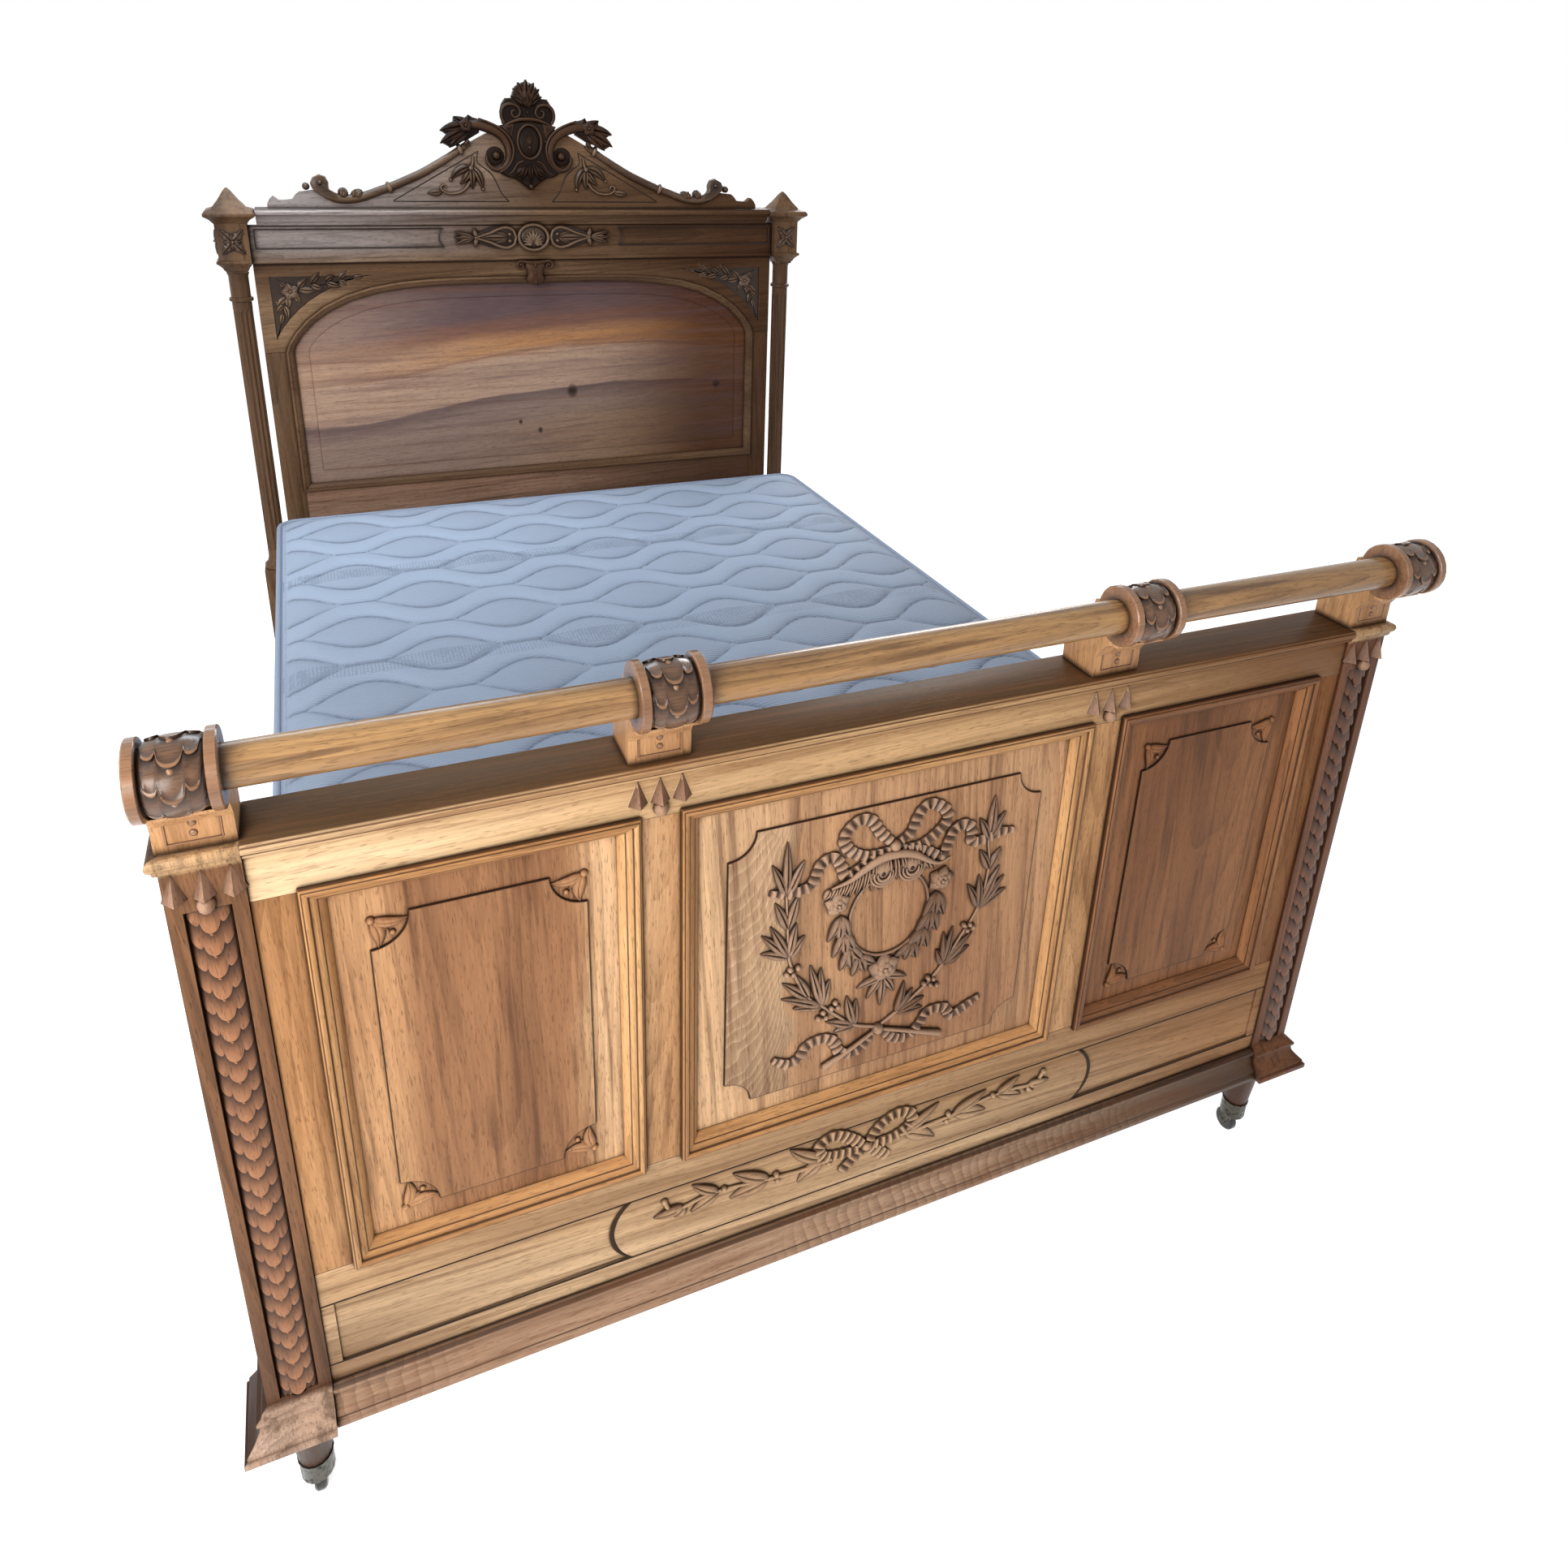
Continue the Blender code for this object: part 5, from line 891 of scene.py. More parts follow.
# Dark strands at the concave ends of the sunk fields paint the shade along their edges.
for side in (-1, 1):
    swag.append(darkened(strand(hollow_end * np.array([side, 1.0, 1.0]), HOLLOW_RADII, flat=0.4)))
carve("rail_swag", seated(swag, rail_face), carved_honey, "walnut_golden")


# Base moulding
# A run of cove and bead moulding nailed along the foot of the bottom rail between the plinths. Its
# wood has a curly figure, short dark ripples across the run, and feet and brooms have worn its edges.
RIPPLE_PITCH = 0.016
RIPPLE_PLUM = colour(0.1, 0.042, 0.026)
BASE_SHADE = colour(0.036, 0.016, 0.01)
base_low, base_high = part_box("foot_base_moulding")
BASE_QUIRKS = (
    (base_high.z - 0.0015, 0.0022), (base_high.z - 0.0085, 0.002), (base_low.z + 0.012, 0.0018),
)


def rippled(start, place, tone):
    """Dark ripples across the run: a sawtooth in x, bent and broken up by noise, strong in patches. The
    run is painted dark towards its right end, as shade, and its quirks are painted dark lines of shade,
    standing partly for old polish."""
    x, _, height = place.axes()
    stir = place.noise(22.0, 2.0)
    patch = place.noise(3.2, 1.0).step(0.4, 0.6)
    ripple = ((x + stir * 0.03) * (1.0 / RIPPLE_PITCH)).alone("FRACT")
    tone = (ripple ** 1.5 * patch * 0.42).mix(tone, RIPPLE_PLUM)
    tone = (x.step(0.12, 0.68) * 0.88).mix(tone, BASE_SHADE)
    for quirk, half in BASE_QUIRKS:
        tone = shade_and_polish_line(tone, height - quirk, half * 0.4, half)
    return tone


BASE_WOOD = (colour(0.62, 0.415, 0.275), colour(0.42, 0.26, 0.165), HONEY_WOOD[2])
dress(["foot_base_moulding"], walnut("base_moulding_walnut", "foot_base_moulding", "x", BASE_WOOD,
                                     figure=0.45, wear=0.5, figured=rippled))


# Posts
# Each post is one timber from its cap to its turned foot. A sunk strip in its front is carved with
# 26 rows of overlapping three-lobed scales, a bead under the middle of each, below a plain crown.
LEFT_POST_WOOD = (colour(0.28, 0.132, 0.06), colour(0.15, 0.064, 0.029), colour(0.04, 0.016, 0.008))
# The right post and its scales are painted darker: painted shade, away from the lamps.
SHADED_RIGHT_POST_WOOD = (colour(0.25, 0.1, 0.048), colour(0.14, 0.053, 0.026), colour(0.04, 0.016, 0.009))
LEFT_SCALE_WOOD = (colour(0.43, 0.19, 0.088), colour(0.205, 0.082, 0.038), colour(0.042, 0.016, 0.009))
PLINTH_BROWN = colour(0.085, 0.039, 0.021)
PLINTH_PALE = colour(0.6, 0.4, 0.285)
PLINTH_TOP = 0.226
POST_SHADE = colour(0.03, 0.014, 0.009)
post_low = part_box("foot_post_left")[0]
STRIP_LOW = 0.2295
STRIP_HIGH = 0.8935
STRIP_HALF = 0.0196
STRIP_ROWS = 26
STRIP_SUNK = 0.0088
STRIP_CROWN = 0.0066
SCALE_LIP = 0.0042
MIDDLE_LOBE = 0.44


def worn_and_shaded_foot(start, place, tone):
    """The post darkens towards its plinth, and its cap is a paler honey. Brooms have worn the front of the
    left plinth pale. Its turned foot and its outer side are painted dark, as shade: the side is where x
    lies nearer the corner than y does."""
    x, y, height = place.axes()
    tone = (height.step(0.934, 0.938) * 0.8).mix(tone, RAIL_WOOD[1])
    right = x.step(-0.3, 0.3)
    left = 1.0 - right
    low_tone = right.mix(PLINTH_BROWN, HONEY_WOOD[2])
    tone = ((1.0 - height.step(0.18, 0.5)) * 0.65).mix(tone, low_tone)
    front = ((x - post_low.x) - (y - post_low.y)).step(-0.001, 0.001)
    above_foot = height.step(base_low.z - 0.004, base_low.z)
    worn = left * front * above_foot * (1.0 - height.step(PLINTH_TOP - 0.004, PLINTH_TOP))
    tone = (worn * 0.85).mix(tone, PLINTH_PALE)
    tone = ((1.0 - above_foot) * 0.6).mix(tone, POST_SHADE)
    return ((1.0 - front) * left * 0.85).mix(tone, POST_SHADE)


def lobes_across(v, full=2.0, side_drop=0.3, tilt=0.5):
    """Three round lobes side by side over -1 to 1, the middle one hanging lower: how far the edge of a
    scale hangs there, in rows, and how far the place is from its lobe's middle, from -1 to 1. The edge
    is a half circle, or a fuller curve, under the middle lobe, and one on a slope under each side lobe."""
    far = np.abs(v)
    side_half = (1.0 - MIDDLE_LOBE) / 2
    inside = np.where(far < MIDDLE_LOBE, far / MIDDLE_LOBE, (far - 1.0 + side_half) / side_half)
    inside = inside.clip(-1.0, 1.0)
    round_edge = (1.0 - np.abs(inside) ** full) ** (1.0 / full)
    slope = 0.25 - 0.5 * tilt + tilt * (1.0 - (far - MIDDLE_LOBE) / (1.0 - MIDDLE_LOBE))
    return np.where(far < MIDDLE_LOBE, 0.5 + 0.5 * round_edge, slope + side_drop * round_edge), inside


def scale_strip(low, high, rows):
    """A crowned strip of scales as one shell, [1, ring, point, (across, up, out, lit)]. Going up, a row
    starts at its lobed lower edge, where it stands a lip above the row beneath, and sinks back to
    nothing where the next row covers it."""
    phase = np.array([0.0, 0.03, 0.1, 0.3, 0.62, 0.985])
    v = np.linspace(-1.0, 1.0, 33)
    drop, inside = lobes_across(v)
    step = (high - low) / rows
    row = np.repeat(np.arange(rows + 2), len(phase))[:, None]
    p = np.tile(phase, rows + 2)[:, None]
    up = (low + (row + p - drop) * step).clip(low, high)
    crown = STRIP_CROWN * (1.0 - v ** 2) ** 0.8 + 0.0004
    vault = 0.45 + 0.55 * np.sqrt(1.0 - 0.95 * inside ** 2)
    out = crown + SCALE_LIP * (1.0 - p) ** 0.8 * vault
    fade = 0.02 + 0.9 * (1.0 - p) ** 0.6
    # The lit value paints a highlight along each lip and shade where the next row covers a scale; the
    # strip's back edges are painted as dark as the ground.
    lit = fade * (0.35 + 0.65 * vault) * (0.35 + 0.65 * np.sqrt(1.0 - 0.98 * v ** 2))
    sheet = stacked(STRIP_HALF * v, up, out, lit)
    back = sheet[:, [-1, 0]].copy()
    back[..., 2] = -0.0004
    back[..., 3] = 0.0
    return np.concatenate([sheet, back], axis=1)[None]


POST_PROUD = 0.003
row_step = (STRIP_HIGH - STRIP_LOW) / STRIP_ROWS
bead_rows = [(0.0, STRIP_LOW + k * row_step - 0.0018, 0.0036, 0.0042, STRIP_CROWN + 0.0046, 0)
             for k in range(1, STRIP_ROWS)]
scales = (scale_strip(STRIP_LOW, STRIP_HIGH, STRIP_ROWS), beads(bead_rows, sink=-STRIP_CROWN))
for word, wood, scale_wood in (
    ("left", LEFT_POST_WOOD, LEFT_SCALE_WOOD), ("right", SHADED_RIGHT_POST_WOOD, SHADED_RIGHT_POST_WOOD),
):
    post = "foot_post_" + word
    dress([post], walnut("post_walnut_" + word, post, "z", wood, ring=0.007, wear=0.5, figured=worn_and_shaded_foot))
    carved_post = walnut("carved_post_walnut_" + word, post, "z", scale_wood, figure=0.3, rough=0.32,
                         coat=0.3, carved=True)
    low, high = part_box("roll_bracket_outer_" + word)
    middle = (low.x + high.x) / 2
    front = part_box("foot_stile_" + word)[0].y - POST_PROUD
    carve("post_scales_" + word, seated(scales, front + STRIP_SUNK, middle), carved_post, "walnut_red",
          sharp=30.0)


# Drops
# Three wedge-shaped drops hang under the cap of each post and under the top rail at each muntin, cut
# from a greyer wood and glued on, with a small ball below the middle one.
DROP_WOOD = (colour(0.46, 0.275, 0.18), colour(0.31, 0.17, 0.105), colour(0.09, 0.04, 0.022))
DROP_PITCH = 0.024
DROP_HIGH = 0.9362
DROP_LOW = 0.9083
DROP_TOP_HALF = 0.001
DROP_FOOT_HALF = 0.0116
DROP_TOP_REACH = 0.0012
DROP_FOOT_REACH = 0.0115
DROP_BALL = 0.0082
drop_wood = walnut("drop_walnut", "foot_top_rail", "z", DROP_WOOD, figure=0.3, carved=True)


def wedge(across):
    """A drop: a three-cornered section with its ridge outward, small at the top and large at the foot.
    Its lit value paints shade on the back edges and a highlight along the ridge."""
    corners = np.array([(-1, 0), (1, 0), (0, 1)], float)
    aside, ridge = corners.T
    half = np.array([[DROP_FOOT_HALF], [DROP_TOP_HALF]])
    up = np.array([[DROP_LOW], [DROP_HIGH]])
    reach = np.array([[DROP_FOOT_REACH], [DROP_TOP_REACH]])
    return stacked(across + half * aside, up, reach * ridge - 0.001 * (1 - ridge), 0.45 + 0.35 * ridge)[None]


# The ball under the middle drop gets a stronger painted highlight.
BALL_LIT = 1.6
drop_sheets = []
post_middle = (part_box("roll_bracket_outer_right")[0].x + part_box("roll_bracket_outer_right")[1].x) / 2
muntin_middle = (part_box("foot_muntin_right")[0].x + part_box("foot_muntin_right")[1].x) / 2
frame_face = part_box("foot_stile_left")[0].y
for middle, face in (
    (-post_middle, frame_face - POST_PROUD), (-muntin_middle, frame_face),
    (muntin_middle, frame_face), (post_middle, frame_face - POST_PROUD),
):
    sheets = [wedge(k * DROP_PITCH) for k in (-1, 0, 1)]
    sheets.append(relit(beads([(0.0, DROP_LOW - 0.0075, DROP_BALL, DROP_BALL * 1.2, 0.0125, 0)]), BALL_LIT))
    drop_sheets += seated(sheets, face, middle)
carve("carved_drops", drop_sheets, drop_wood, "walnut_red", sharp=25.0)


# Roll
# A turned rail of honey walnut carried in front of the top rail. Hands have polished it, so it has
# the footboard's longest highlight, and its pores show as short dark flecks.
ROLL_WOOD = (colour(0.58, 0.33, 0.138), colour(0.4, 0.208, 0.08), colour(0.1, 0.042, 0.017))
dress(["roll_rail"], walnut("roll_walnut", "roll_rail", "x", ROLL_WOOD, ring=0.006, figure=0.7, rough=0.28,
                            coat=0.5),
      edge=0.0)


# Collars
# Four turned collars on the roll, of darker walnut. Between two plain flanges each barrel is carved
# all round with overlapping three-lobed petals, rimmed, with a small drop under each middle lobe.
COLLAR_WOOD = (colour(0.4, 0.205, 0.105), colour(0.17, 0.078, 0.04), colour(0.03, 0.012, 0.007))
COLLAR_ROWS = 7
PETAL_LIP = 0.0024
BARREL_HALF = 0.0222
BARREL_SUNK = 0.006
BARREL_CROWN = 0.0034


def collar(length, radius, bore):
    """A turned collar about the x axis as a closed ring, [1, turn, point, (x, y, z, lit)]. The section
    runs along the outside over flange, groove, barrel, groove and flange, and back along the bore. On
    the barrel the turn of a point is moved by the petals' lobed edges, and each row of petals stands
    a lip above the next, highest along its rim. The petals hang down the side away from the bed."""
    half = length / 2
    v = np.linspace(-1.0, 1.0, 27)
    drop, inside = lobes_across(v, 2.4, 0.45, 0.12)
    flange_x = np.array([half, half, half - 0.0012, half - 0.0088, half - 0.01, half - 0.0104])
    flange_r = np.array([bore, radius - 0.0012, radius, radius, radius - 0.0012, radius - 0.007])
    x = np.concatenate([-flange_x, BARREL_HALF * v, flange_x[::-1]])
    barrel_r = radius - BARREL_SUNK + BARREL_CROWN * (1.0 - v ** 2)
    r = np.concatenate([flange_r, barrel_r, flange_r[::-1]])
    none = np.zeros(6)
    on_barrel = np.concatenate([none, np.ones(27), none])
    drop = np.concatenate([none, drop, none])
    inside = np.concatenate([none, inside, none])
    # Lit values paint highlights on the flanges' rims and along the petals' rims, and shade where the next
    # row covers a petal.
    edge_lit = np.concatenate([[0.5, 0.75, 0.84, 0.84, 0.75, 0.0], np.zeros(27),
                               [0.0, 0.75, 0.84, 0.84, 0.75, 0.5]])
    phase = np.array([0.0, 0.035, 0.1, 0.14, 0.4, 0.7, 0.985])
    height = np.array([1.0, 1.0, 0.95, 0.6, 0.45, 0.25, 0.0])
    shine = np.array([0.45, 0.86, 0.78, 0.36, 0.55, 0.5, 0.06])
    p = np.tile(phase, COLLAR_ROWS)[:, None]
    row = np.repeat(np.arange(COLLAR_ROWS), len(phase))[:, None]
    turn = (row + p - drop) * 2 * np.pi / COLLAR_ROWS
    vault = np.sqrt(1.0 - 0.9 * inside ** 2)
    reach = r + on_barrel * PETAL_LIP * np.tile(height, COLLAR_ROWS)[:, None] * (0.5 + 0.5 * vault)
    lit = np.where(on_barrel > 0.5, np.tile(shine, COLLAR_ROWS)[:, None] * (0.6 + 0.4 * vault), edge_lit)
    return stacked(x, reach * np.sin(turn), reach * np.cos(turn), lit)[None]


petal_drop = beads([(0.0, -0.002, 0.004, 0.005, BARREL_CROWN + 0.0012, 0)], sink=-BARREL_CROWN + 0.0008)
carved_dark = walnut("carved_collar_walnut", "roll_collar_outer_left", "x", COLLAR_WOOD,
                     figure=0.3, rough=0.26, coat=0.6, carved=True)
for side in ("left", "right"):
    for ring in ("inner", "outer"):
        node = f"roll_collar_{ring}_{side}"
        low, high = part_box(node)
        middle = (low + high) / 2
        radius = (high.z - low.z) / 2
        bore = (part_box("roll_rail")[1].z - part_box("roll_rail")[0].z) / 2 + 0.0003
        sheet = collar(high.x - low.x, radius, bore)
        sheet[..., :3] += np.array(middle)
        piece = carve("carved_collar_" + ring + "_" + side, [sheet], carved_dark, "walnut_dark", ring=True)
        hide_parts(node)
        drop_sheets = []
        for turn in np.arange(COLLAR_ROWS) * 2 * np.pi / COLLAR_ROWS:
            outward = np.array((0.0, math.sin(turn), math.cos(turn)))
            spot = np.array(middle) + (radius - BARREL_SUNK) * outward
            drop_sheets.append(seat(petal_drop, spot, out=outward,
                                    up=(0.0, math.cos(turn), -math.sin(turn))))
        carve("collar_drops_" + ring + "_" + side, drop_sheets, carved_dark, "walnut_dark")


# Brackets
# A block under each collar, hollowed to the roll and pegged to the top rail or the post's cap. Its
# front has a sunk line on three sides and two pegs.
PEG_RADIUS = 0.0036
PEG_LEVELS = (0.0165, 0.027)
LINE_RADIUS = 0.0011
LINE_INSET = 0.011
LINE_TOP = 0.036
LINE_FOOT = 0.008
for side in ("left", "right"):
    for ring in ("inner", "outer"):
        node = f"roll_bracket_{ring}_{side}"
        dress([node], walnut(f"bracket_walnut_{ring}_{side}", node, "z", HONEY_WOOD, figure=0.35, wear=0.5))
        low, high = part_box(node)
        middle = (low.x + high.x) / 2
        reach = (high.x - low.x) / 2 - LINE_INSET
        top = low.z + LINE_TOP
        foot = low.z + LINE_FOOT
        line = [(-reach, top, 0.0), (-reach, foot, 0.0), (reach, foot, 0.0), (reach, top, 0.0)]
        cuts = [strand([first, last], (LINE_RADIUS, LINE_RADIUS), around=6, samples=3)
                for first, last in zip(line, line[1:])]
        pegs = beads([(0.0, low.z + up, PEG_RADIUS, PEG_RADIUS, 0.0016, 0) for up in PEG_LEVELS], sink=0.001)
        sheets = seated((*cuts, pegs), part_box("foot_stile_left")[0].y, middle)
        carve(f"bracket_line_{ring}_{side}", sheets, carved_dark, "walnut_dark")


# Headboard frame
# Legs, stiles, the bottom rail and the arched rail, of browner walnut, mortised together. They are
# painted darker than the footboard, partly as shade, with a painted sheen at the upper left and painted
# shade towards the right end. The arched rail's corners have sunk spandrels.
# The headboard's woods are darker than the footboard's: partly browner walnut, partly painted shade where
# less light reaches.
SHADED_HEAD_WOOD = (colour(0.31, 0.182, 0.098), colour(0.165, 0.088, 0.046), colour(0.045, 0.021, 0.011))
HEAD_RAIL_WOOD = (colour(0.48, 0.285, 0.19), colour(0.29, 0.16, 0.105), colour(0.08, 0.038, 0.022))
HEAD_SHADE = colour(0.075, 0.029, 0.013)
# Painted sheen: the grey reflection of the window on the headboard's upper left.
PAINTED_SHEEN = colour(0.47, 0.415, 0.4)


def painted_sheen_and_shade(start, place, tone):
    """The headboard is painted redder and darker towards its right end, as shade away from the window.
    A grey painted sheen, the window's reflection, lies at its upper left."""
    x, _, z = place.axes()
    tone = ((1.0 - x.step(-0.62, 0.1)) * z.step(1.19, 1.25) * 0.72).mix(tone, PAINTED_SHEEN)
    return (x.step(-0.1, 0.65) * 0.78).mix(tone, HEAD_SHADE)


for node, along in (
    ("head_leg_left", "z"), ("head_leg_right", "z"), ("head_stile_left", "z"), ("head_stile_right", "z"),
    ("head_bottom_rail", "x"), ("head_arch_rail", "x"),
):
    wood = HEAD_RAIL_WOOD if node == "head_bottom_rail" else SHADED_HEAD_WOOD
    dress([node], walnut("head_walnut_" + node, node, along, wood, figure=0.5, coat=0.0, shine=0.06,
                         wear=0.3, figured=painted_sheen_and_shade))


# Headboard panel
# One wide board with its grain lying across the bed: dark at the top, orange and honey in the middle
# and smoky below a wavy edge, with a few small knots. A mitred moulding holds it in the arch.
SMOKE = colour(0.35, 0.235, 0.18)
LOW_HONEY = colour(0.44, 0.27, 0.155)
MID_HONEY = colour(0.52, 0.33, 0.225)
ORANGE = colour(0.52, 0.24, 0.095)
RUSSET = colour(0.25, 0.112, 0.07)
PLUM = colour(0.14, 0.086, 0.084)
# Painted shade on the head panel's right side.
SHADE_RED = colour(0.1, 0.032, 0.01)
KNOTS = ((0.094, 0.835, 0.024), (-0.055, 0.755, 0.009), (-0.001, 0.727, 0.011), (0.525, 0.83, 0.018))


def clouded(start, place, tone):
    """Layers that follow the board's wavy edge: the height over that edge, stirred along the grain,
    picks the colour. The upper left is lightened, a painted sheen, and the right side is painted redder
    and darker, as shade. Each knot darkens a spot about it."""
    x, _, z = place.axes()
    along = start.node("ShaderNodeMapping", None, {"Vector": place, "Scale": (2.6, 1.0, 15.0)})
    stir = along.noise(1.0, 3.0) - 0.5
    edge = x.step(-0.65, 0.25) * 0.085 - x.step(0.3, 0.62) * 0.03 + 0.775
    level = z - edge + stir * 0.045
    tone = (x.step(-0.3, 0.3) * (1.0 - level.step(-0.12, -0.03)) * 0.9).mix(SMOKE, LOW_HONEY)
    tone = (level.step(-0.045, -0.004) * 0.65).mix(tone, PLUM)
    tone = level.step(-0.004, 0.003).mix(tone, MID_HONEY)
    tone = (level.step(0.09, 0.125) * (x.step(-0.6, 0.05) * 0.75 + 0.2)).mix(tone, ORANGE)
    tone = ((1.0 - (level - 0.108).alone("ABSOLUTE").step(0.001, 0.006)) * 0.45).mix(tone, RUSSET)
    tone = level.step(0.145, 0.185).mix(tone, RUSSET)
    tone = level.step(0.18, 0.235).mix(tone, PLUM)
    tone = ((1.0 - x.step(-0.62, -0.15)) * level.step(0.06, 0.2) * 0.55).mix(tone, MID_HONEY)
    tone = (x.step(0.12, 0.52) * 0.88).mix(tone, SHADE_RED)
    fine = start.node("ShaderNodeMapping", None, {"Vector": place, "Scale": (1.5, 1.0, 62.0)})
    streak = fine.noise(1.0, 4.0)
    tone = (streak.step(0.5, 0.74) * 0.6).mix(tone, RUSSET)
    for across, up, size in KNOTS:
        far = (x - across) ** 2.0 * 1.6 + (z - up) ** 2.0
        tone = ((1.0 - far.step(0.0, size * size)) * 0.85).mix(tone, SHADE_AND_POLISH)
    return tone


PANEL_WOOD = (MID_HONEY, SMOKE, PLUM)
COLUMN_WOOD = (colour(0.215, 0.116, 0.058), colour(0.11, 0.054, 0.026), colour(0.028, 0.012, 0.006))
dress(["head_panel"], walnut("figured_walnut", "head_panel", "x", PANEL_WOOD, heart=(0.2, 0.06),
                             tilt=(0.05, 0.05), ring=0.03, figure=0.3, coat=0.0, shine=0.05,
                             figured=clouded))
dress(["head_panel_moulding"], walnut("head_moulding_walnut", "head_panel_moulding", "x", COLUMN_WOOD,
                                      figure=0.3, hollow=0.016, wear=0.4), edge=0.0004)


# Spandrel carvings
# In each sunk corner of the arched rail a rosette sends one leafy spray along the top and one down
# the side, with small berries between the leaves.
CARVED_HEAD_WOOD = (colour(0.23, 0.132, 0.074), colour(0.08, 0.04, 0.021), colour(0.014, 0.006, 0.003))
carved_head = walnut("carved_head_walnut", "head_arch_rail", "x", CARVED_HEAD_WOOD,
                     figure=0.25, rough=0.28, coat=0.3, carved=True)
head_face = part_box("head_arch_rail")[0].y
SPANDREL_SUNK = 0.004


def mirrored(sheet):
    """The same carving on the other side of the bed's middle."""
    return sheet * np.array([-1.0, 1.0, 1.0, 1.0])


def branch(points, pairs, length, width, height, spread=34.0, start=0.08):
    """Rows for leaves() in pairs along a smooth stalk, smaller towards its end, with one at the tip."""
    line, _ = smooth(points, 60)
    slope = np.gradient(line, axis=0)
    heading = np.degrees(np.arctan2(slope[:, 1], slope[:, 0]))
    rows = []
    for k in range(pairs):
        t = start + (0.94 - start) * k / pairs
        spot = int(t * 59)
        size = 1.0 - 0.25 * t
        for side in (-1, 1):
            rows.append((line[spot, 0], line[spot, 1],
                         heading[spot] + side * spread * (1.0 + 0.25 * (k % 2)),
                         length * size * (1.0 + 0.15 * side * (-1) ** k), width * size,
                         height * (0.8 + 0.2 * (k % 3)), -side * 28, side * 0.5))
    rows.append((line[-6, 0], line[-6, 1], heading[-6], length * 0.8, width * 0.8, height, 0, 0))
    return rows


spray_along = [(0.59, 1.135), (0.56, 1.146), (0.52, 1.153), (0.48, 1.158), (0.445, 1.163)]
spray_down = [(0.614, 1.118), (0.624, 1.096), (0.631, 1.072)]
spandrel = [
    leaves(branch(spray_along, 4, 0.04, 0.017, 0.008, spread=38.0, start=0.02)),
    leaves(branch(spray_down, 2, 0.034, 0.016, 0.008, spread=34.0, start=0.05)),
    leaves([(0.61, 1.135, 45, 0.036, 0.014, 0.006, 0, 0), (0.6, 1.124, 235, 0.03, 0.014, 0.006, 0, 0)],
           lobes=2),
    leaves(petals(0.606, 1.13, 5, 0.024, 0.021, 0.0095, 0.0, 0.3), vein=0.2),
    beads([(0.606, 1.13, 0.0055, 0.0055, 0.0095, 0), (0.545, 1.16, 0.0035, 0.0035, 0.006, 0),
           (0.515, 1.141, 0.0035, 0.0035, 0.006, 0), (0.505, 1.164, 0.003, 0.003, 0.006, 0),
           (0.47, 1.152, 0.003, 0.003, 0.006, 0), (0.64, 1.104, 0.0035, 0.0035, 0.006, 0)]),
]
ARCH_HALF = 0.6637
ARCH_SPRING = 0.979
ARCH_RISE = 0.208
arch_x = np.linspace(0.6497, 0.4232, 16)
arch_z = ARCH_SPRING + ARCH_RISE * (1.0 - (arch_x / ARCH_HALF) ** 4.5) ** 0.75
ground = [(0.6507, 1.167), (0.6507, 1.0014), *zip(arch_x, arch_z), (0.393, 1.167)]
# A dark plate lines the sunk ground: its outline is painted darkest, as shade along the sunk edge, and the
# ground within is painted dark.
spandrel.append(plate(ground, (0.61, 1.13), [(1.0, -0.002, 0.0), (1.0, 0.0006, 0.0), (0.965, 0.0006, 0.05),
                                             (0.94, 0.0006, 0.3), (0.05, 0.0006, 0.36)]))
for word, turn_over in (("left", mirrored), ("right", np.array)):
    sheets = seated(map(turn_over, spandrel), head_face + SPANDREL_SUNK)
    carve("spandrel_" + word, sheets, carved_head, "walnut_dark")


# Columns
# Two slender turned columns with twelve flutes stand clear of the stiles, between the legs and the
# capitals.
for word in ("left", "right"):
    node = "head_column_" + word
    dress([node], walnut("column_walnut_" + word, node, "z", COLUMN_WOOD, hollow=0.006), edge=0.0)


# Capitals
# A flared moulding, a square block and a spreading cap with a pointed finial, turned and planed from
# one timber. Each open side of the block is carved with four leaves about a bead.
BLOCK_HALF = 0.0355
BLOCK_MIDDLE = 1.254
rosette = [
    leaves([(0.0, BLOCK_MIDDLE, way, 0.0385, 0.023, 0.006, 0, 0) for way in (48, 132, 228, 312)], rings=13,
           lobes=3),
    leaves([(0.0, BLOCK_MIDDLE, way, 0.021, 0.01, 0.005, 0, 0) for way in (0, 90, 180, 270)]),
    beads([(0.0, BLOCK_MIDDLE, 0.0048, 0.0048, 0.0085, 0)]),
]
for word, side in (("left", -1), ("right", 1)):
    node = "head_capital_" + word
    dress([node], walnut("capital_walnut_" + word, node, "z", COLUMN_WOOD, wear=0.3), edge=0.0005)
    low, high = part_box("head_column_" + word)
    middle = (low + high) / 2
    front = (middle.x, middle.y - BLOCK_HALF, 0.0)
    outer = (middle.x + side * BLOCK_HALF, middle.y, 0.0)
    sheets = [seat(sheet, front) for sheet in rosette]
    sheets += [seat(sheet, outer, (0.0, side, 0.0), (side, 0.0, 0.0)) for sheet in rosette]
    carve("capital_rosettes_" + word, sheets, carved_head, "walnut_dark")


# Frieze and cornice
# A board with two sunk fields under a moulded cornice. Between the fields a scallop shell, two hearts
# and their buds are carved and glued on.
def edged(node):
    """The headboard's painted sheen and shade, with dark lines along a board's lower and upper edges:
    painted shade that stands partly for old polish.
    """
    low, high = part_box(node)

    def drawn(start, place, tone):
        z = place.axes()[2]
        tone = painted_sheen_and_shade(start, place, tone)
        for level in (low.z, high.z):
            tone = shade_and_polish_line(tone, z - level, 0.0008, 0.0032, 0.8)
        return tone

    return drawn


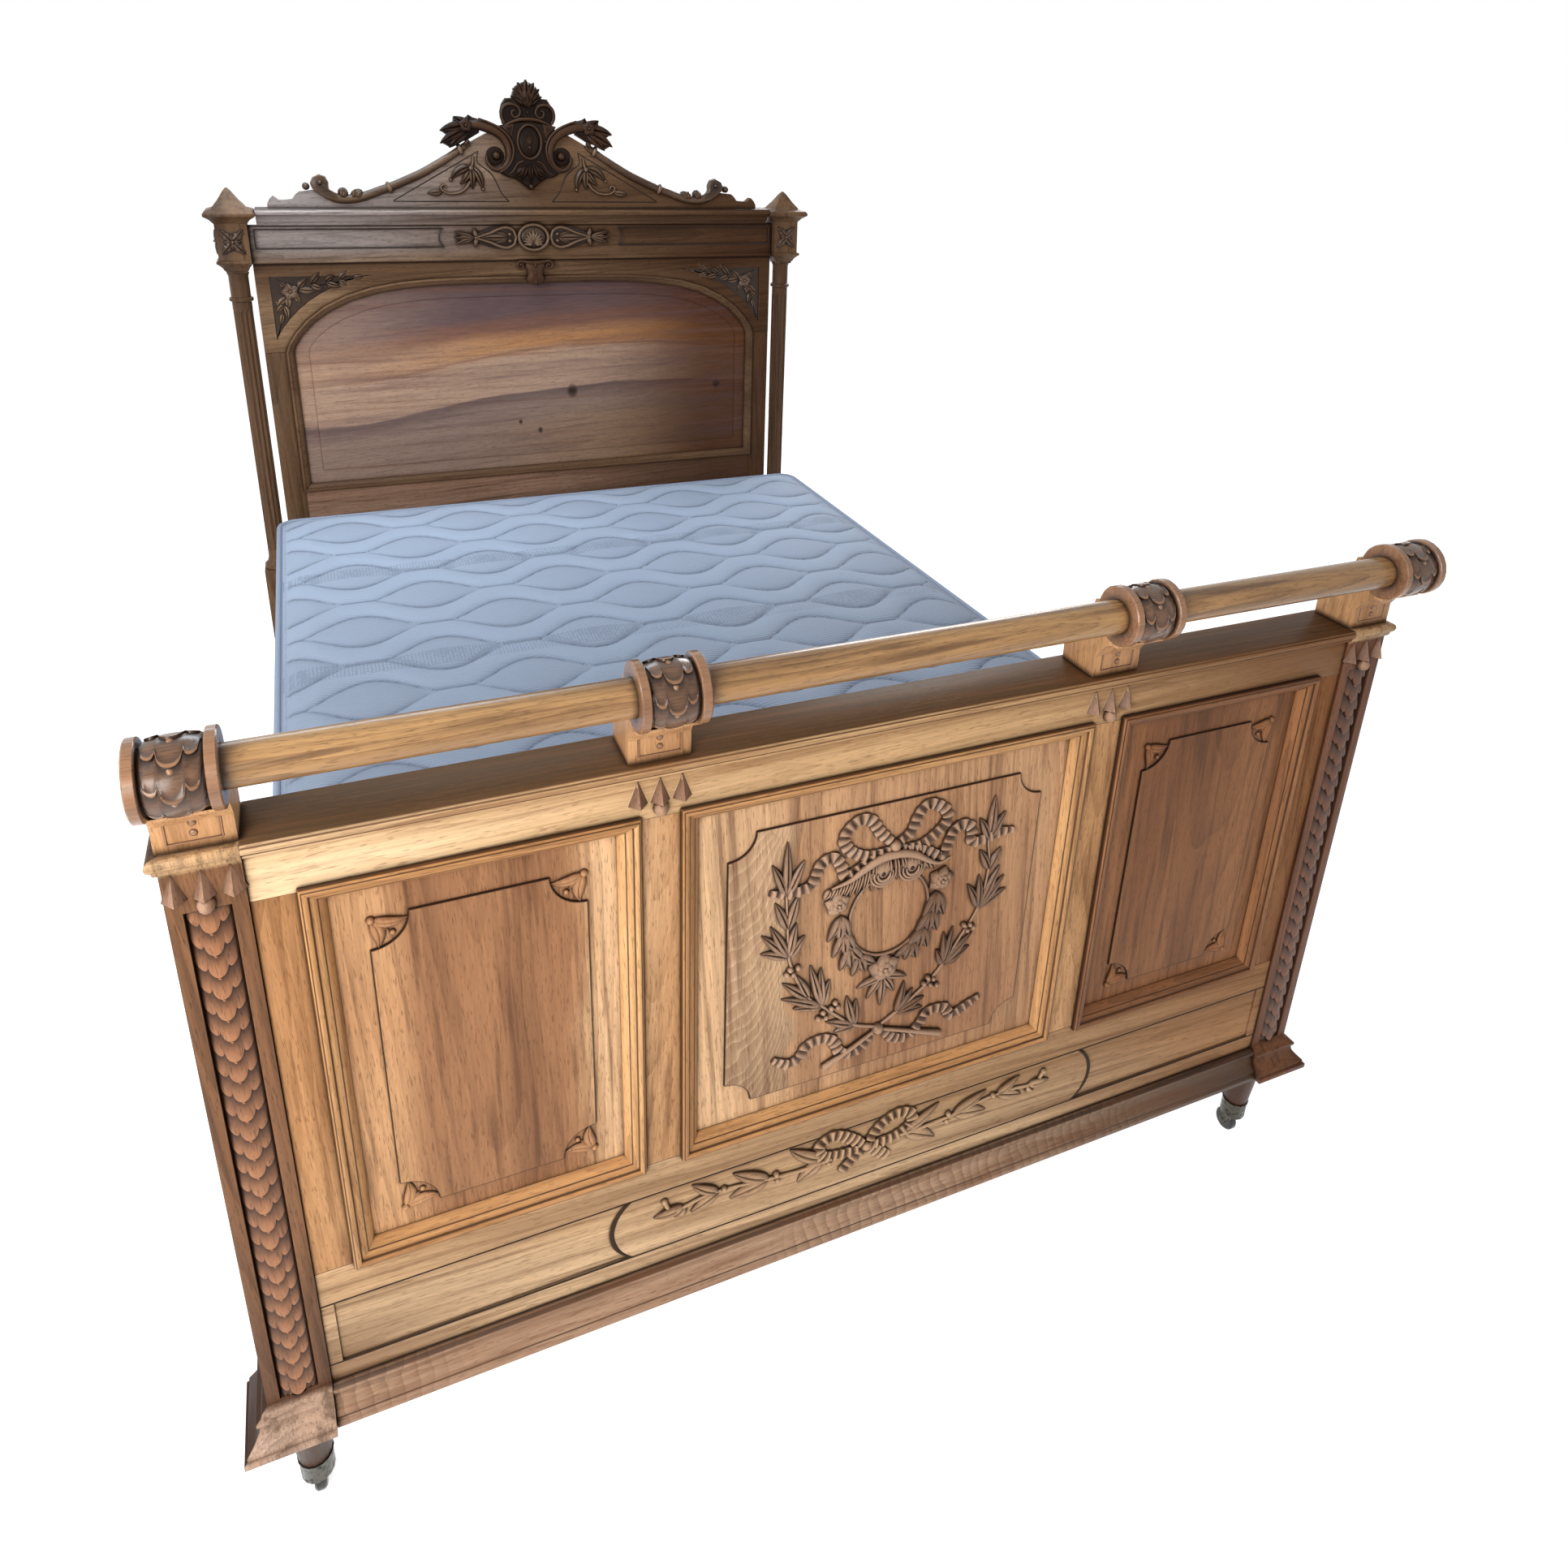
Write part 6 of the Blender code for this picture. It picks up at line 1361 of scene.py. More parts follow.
for node in ("head_frieze", "head_cornice"):
    dress([node], walnut("head_walnut_" + node, node, "x", SHADED_HEAD_WOOD, figure=0.45, coat=0.0, shine=0.06,
                         hollow=0.014, wear=0.3, figured=edged(node)))
FRIEZE_MIDDLE = 1.2585
GLUE_LINE = 0.0003
frieze_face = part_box("head_frieze")[0].y
shell_round = [(0.0385 * math.cos(t), FRIEZE_MIDDLE + 0.0325 * math.sin(t), 0.003)
               for t in np.radians(np.arange(-90.0, 271.0, 20.0))]
SHELL_RIBS = 11
heart_edge = [(0.046, 0.0), (0.052, 0.017), (0.068, 0.0255), (0.088, 0.0225), (0.112, 0.012), (0.15, 0.0)]
half_frieze = [
    # A flat leaf with lit 0 fills each heart: painted shade in its hollow.
    darkened(leaves([(0.04, FRIEZE_MIDDLE, 0, 0.116, 0.056, 0.0018, 0, 0)], rings=13, vein=0.0)),
    *(strand([(a, FRIEZE_MIDDLE + side * b, 0.0035) for a, b in heart_edge],
             (0.0036, 0.0044, 0.0044, 0.0036, 0.0026))
      for side in (-1, 1)),
    leaves([(0.07, FRIEZE_MIDDLE, 0, 0.066, 0.019, 0.0085, 0, 0)], rings=11, vein=0.5),
    leaves([(0.066, FRIEZE_MIDDLE, way, 0.04, 0.01, 0.007, -way * 0.9, 0) for way in (38, -38)]),
    beads([(0.0625, FRIEZE_MIDDLE + 0.0085, 0.0062, 0.0062, 0.0105, 0),
           (0.0625, FRIEZE_MIDDLE - 0.0085, 0.0062, 0.0062, 0.0105, 0)]),
    leaves([(0.145, FRIEZE_MIDDLE, way, 0.026, 0.0125, 0.007, way * 0.4, 0) for way in (62, -62)], vein=0.1),
    leaves([(0.152, FRIEZE_MIDDLE, way, 0.052, 0.0125, 0.007, 0, 0) for way in (0, 17, -17)]),
    beads([(0.149, FRIEZE_MIDDLE, 0.0052, 0.0052, 0.0085, 0)]),
]
frieze = [strand(shell_round, (0.0046, 0.0046), samples=36),
          leaves([(0.0, FRIEZE_MIDDLE - 0.014, way, 0.04 - 0.01 * abs(math.cos(math.radians(way))), 0.0115,
                   0.007, 0, 0)
                  for way in np.linspace(-12.0, 192.0, SHELL_RIBS)], vein=0.0),
          beads([(0.0, FRIEZE_MIDDLE, 0.034, 0.029, 0.003, 0),
                 (0.0, FRIEZE_MIDDLE - 0.003, 0.0062, 0.0062, 0.01, 0),
                 (-0.01, FRIEZE_MIDDLE - 0.018, 0.008, 0.007, 0.0085, 0),
                 (0.01, FRIEZE_MIDDLE - 0.018, 0.008, 0.007, 0.0085, 0)])]
FRIEZE_FIELD = (1.236, 1.282)
FRIEZE_FIELD_START = 0.2304
FRIEZE_FIELD_END = 0.6707
field_end = arc(0.2079, sum(FRIEZE_FIELD) / 2, 0.0322, -45.6, 45.6, 0.0)
half_frieze += [groove(points, 0.0014) for points in (
    [(a, b) for a, b, _ in field_end],
    *([(FRIEZE_FIELD_START, level), (FRIEZE_FIELD_END, level)] for level in FRIEZE_FIELD),
    [(FRIEZE_FIELD_END, FRIEZE_FIELD[0]), (FRIEZE_FIELD_END, FRIEZE_FIELD[1])])]
frieze += half_frieze + [mirrored(sheet) for sheet in half_frieze]
frieze_piece = carve("frieze_shell", seated(frieze, frieze_face - GLUE_LINE), carved_head, "walnut_dark")
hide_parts("frieze_palmette")


# Keystone
# A waisted bracket over the top of the arch, with two small scrolls above and a bead below. It is
# glued to the rail and hides the join of the arch's moulding.
key_low, key_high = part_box("arch_keystone")
KEY_TOP = key_high.z
KEY_LOW = key_low.z
KEY_PROUD = 0.0145


def spiral(across, up, start, end, first, last, out, count=24):
    """Points of a spiral: the angle runs from start to end in degrees as the radius runs from first to
    last."""
    turn = np.radians(np.linspace(start, end, count))
    radius = np.linspace(first, last, count)
    return np.stack([across + radius * np.cos(turn), up + radius * np.sin(turn), np.full(count, out)],
                    axis=1)


tall = KEY_TOP - KEY_LOW
half_waist = [(0.008, 0.0), (0.02, 0.1), (0.024, 0.26), (0.0195, 0.42), (0.0205, 0.62), (0.027, 0.8),
              (0.024, 1.0)]
waist = [(x, KEY_LOW + z * tall) for x, z in half_waist]
waist += [(-x, z) for x, z in reversed(waist)]
KEY_MIDDLE = KEY_LOW + 0.5 * tall
# The darkest walnut, darkened further as painted shade at the top of the headboard.
DARK_WOOD = (colour(0.085, 0.038, 0.018), colour(0.016, 0.007, 0.004), colour(0.004, 0.002, 0.001))
carved_dark_head = walnut("carved_dark_walnut", "arch_keystone", "x", DARK_WOOD, figure=0.25, rough=0.3,
                          coat=0.06, shine=0.1, carved=True)
keystone = [plate(waist, (0.0, KEY_MIDDLE), [(1.0, -0.006, 0.0), (1.0, 0.006, 0.6), (0.9, 0.0095, 1.0),
                                             (0.4, 0.013, 0.9), (0.05, 0.013, 0.8)])]
half_key = [
    strand(spiral(0.037, KEY_TOP - 0.013, 130, -330, 0.0125, 0.003, 0.006), (0.0042, 0.0032)),
    beads([(0.037, KEY_TOP - 0.013, 0.004, 0.004, 0.0105, 0)]),
    strand([(0.0, KEY_TOP - 0.006, 0.009), (0.014, KEY_TOP - 0.004, 0.009), (0.029, KEY_TOP - 0.002, 0.007)],
           (0.0048, 0.0042)),
]
keystone += half_key + [mirrored(sheet) for sheet in half_key]
keystone.append(beads([(0.0, KEY_LOW + 0.008, 0.0062, 0.0085, 0.0145, 0),
                       (0.0, KEY_TOP - 0.012, 0.0075, 0.008, 0.017, 0),
                       (0.0, KEY_MIDDLE, 0.0045, 0.0085, 0.0165, 0)]))
keystone_piece = carve("keystone_carving", seated(keystone, key_high.y - KEY_PROUD),
                       carved_dark_head, "walnut_dark")
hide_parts("arch_keystone")


# Pediment
# A shaped board on the cornice with two lined fields. A trumpet flower on a bent stalk and a tendril
# with a bud are carved in each field.
def whole(half):
    """An outline from its right half, which runs down from the middle line to the middle line."""
    return half + [(-a, b) for a, b in reversed(half[1:-1])]


low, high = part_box("pediment_board")
board_face = low.y
rod_line = [(0.15, 1.488), (0.172, 1.4735), (0.1953, 1.4576), (0.2316, 1.4358), (0.2677, 1.4155),
            (0.3032, 1.3995), (0.3268, 1.3894), (0.3502, 1.3799), (0.3733, 1.3721), (0.3965, 1.3635),
            (0.4194, 1.3563), (0.4418, 1.3526), (0.4638, 1.3525), (0.4798, 1.356), (0.4952, 1.3643)]
board_edge = whole([(0.0, 1.535), (0.06, 1.53), (0.1, 1.515), *rod_line, (0.5139, 1.369), (0.5278, 1.3727),
                    (0.5402, 1.3704), (0.5585, 1.3692), (0.5664, 1.3633), (0.5758, 1.3514), (0.5906, 1.3494),
                    (0.6065, 1.3493), (0.6113, 1.3534), (0.6185, 1.3589), (0.6274, 1.3506), (0.633, 1.34),
                    (0.633, low.z), (0.0, low.z)])
board_wood = walnut("head_walnut_pediment_board", "pediment_board", "x", SHADED_HEAD_WOOD, figure=0.3, coat=0.0,
                    shine=0.06, figured=painted_sheen_and_shade)
board = plate(board_edge, (0.0, 1.4), [(1.0, low.y - high.y, 1.0), (1.0, 0.0, 1.0)])
board_piece = carve("pediment_shape", [seat(board, (0.0, board_face, 0.0))], board_wood, "walnut_dark")
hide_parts("pediment_board")
inner_edge = [(0.128, 1.47), (0.131, 1.458), (0.13, 1.442), (0.112, 1.428), (0.095, 1.412), (0.084, 1.39),
              (0.074, 1.368), (0.056, 1.3475)]
half_pediment = [
    darkened(strand([(a, b, 0.0) for a, b in inner_edge], (0.0015, 0.0017, 0.0015), flat=0.5)),
    *(darkened(strand([(a, b, 0.0), ((a + c) / 2, (b + d) / 2, 0.0), (c, d, 0.0)], (0.0013, 0.0016, 0.0013),
                      flat=0.5))
      for a, b, c, d in ((0.128, 1.47, 0.342, 1.349), (0.056, 1.3475, 0.342, 1.3475))),
    strand([(0.141, 1.458, 0.002), (0.143, 1.442, 0.003), (0.148, 1.428, 0.003)], (0.0022, 0.003, 0.0042)),
    leaves([toward(*row) for row in (
        ((0.149, 1.432), (0.2, 1.399), 0.02, 0.0095, -55, 0.3),
        ((0.147, 1.432), (0.122, 1.377), 0.019, 0.0095, 50, -0.3),
        ((0.148, 1.43), (0.147, 1.378), 0.018, 0.0105, 10, 0.0),
        ((0.15, 1.426), (0.178, 1.389), 0.016, 0.0085, 30, 0.0))],
           rings=11, vein=0.55),
    strand([(0.152, 1.396, 0.002), (0.164, 1.38, 0.002), (0.182, 1.369, 0.002), (0.206, 1.367, 0.002),
            (0.222, 1.374, 0.002), (0.225, 1.384, 0.002), (0.216, 1.388, 0.002), (0.212, 1.381, 0.002)],
           (0.0038, 0.0034, 0.0028, 0.0022)),
    leaves([(0.222, 1.372, -14, 0.038, 0.0165, 0.006, 16, 0)]),
    beads([(0.148, 1.429, 0.008, 0.008, 0.0105, 0), (0.2, 1.4, 0.0045, 0.0045, 0.008, 0),
           (0.121, 1.378, 0.0045, 0.0045, 0.008, 0)]),
]
for word, turn_over in (("left", mirrored), ("right", np.array)):
    sheets = seated(map(turn_over, half_pediment), board_face)
    carve("pediment_flower_" + word, sheets, carved_head, "walnut_dark")


# Pediment rods
# A round rod lies along the board's edge on each side and ends in a solid scroll with a ball in it. A
# turned ring, two leafy humps and a smaller ball are carved on it.
def lifted(sheet, out):
    """The same carving standing further out."""
    return sheet + np.array([0.0, 0.0, out, 0.0])


ROD_RADII = (0.008, 0.0096, 0.0104, 0.0104, 0.0104, 0.011, 0.012)
ROD_RING_RADII = (0.012, 0.015, 0.015, 0.012)
ROD_SUNK = 0.002
SCROLL_EDGE = [(0.4645, 1.3463), (0.4964, 1.3532), (0.5166, 1.367), (0.5289, 1.3766), (0.5322, 1.3903),
               (0.526, 1.4027), (0.5104, 1.4103), (0.4961, 1.4058), (0.4895, 1.3921), (0.4898, 1.3769),
               (0.4827, 1.3672), (0.4711, 1.3617)]
rod_wood = walnut("rod_walnut", "pediment_scroll_left", "x", CARVED_HEAD_WOOD, figure=0.25, rough=0.3,
                  coat=0.25, carved=True)
rod = [
    relit(strand([(a, b, 0.0) for a, b in rod_line], ROD_RADII, around=14), 0.7),
    *(strand([(a - 0.0045, b + 0.0017, 0.0), (a, b, 0.0), (a + 0.0045, b - 0.0017, 0.0)], ROD_RING_RADII,
             samples=6, around=16) for a, b in ((0.172, 1.4735), (0.3495, 1.3802))),
    plate(SCROLL_EDGE, (0.508, 1.387), [(0.96, -0.01, 0.0), (1.0, 0.004, 0.4), (0.93, 0.011, 0.7),
                                        (0.7, 0.013, 0.5), (0.05, 0.01, 0.3)]),
    relit(beads([(0.5099, 1.3911, 0.0082, 0.0082, 0.018, 0), (0.542, 1.3814, 0.0088, 0.0088, 0.0088, 0),
                 (0.4588, 1.367, 0.0125, 0.0125, 0.012, 0), (0.4262, 1.364, 0.0165, 0.012, 0.012, -20)],
                sink=0.009), 0.6),
    lifted(leaves([toward(foot, tip, 0.01, 0.006) for foot, tip in (
        ((0.464, 1.357), (0.457, 1.38)), ((0.46, 1.357), (0.45, 1.374)),
        ((0.436, 1.356), (0.43, 1.3765)), ((0.428, 1.356), (0.415, 1.372)))]), 0.008),
]
for word, turn_over in (("left", mirrored), ("right", np.array)):
    sheets = seated(map(turn_over, rod), board_face + ROD_SUNK)
    rod_piece = carve("rod_carving_" + word, sheets, rod_wood, "walnut_dark")
    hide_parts("pediment_scroll_" + word)


# Crest
# The carved crown of the headboard, of the darkest walnut, darkened further as painted shade: an oval
# medallion with a bud in a shield, between two C-scrolls with ball eyes, leafy shoulders, a drop below,
# and volutes and a palmette above.
MEDALLION_Z = 1.4955
crown = whole([(0.0, 1.64), (0.014, 1.634), (0.026, 1.627), (0.033, 1.613), (0.038, 1.599), (0.053, 1.598),
               (0.063, 1.584), (0.068, 1.565), (0.066, 1.55), (0.063, 1.536), (0.03, 1.528), (0.0, 1.526)])
shield = whole([(0.0, 1.548), (0.04, 1.541), (0.072, 1.533), (0.056, 1.511), (0.046, 1.491), (0.044, 1.472),
                (0.05, 1.45), (0.064, 1.432), (0.074, 1.418), (0.058, 1.409), (0.041, 1.407), (0.026, 1.397),
                (0.013, 1.387), (0.0, 1.379)])
shoulder = [(0.118, 1.546), (0.148, 1.553), (0.162, 1.545), (0.183, 1.549), (0.186, 1.53), (0.216, 1.517),
            (0.2, 1.505), (0.217, 1.489), (0.199, 1.479), (0.182, 1.487), (0.153, 1.496), (0.122, 1.514)]
oval = [(0.03 * math.cos(t), MEDALLION_Z + 0.041 * math.sin(t), 0.0215)
        for t in np.radians(np.arange(-90.0, 271.0, 15.0))]
RAISED_EDGE = [(0.99, -0.012, 0.0), (1.0, 0.003, 0.3), (0.96, 0.008, 0.55), (0.85, 0.009, 0.42),
               (0.05, 0.009, 0.4)]
crest = [
    plate(crown, (0.0, 1.575), RAISED_EDGE),
    plate(shield, (0.0, 1.47), [(0.99, -0.012, 0.0), (1.0, 0.01, 0.4), (0.95, 0.015, 0.85),
                                (0.86, 0.0155, 0.55), (0.05, 0.0155, 0.45)]),
    strand(oval, (0.0036, 0.0036), samples=48),
    lifted(relit(beads([(0.0, MEDALLION_Z, 0.027, 0.038, 0.0035, 0)], around=28), 0.55), 0.0155),
    lifted(leaves([toward((0.0, MEDALLION_Z - 0.01), tip, 0.0085, 0.005) for tip in (
        (0.0, MEDALLION_Z + 0.027), (-0.007, MEDALLION_Z + 0.019), (0.007, MEDALLION_Z + 0.019))]), 0.0185),
    lifted(beads([(0.0, MEDALLION_Z - 0.014, 0.0048, 0.0052, 0.006, 0)]), 0.018),
    lifted(leaves([toward((0.0, 1.58), tip, width, 0.012, bend) for tip, width, bend in (
        ((0.0, 1.643), 0.026, 0), ((0.02, 1.636), 0.024, -12), ((-0.02, 1.636), 0.024, 12),
        ((0.033, 1.622), 0.022, -24), ((-0.033, 1.622), 0.022, 24), ((0.039, 1.604), 0.02, -30),
        ((-0.039, 1.604), 0.02, 30))],
                  rings=11, vein=0.6, sink=0.012), 0.008),
    lifted(leaves([toward((0.0, 1.574), tip, 0.01, 0.011) for tip in (
        (0.0, 1.612), (0.014, 1.602), (-0.014, 1.602))]), 0.016),
    lifted(beads([(0.0, 1.566, 0.0048, 0.0042, 0.006, 0)]), 0.009),
    lifted(leaves([toward(*row) for row in (
        ((0.0, 1.444), (0.0, 1.392), 0.016, 0.012, 0), ((0.008, 1.44), (0.024, 1.398), 0.019, 0.011, -24),
        ((-0.008, 1.44), (-0.024, 1.398), 0.019, 0.011, 24),
        ((0.014, 1.436), (0.043, 1.408), 0.018, 0.0095, 20),
        ((-0.014, 1.436), (-0.043, 1.408), 0.018, 0.0095, -20))], rings=11, vein=0.6), 0.014),
    lifted(beads([(0.0, 1.386, 0.0088, 0.009, 0.013, 0)]), 0.01),
]
arm = [(0.152, 1.534, 0.01), (0.128, 1.533, 0.012), (0.108, 1.5285, 0.013), (0.085, 1.52, 0.014),
       (0.066, 1.506, 0.014), (0.0545, 1.487, 0.014), (0.0515, 1.466, 0.014), (0.056, 1.446, 0.013),
       (0.068, 1.4315, 0.012), (0.084, 1.427, 0.011), (0.098, 1.433, 0.01), (0.107, 1.446, 0.009),
       (0.108, 1.459, 0.008)]
rim = [(0.124, 1.548, 0.016), (0.098, 1.539, 0.019), (0.073, 1.5265, 0.021), (0.0545, 1.51, 0.022),
       (0.044, 1.49, 0.022), (0.042, 1.47, 0.022), (0.048, 1.448, 0.02), (0.062, 1.43, 0.018),
       (0.078, 1.42, 0.015)]
volute = [(0.06, 1.539, 0.012), (0.066, 1.553, 0.012), (0.0645, 1.57, 0.013), (0.0555, 1.581, 0.014),
          (0.042, 1.584, 0.015), (0.027, 1.58, 0.015), (0.0195, 1.568, 0.015), (0.023, 1.557, 0.015),
          (0.033, 1.553, 0.015), (0.04, 1.559, 0.015), (0.0395, 1.568, 0.015), (0.0325, 1.5695, 0.015)]
ARM_RADII = (0.0105, 0.012, 0.0125, 0.0125, 0.012, 0.011, 0.0105, 0.01, 0.009, 0.008, 0.0065, 0.005, 0.003)
half_crest = [
    strand(arm, ARM_RADII, flat=0.8, around=14),
    strand(rim, (0.0022, 0.0032, 0.0034, 0.0032, 0.0024)),
    # A dark disc with lit 0 paints the shade of the hollow about each ball eye.
    darkened(beads([(0.086, 1.459, 0.0235, 0.0235, 0.0015, 0)], around=24)),
    lifted(beads([(0.083, 1.4605, 0.0125, 0.0125, 0.014, 0)], around=16), 0.001),
    strand(volute, (0.0042, 0.0046, 0.0044, 0.004, 0.0034, 0.0028)),
    plate(shoulder, (0.165, 1.518), RAISED_EDGE),
    lifted(leaves([toward(*row) for row in (
        ((0.15, 1.53), (0.219, 1.517), 0.028, 0.01, -12), ((0.146, 1.53), (0.184, 1.551), 0.025, 0.01, 14),
        ((0.14, 1.53), (0.148, 1.556), 0.022, 0.009, 10), ((0.152, 1.524), (0.22, 1.487), 0.026, 0.01, -10),
        ((0.15, 1.518), (0.199, 1.477), 0.022, 0.009, -12))], rings=11, vein=0.6), 0.0075),
    lifted(leaves(petals(0.156, 1.531, 5, 0.019, 0.019, 0.008, 18.0, 0.2), vein=0.2), 0.015),
    lifted(beads([(0.156, 1.531, 0.005, 0.005, 0.011, 0)]), 0.0155),
    plate([(0.036, 1.539), (0.068, 1.531), (0.054, 1.516), (0.044, 1.503)], (0.049, 1.524),
          [(1.0, 0.012, 0.0), (1.0, 0.017, 0.7), (0.85, 0.018, 0.95), (0.05, 0.0175, 0.6)]),
    lifted(beads([(0.042, 1.496, 0.0046, 0.0046, 0.005, 0)]), 0.015),
    strand([(0.016, 1.449, 0.016), (0.032, 1.442, 0.0155), (0.044, 1.424, 0.0145), (0.06, 1.413, 0.012)],
           (0.0034, 0.0034, 0.0024)),
    strand([(0.0, 1.55, 0.017), (0.022, 1.548, 0.017), (0.044, 1.541, 0.016), (0.06, 1.533, 0.014)],
           (0.0058, 0.0052, 0.0044, 0.0028)),
    strand([(0.15, 1.4965, 0.01), (0.156, 1.49, 0.01), (0.16, 1.483, 0.008)], (0.0046, 0.0058, 0.0046)),
]
crest += half_crest + [mirrored(sheet) for sheet in half_crest]
crest_piece = carve("crest_carving", seated(crest, board_face - GLUE_LINE), carved_dark_head, "walnut_dark")
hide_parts("crest_cartouche")


# Side rails and slats
# Two plain walnut rails with a cleat inside carry a pine frame of slats. The mattress hides them from
# above.
for word in ("left", "right"):
    node = "side_rail_" + word
    dress([node], walnut("rail_walnut_" + word, node, "y", SHADED_HEAD_WOOD, figure=0.35, wear=0.3))
PINE_WOOD = (colour(0.66, 0.48, 0.28), colour(0.56, 0.37, 0.19), colour(0.38, 0.23, 0.11))
dress(["slat_frame"], walnut("pine", "slat_frame", "x", PINE_WOOD, figure=0.3, rough=0.6, coat=0.0))


# Mattress
# A sprung mattress in pale knitted ticking. Its top is quilted in staggered rows of pointed lenses
# with wavy bands between them, some dotted and all finely ribbed. A corded seam runs round its edge.
ROW_PITCH = 0.1463
ROW_START = 0.733
LENS_PITCH = 0.288
LENS_START = 0.033
LENS_SWING = 0.041
LENS_SWELL = 0.03
PILLOW = 0.0105
EDGE_ROUND = 0.024
EDGE_FADE = 0.05
PLAN_CORNER = 0.045
CORD_RADIUS = 0.0058
CORD_SUNK = 0.003
CORD_INSET = 0.022
DOTTED = (0.45, -0.02, -0.49)
DOTTED_HALF = 0.03
ACROSS = 281
LENGTHWAYS = 381
BAND_RINGS = 14
low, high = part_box("mattress")
half_x = (high.x - low.x) / 2
half_y = (high.y - low.y) / 2
middle_y = (low.y + high.y) / 2
top_z = high.z - 0.001
bottom_z = low.z


def rounded_plan(s, t):
    """A point of the plan for s and t from -1 to 1, drawn in at the corners to a rounded rectangle."""
    x = s * half_x
    y = middle_y + t * half_y
    out_x = (np.abs(x) - (half_x - PLAN_CORNER)).clip(0.0)
    out_y = (np.abs(y - middle_y) - (half_y - PLAN_CORNER)).clip(0.0)
    reach = np.maximum(np.maximum(out_x, out_y), 1e-9)
    far = np.maximum(np.hypot(out_x, out_y), 1e-9)
    return x - np.sign(s) * out_x * (1 - reach / far), y - np.sign(t) * out_y * (1 - reach / far)


def lens_half(x, row):
    """Half the height of a row's lenses at x: a raised cosine cut off at 0, staggered from row to row."""
    middle = LENS_START + LENS_PITCH / 2 * (row % 2)
    return (LENS_SWING * np.cos(2 * np.pi * (x - middle) / LENS_PITCH) + LENS_SWELL).clip(0.0)


def quilting(x, y):
    """The quilting at a point. It lies either in a lens of the nearest row, or in the band between that
    row and the next, and the cloth swells across either as a flattened arch. Returns the height, a lit
    value that falls to 0 on the seams, and 1 in a lens or 0 in a band."""
    row = np.round((ROW_START - y) / ROW_PITCH)
    offset = y - (ROW_START - row * ROW_PITCH)
    half = lens_half(x, row)
    beyond = np.abs(offset) - half
    to_next = ROW_PITCH - np.abs(offset) - lens_half(x, row - np.sign(offset))
    in_lens = beyond < 0.0
    share = np.where(in_lens, 0.5 + 0.5 * offset / np.maximum(half, 1e-6),
                     beyond / np.maximum(beyond + to_next, 1e-6))
    arch = (4 * share * (1 - share)).clip(0.0, 1.0) ** 0.42
    swell = np.where(in_lens, np.sqrt(half / (LENS_SWING + LENS_SWELL)), 0.85)
    return PILLOW * arch * swell, arch, in_lens.astype(float)


def edge_loop(grid):
    """The border of a grid, once round."""
    return np.concatenate([grid[:-1, 0], grid[-1, :-1], grid[:0:-1, -1], grid[0, :0:-1]])


def mattress_mesh():
    """The top is a grid on the plan that swells between the seams. Loops of its edge run down the sides
    over a rounded shoulder to one flat face below."""
    s, t = np.meshgrid(np.linspace(-1, 1, ACROSS), np.linspace(-1, 1, LENGTHWAYS), indexing="ij")
    plan_x, plan_y = rounded_plan(s, t)
    top_x = plan_x * (1 - EDGE_ROUND / half_x)
    top_y = middle_y + (plan_y - middle_y) * (1 - EDGE_ROUND / half_y)
    pillow, arch, in_lens = quilting(top_x, top_y)
    edge = np.minimum((1 - np.abs(s)) * half_x, (1 - np.abs(t)) * half_y) / EDGE_FADE
    fade = edge.clip(0.0, 1.0) ** 0.5
    top = np.stack([top_x, top_y, top_z - PILLOW * 1.1 + pillow * fade - 0.004 * (1 - fade)], axis=-1)
    edge_plan = edge_loop(np.stack([plan_x, plan_y], axis=-1))
    edge_top = edge_loop(top)
    angle = np.pi * np.linspace(0.0, 1.0, BAND_RINGS)[1:, None]
    bulge = np.sin(angle).clip(0.0) ** 0.35
    x = edge_top[:, 0] + (edge_plan[:, 0] - edge_top[:, 0]) * bulge
    y = edge_top[:, 1] + (edge_plan[:, 1] - edge_top[:, 1]) * bulge
    z = edge_top[:, 2] * (0.5 + 0.5 * np.cos(angle)) + bottom_z * (0.5 - 0.5 * np.cos(angle))
    band = np.stack([x, y, z], axis=-1)
    index = np.arange(top_x.size).reshape(top_x.shape)
    band_index = top_x.size + np.arange(band[..., 0].size).reshape(band.shape[:2])
    rings = np.concatenate([edge_loop(index)[None], band_index])
    sides = np.stack([rings[:-1], rings[1:], np.roll(rings[1:], -1, 1), np.roll(rings[:-1], -1, 1)], axis=-1)
    cells = np.stack([index[:-1, :-1], index[1:, :-1], index[1:, 1:], index[:-1, 1:]], axis=-1)
    faces = cells.reshape(-1, 4).tolist() + sides.reshape(-1, 4).tolist() + [rings[-1].tolist()]
    spots = np.concatenate([top.reshape(-1, 3), band.reshape(-1, 3)])
    dotted = np.min(np.abs(top_y[..., None] - np.array(DOTTED)), axis=-1) < DOTTED_HALF
    sides_lit = np.ones(band[..., 0].size)
    lit = np.concatenate([arch.ravel(), sides_lit])
    lens = np.concatenate([in_lens.ravel(), 0.0 * sides_lit])
    kind = np.concatenate([np.where(dotted, 0.5, 0.0).ravel(), sides_lit])
    return spots, faces, {"lit": lit, "lens": lens, "kind": kind}


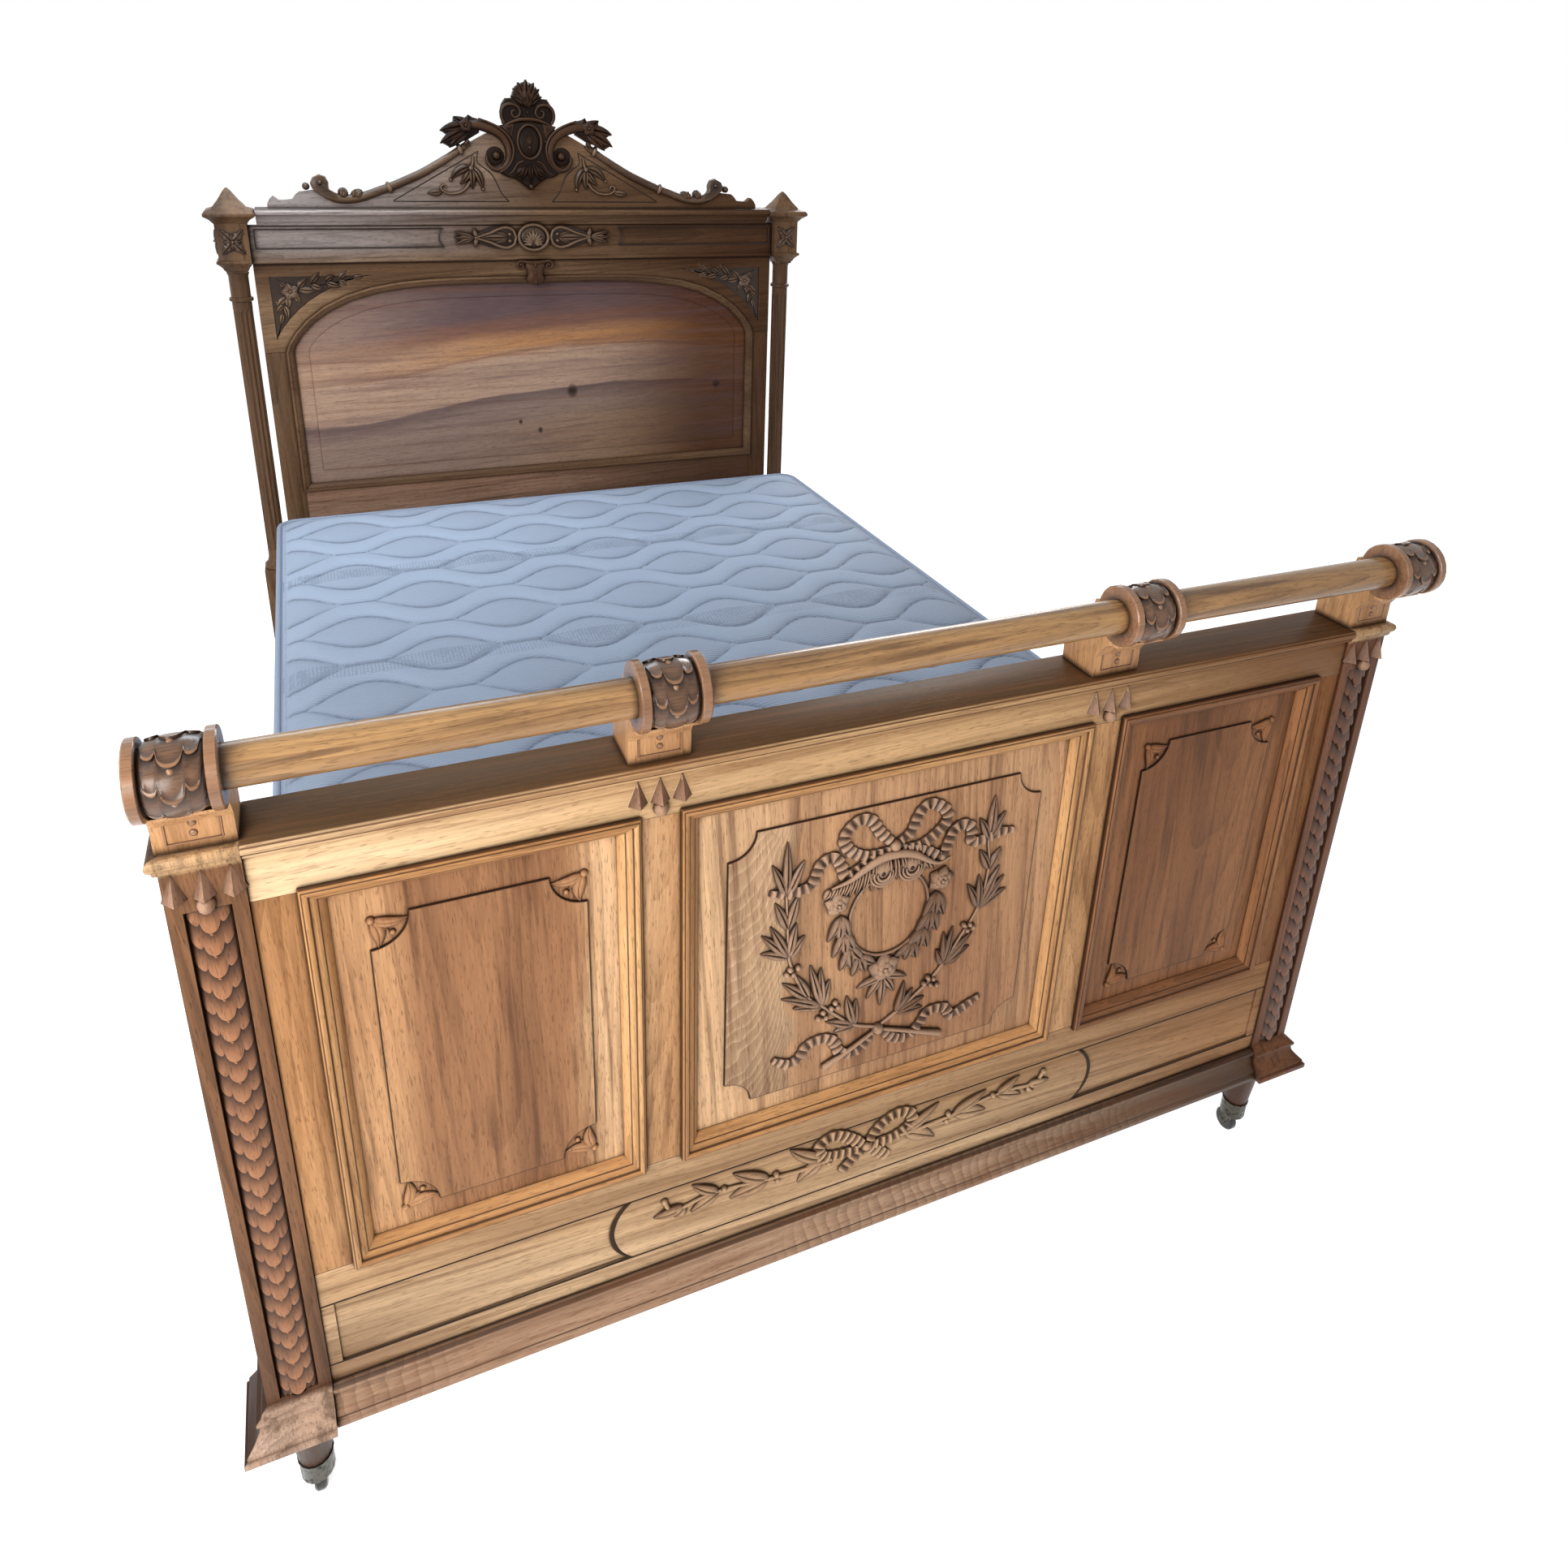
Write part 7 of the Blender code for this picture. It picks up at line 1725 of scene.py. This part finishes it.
TICKING_WHITE = colour(0.475, 0.55, 0.69)
TICKING_GREY = colour(0.435, 0.5, 0.63)
TICKING_SHADE = colour(0.13, 0.155, 0.215)
BAND_GREY = colour(0.25, 0.285, 0.37)
ticking, shader, start = material_tree("ticking")
place = start.node("ShaderNodeTexCoord", out="Object")
lit, lens, kind = (start.node("ShaderNodeAttribute", {"attribute_name": name}, out="Fac")
                   for name in ("lit", "lens", "kind"))
knit = place.noise(900.0, 1.0)
ribs = start.node("ShaderNodeTexWave", {"bands_direction": "Y"}, {
    "Vector": place, "Scale": 48.0, "Distortion": 7.0, "Detail": 1.0, "Detail Scale": 0.22}, out="Fac")
dots = start.node("ShaderNodeTexVoronoi", None, {"Vector": place, "Scale": 150.0, "Randomness": 0.25})
is_dotted = kind.step(0.3, 0.5) * (1.0 - kind.step(0.6, 0.9))
is_side = kind.step(0.7, 0.95)
# The lenses are painted a little greyer than the bands between them: painted shade.
tone = lens.mix(TICKING_WHITE, TICKING_GREY)
# The cloth is painted darker down the flanks of each swell and darkest along the seams: painted shade.
tone = ((1.0 - lit.step(0.25, 0.95)) * 0.3).mix(tone, TICKING_SHADE)
tone = ((1.0 - lit.step(0.15, 0.62)) * 0.85).mix(tone, TICKING_SHADE)
tone = ((1.0 - is_dotted) * ribs.step(0.5, 1.0) * 0.16).mix(tone, TICKING_SHADE)
tone = (is_dotted * dots.step(0.25, 0.55) * 0.4).mix(tone, TICKING_SHADE)
# It is painted greyer towards the foot: painted shade where the footboard keeps the light off.
to_foot = 1.0 - place.axes()[1].step(-0.98, 0.8)
tone = (to_foot * 0.62).mix(tone, TICKING_SHADE)
tone = is_side.mix(tone, BAND_GREY)
tone.feed(shader, "Base Color")
shader.inputs["Roughness"].default_value = 0.85
shader.inputs["Sheen Weight"].default_value = 0.1
relief = ribs * (1.0 - is_dotted) * (1.0 - is_side) * 0.8 + dots * is_dotted
cloth_bump = start.node("ShaderNodeBump", None, {"Strength": 0.6, "Distance": 0.0014,
                                                 "Height": relief + knit * 0.35})
cloth_bump.feed(shader, "Normal")

mattress = shell_piece("quilted_mattress", *mattress_mesh(), ticking, "ticking", 60.0)
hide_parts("mattress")

cord_cloth, shader, start = material_tree("cord_cloth")
weave = start.node("ShaderNodeTexCoord", out="Object").noise(700.0, 2.0)
weave.mix(BAND_GREY, TICKING_GREY).feed(shader, "Base Color")
shader.inputs["Roughness"].default_value = 0.85
border = np.linspace(-1, 1, 81)
s, t = np.meshgrid(border, border, indexing="ij")
cord_line = edge_loop(np.stack(rounded_plan(s, t), axis=-1))[:, None]
cord_way = np.roll(cord_line, -1, axis=0) - np.roll(cord_line, 1, axis=0)
cord_way = cord_way / np.linalg.norm(cord_way, axis=-1, keepdims=True)
turn = np.arange(10) * 2 * np.pi / 10
inward = CORD_RADIUS * np.cos(turn) - CORD_SUNK
cord_x = cord_line[..., 0] + cord_way[..., 1] * inward
cord_y = cord_line[..., 1] - cord_way[..., 0] * inward
cords = [stacked(cord_x, cord_y, level + CORD_RADIUS * np.sin(turn), 1.0)[None]
         for level in (top_z - CORD_INSET, bottom_z + CORD_INSET)]
carve("mattress_cords", cords, cord_cloth, "ticking", ring=True)


# Casters
# A brass cup on each foot, a brass fork that swivels under it, and a black wheel on the fork's axle.
# The brass has gone nearly black with age, darkest in its hollows.
BRASS = colour(0.085, 0.078, 0.062)
TARNISH = colour(0.018, 0.017, 0.015)
WHEEL_BLACK = colour(0.012, 0.011, 0.011)
WHEEL_GREY = colour(0.045, 0.042, 0.04)


def speckled(name, clean, stained, metallic, rough):
    """A finish that noise and hollows turn from clean to stained."""
    made, shader, start = material_tree(name)
    place = start.node("ShaderNodeTexCoord", out="Object")
    stain = place.noise(160.0, 3.0).step(0.42, 0.72)
    open_air = start.node("ShaderNodeAmbientOcclusion", {"samples": 6}, {"Distance": 0.008}, out="AO")
    stain = stain.larger(1.0 - open_air.step(0.3, 0.9))
    (stain * 0.8).mix(clean, stained).feed(shader, "Base Color")
    (stain * 0.25 + rough).feed(shader, "Roughness")
    shader.inputs["Metallic"].default_value = metallic
    return made


brass = speckled("aged_brass", BRASS, TARNISH, 1.0, 0.28)
black = speckled("black_wheel", WHEEL_BLACK, WHEEL_GREY, 0.0, 0.18)
for end in ("foot", "head"):
    for side in ("left", "right"):
        dress([f"caster_cup_{end}_{side}", f"caster_fork_{end}_{side}"], brass, edge=0.0004)
        dress([f"caster_wheel_{end}_{side}"], black, edge=0.0004)
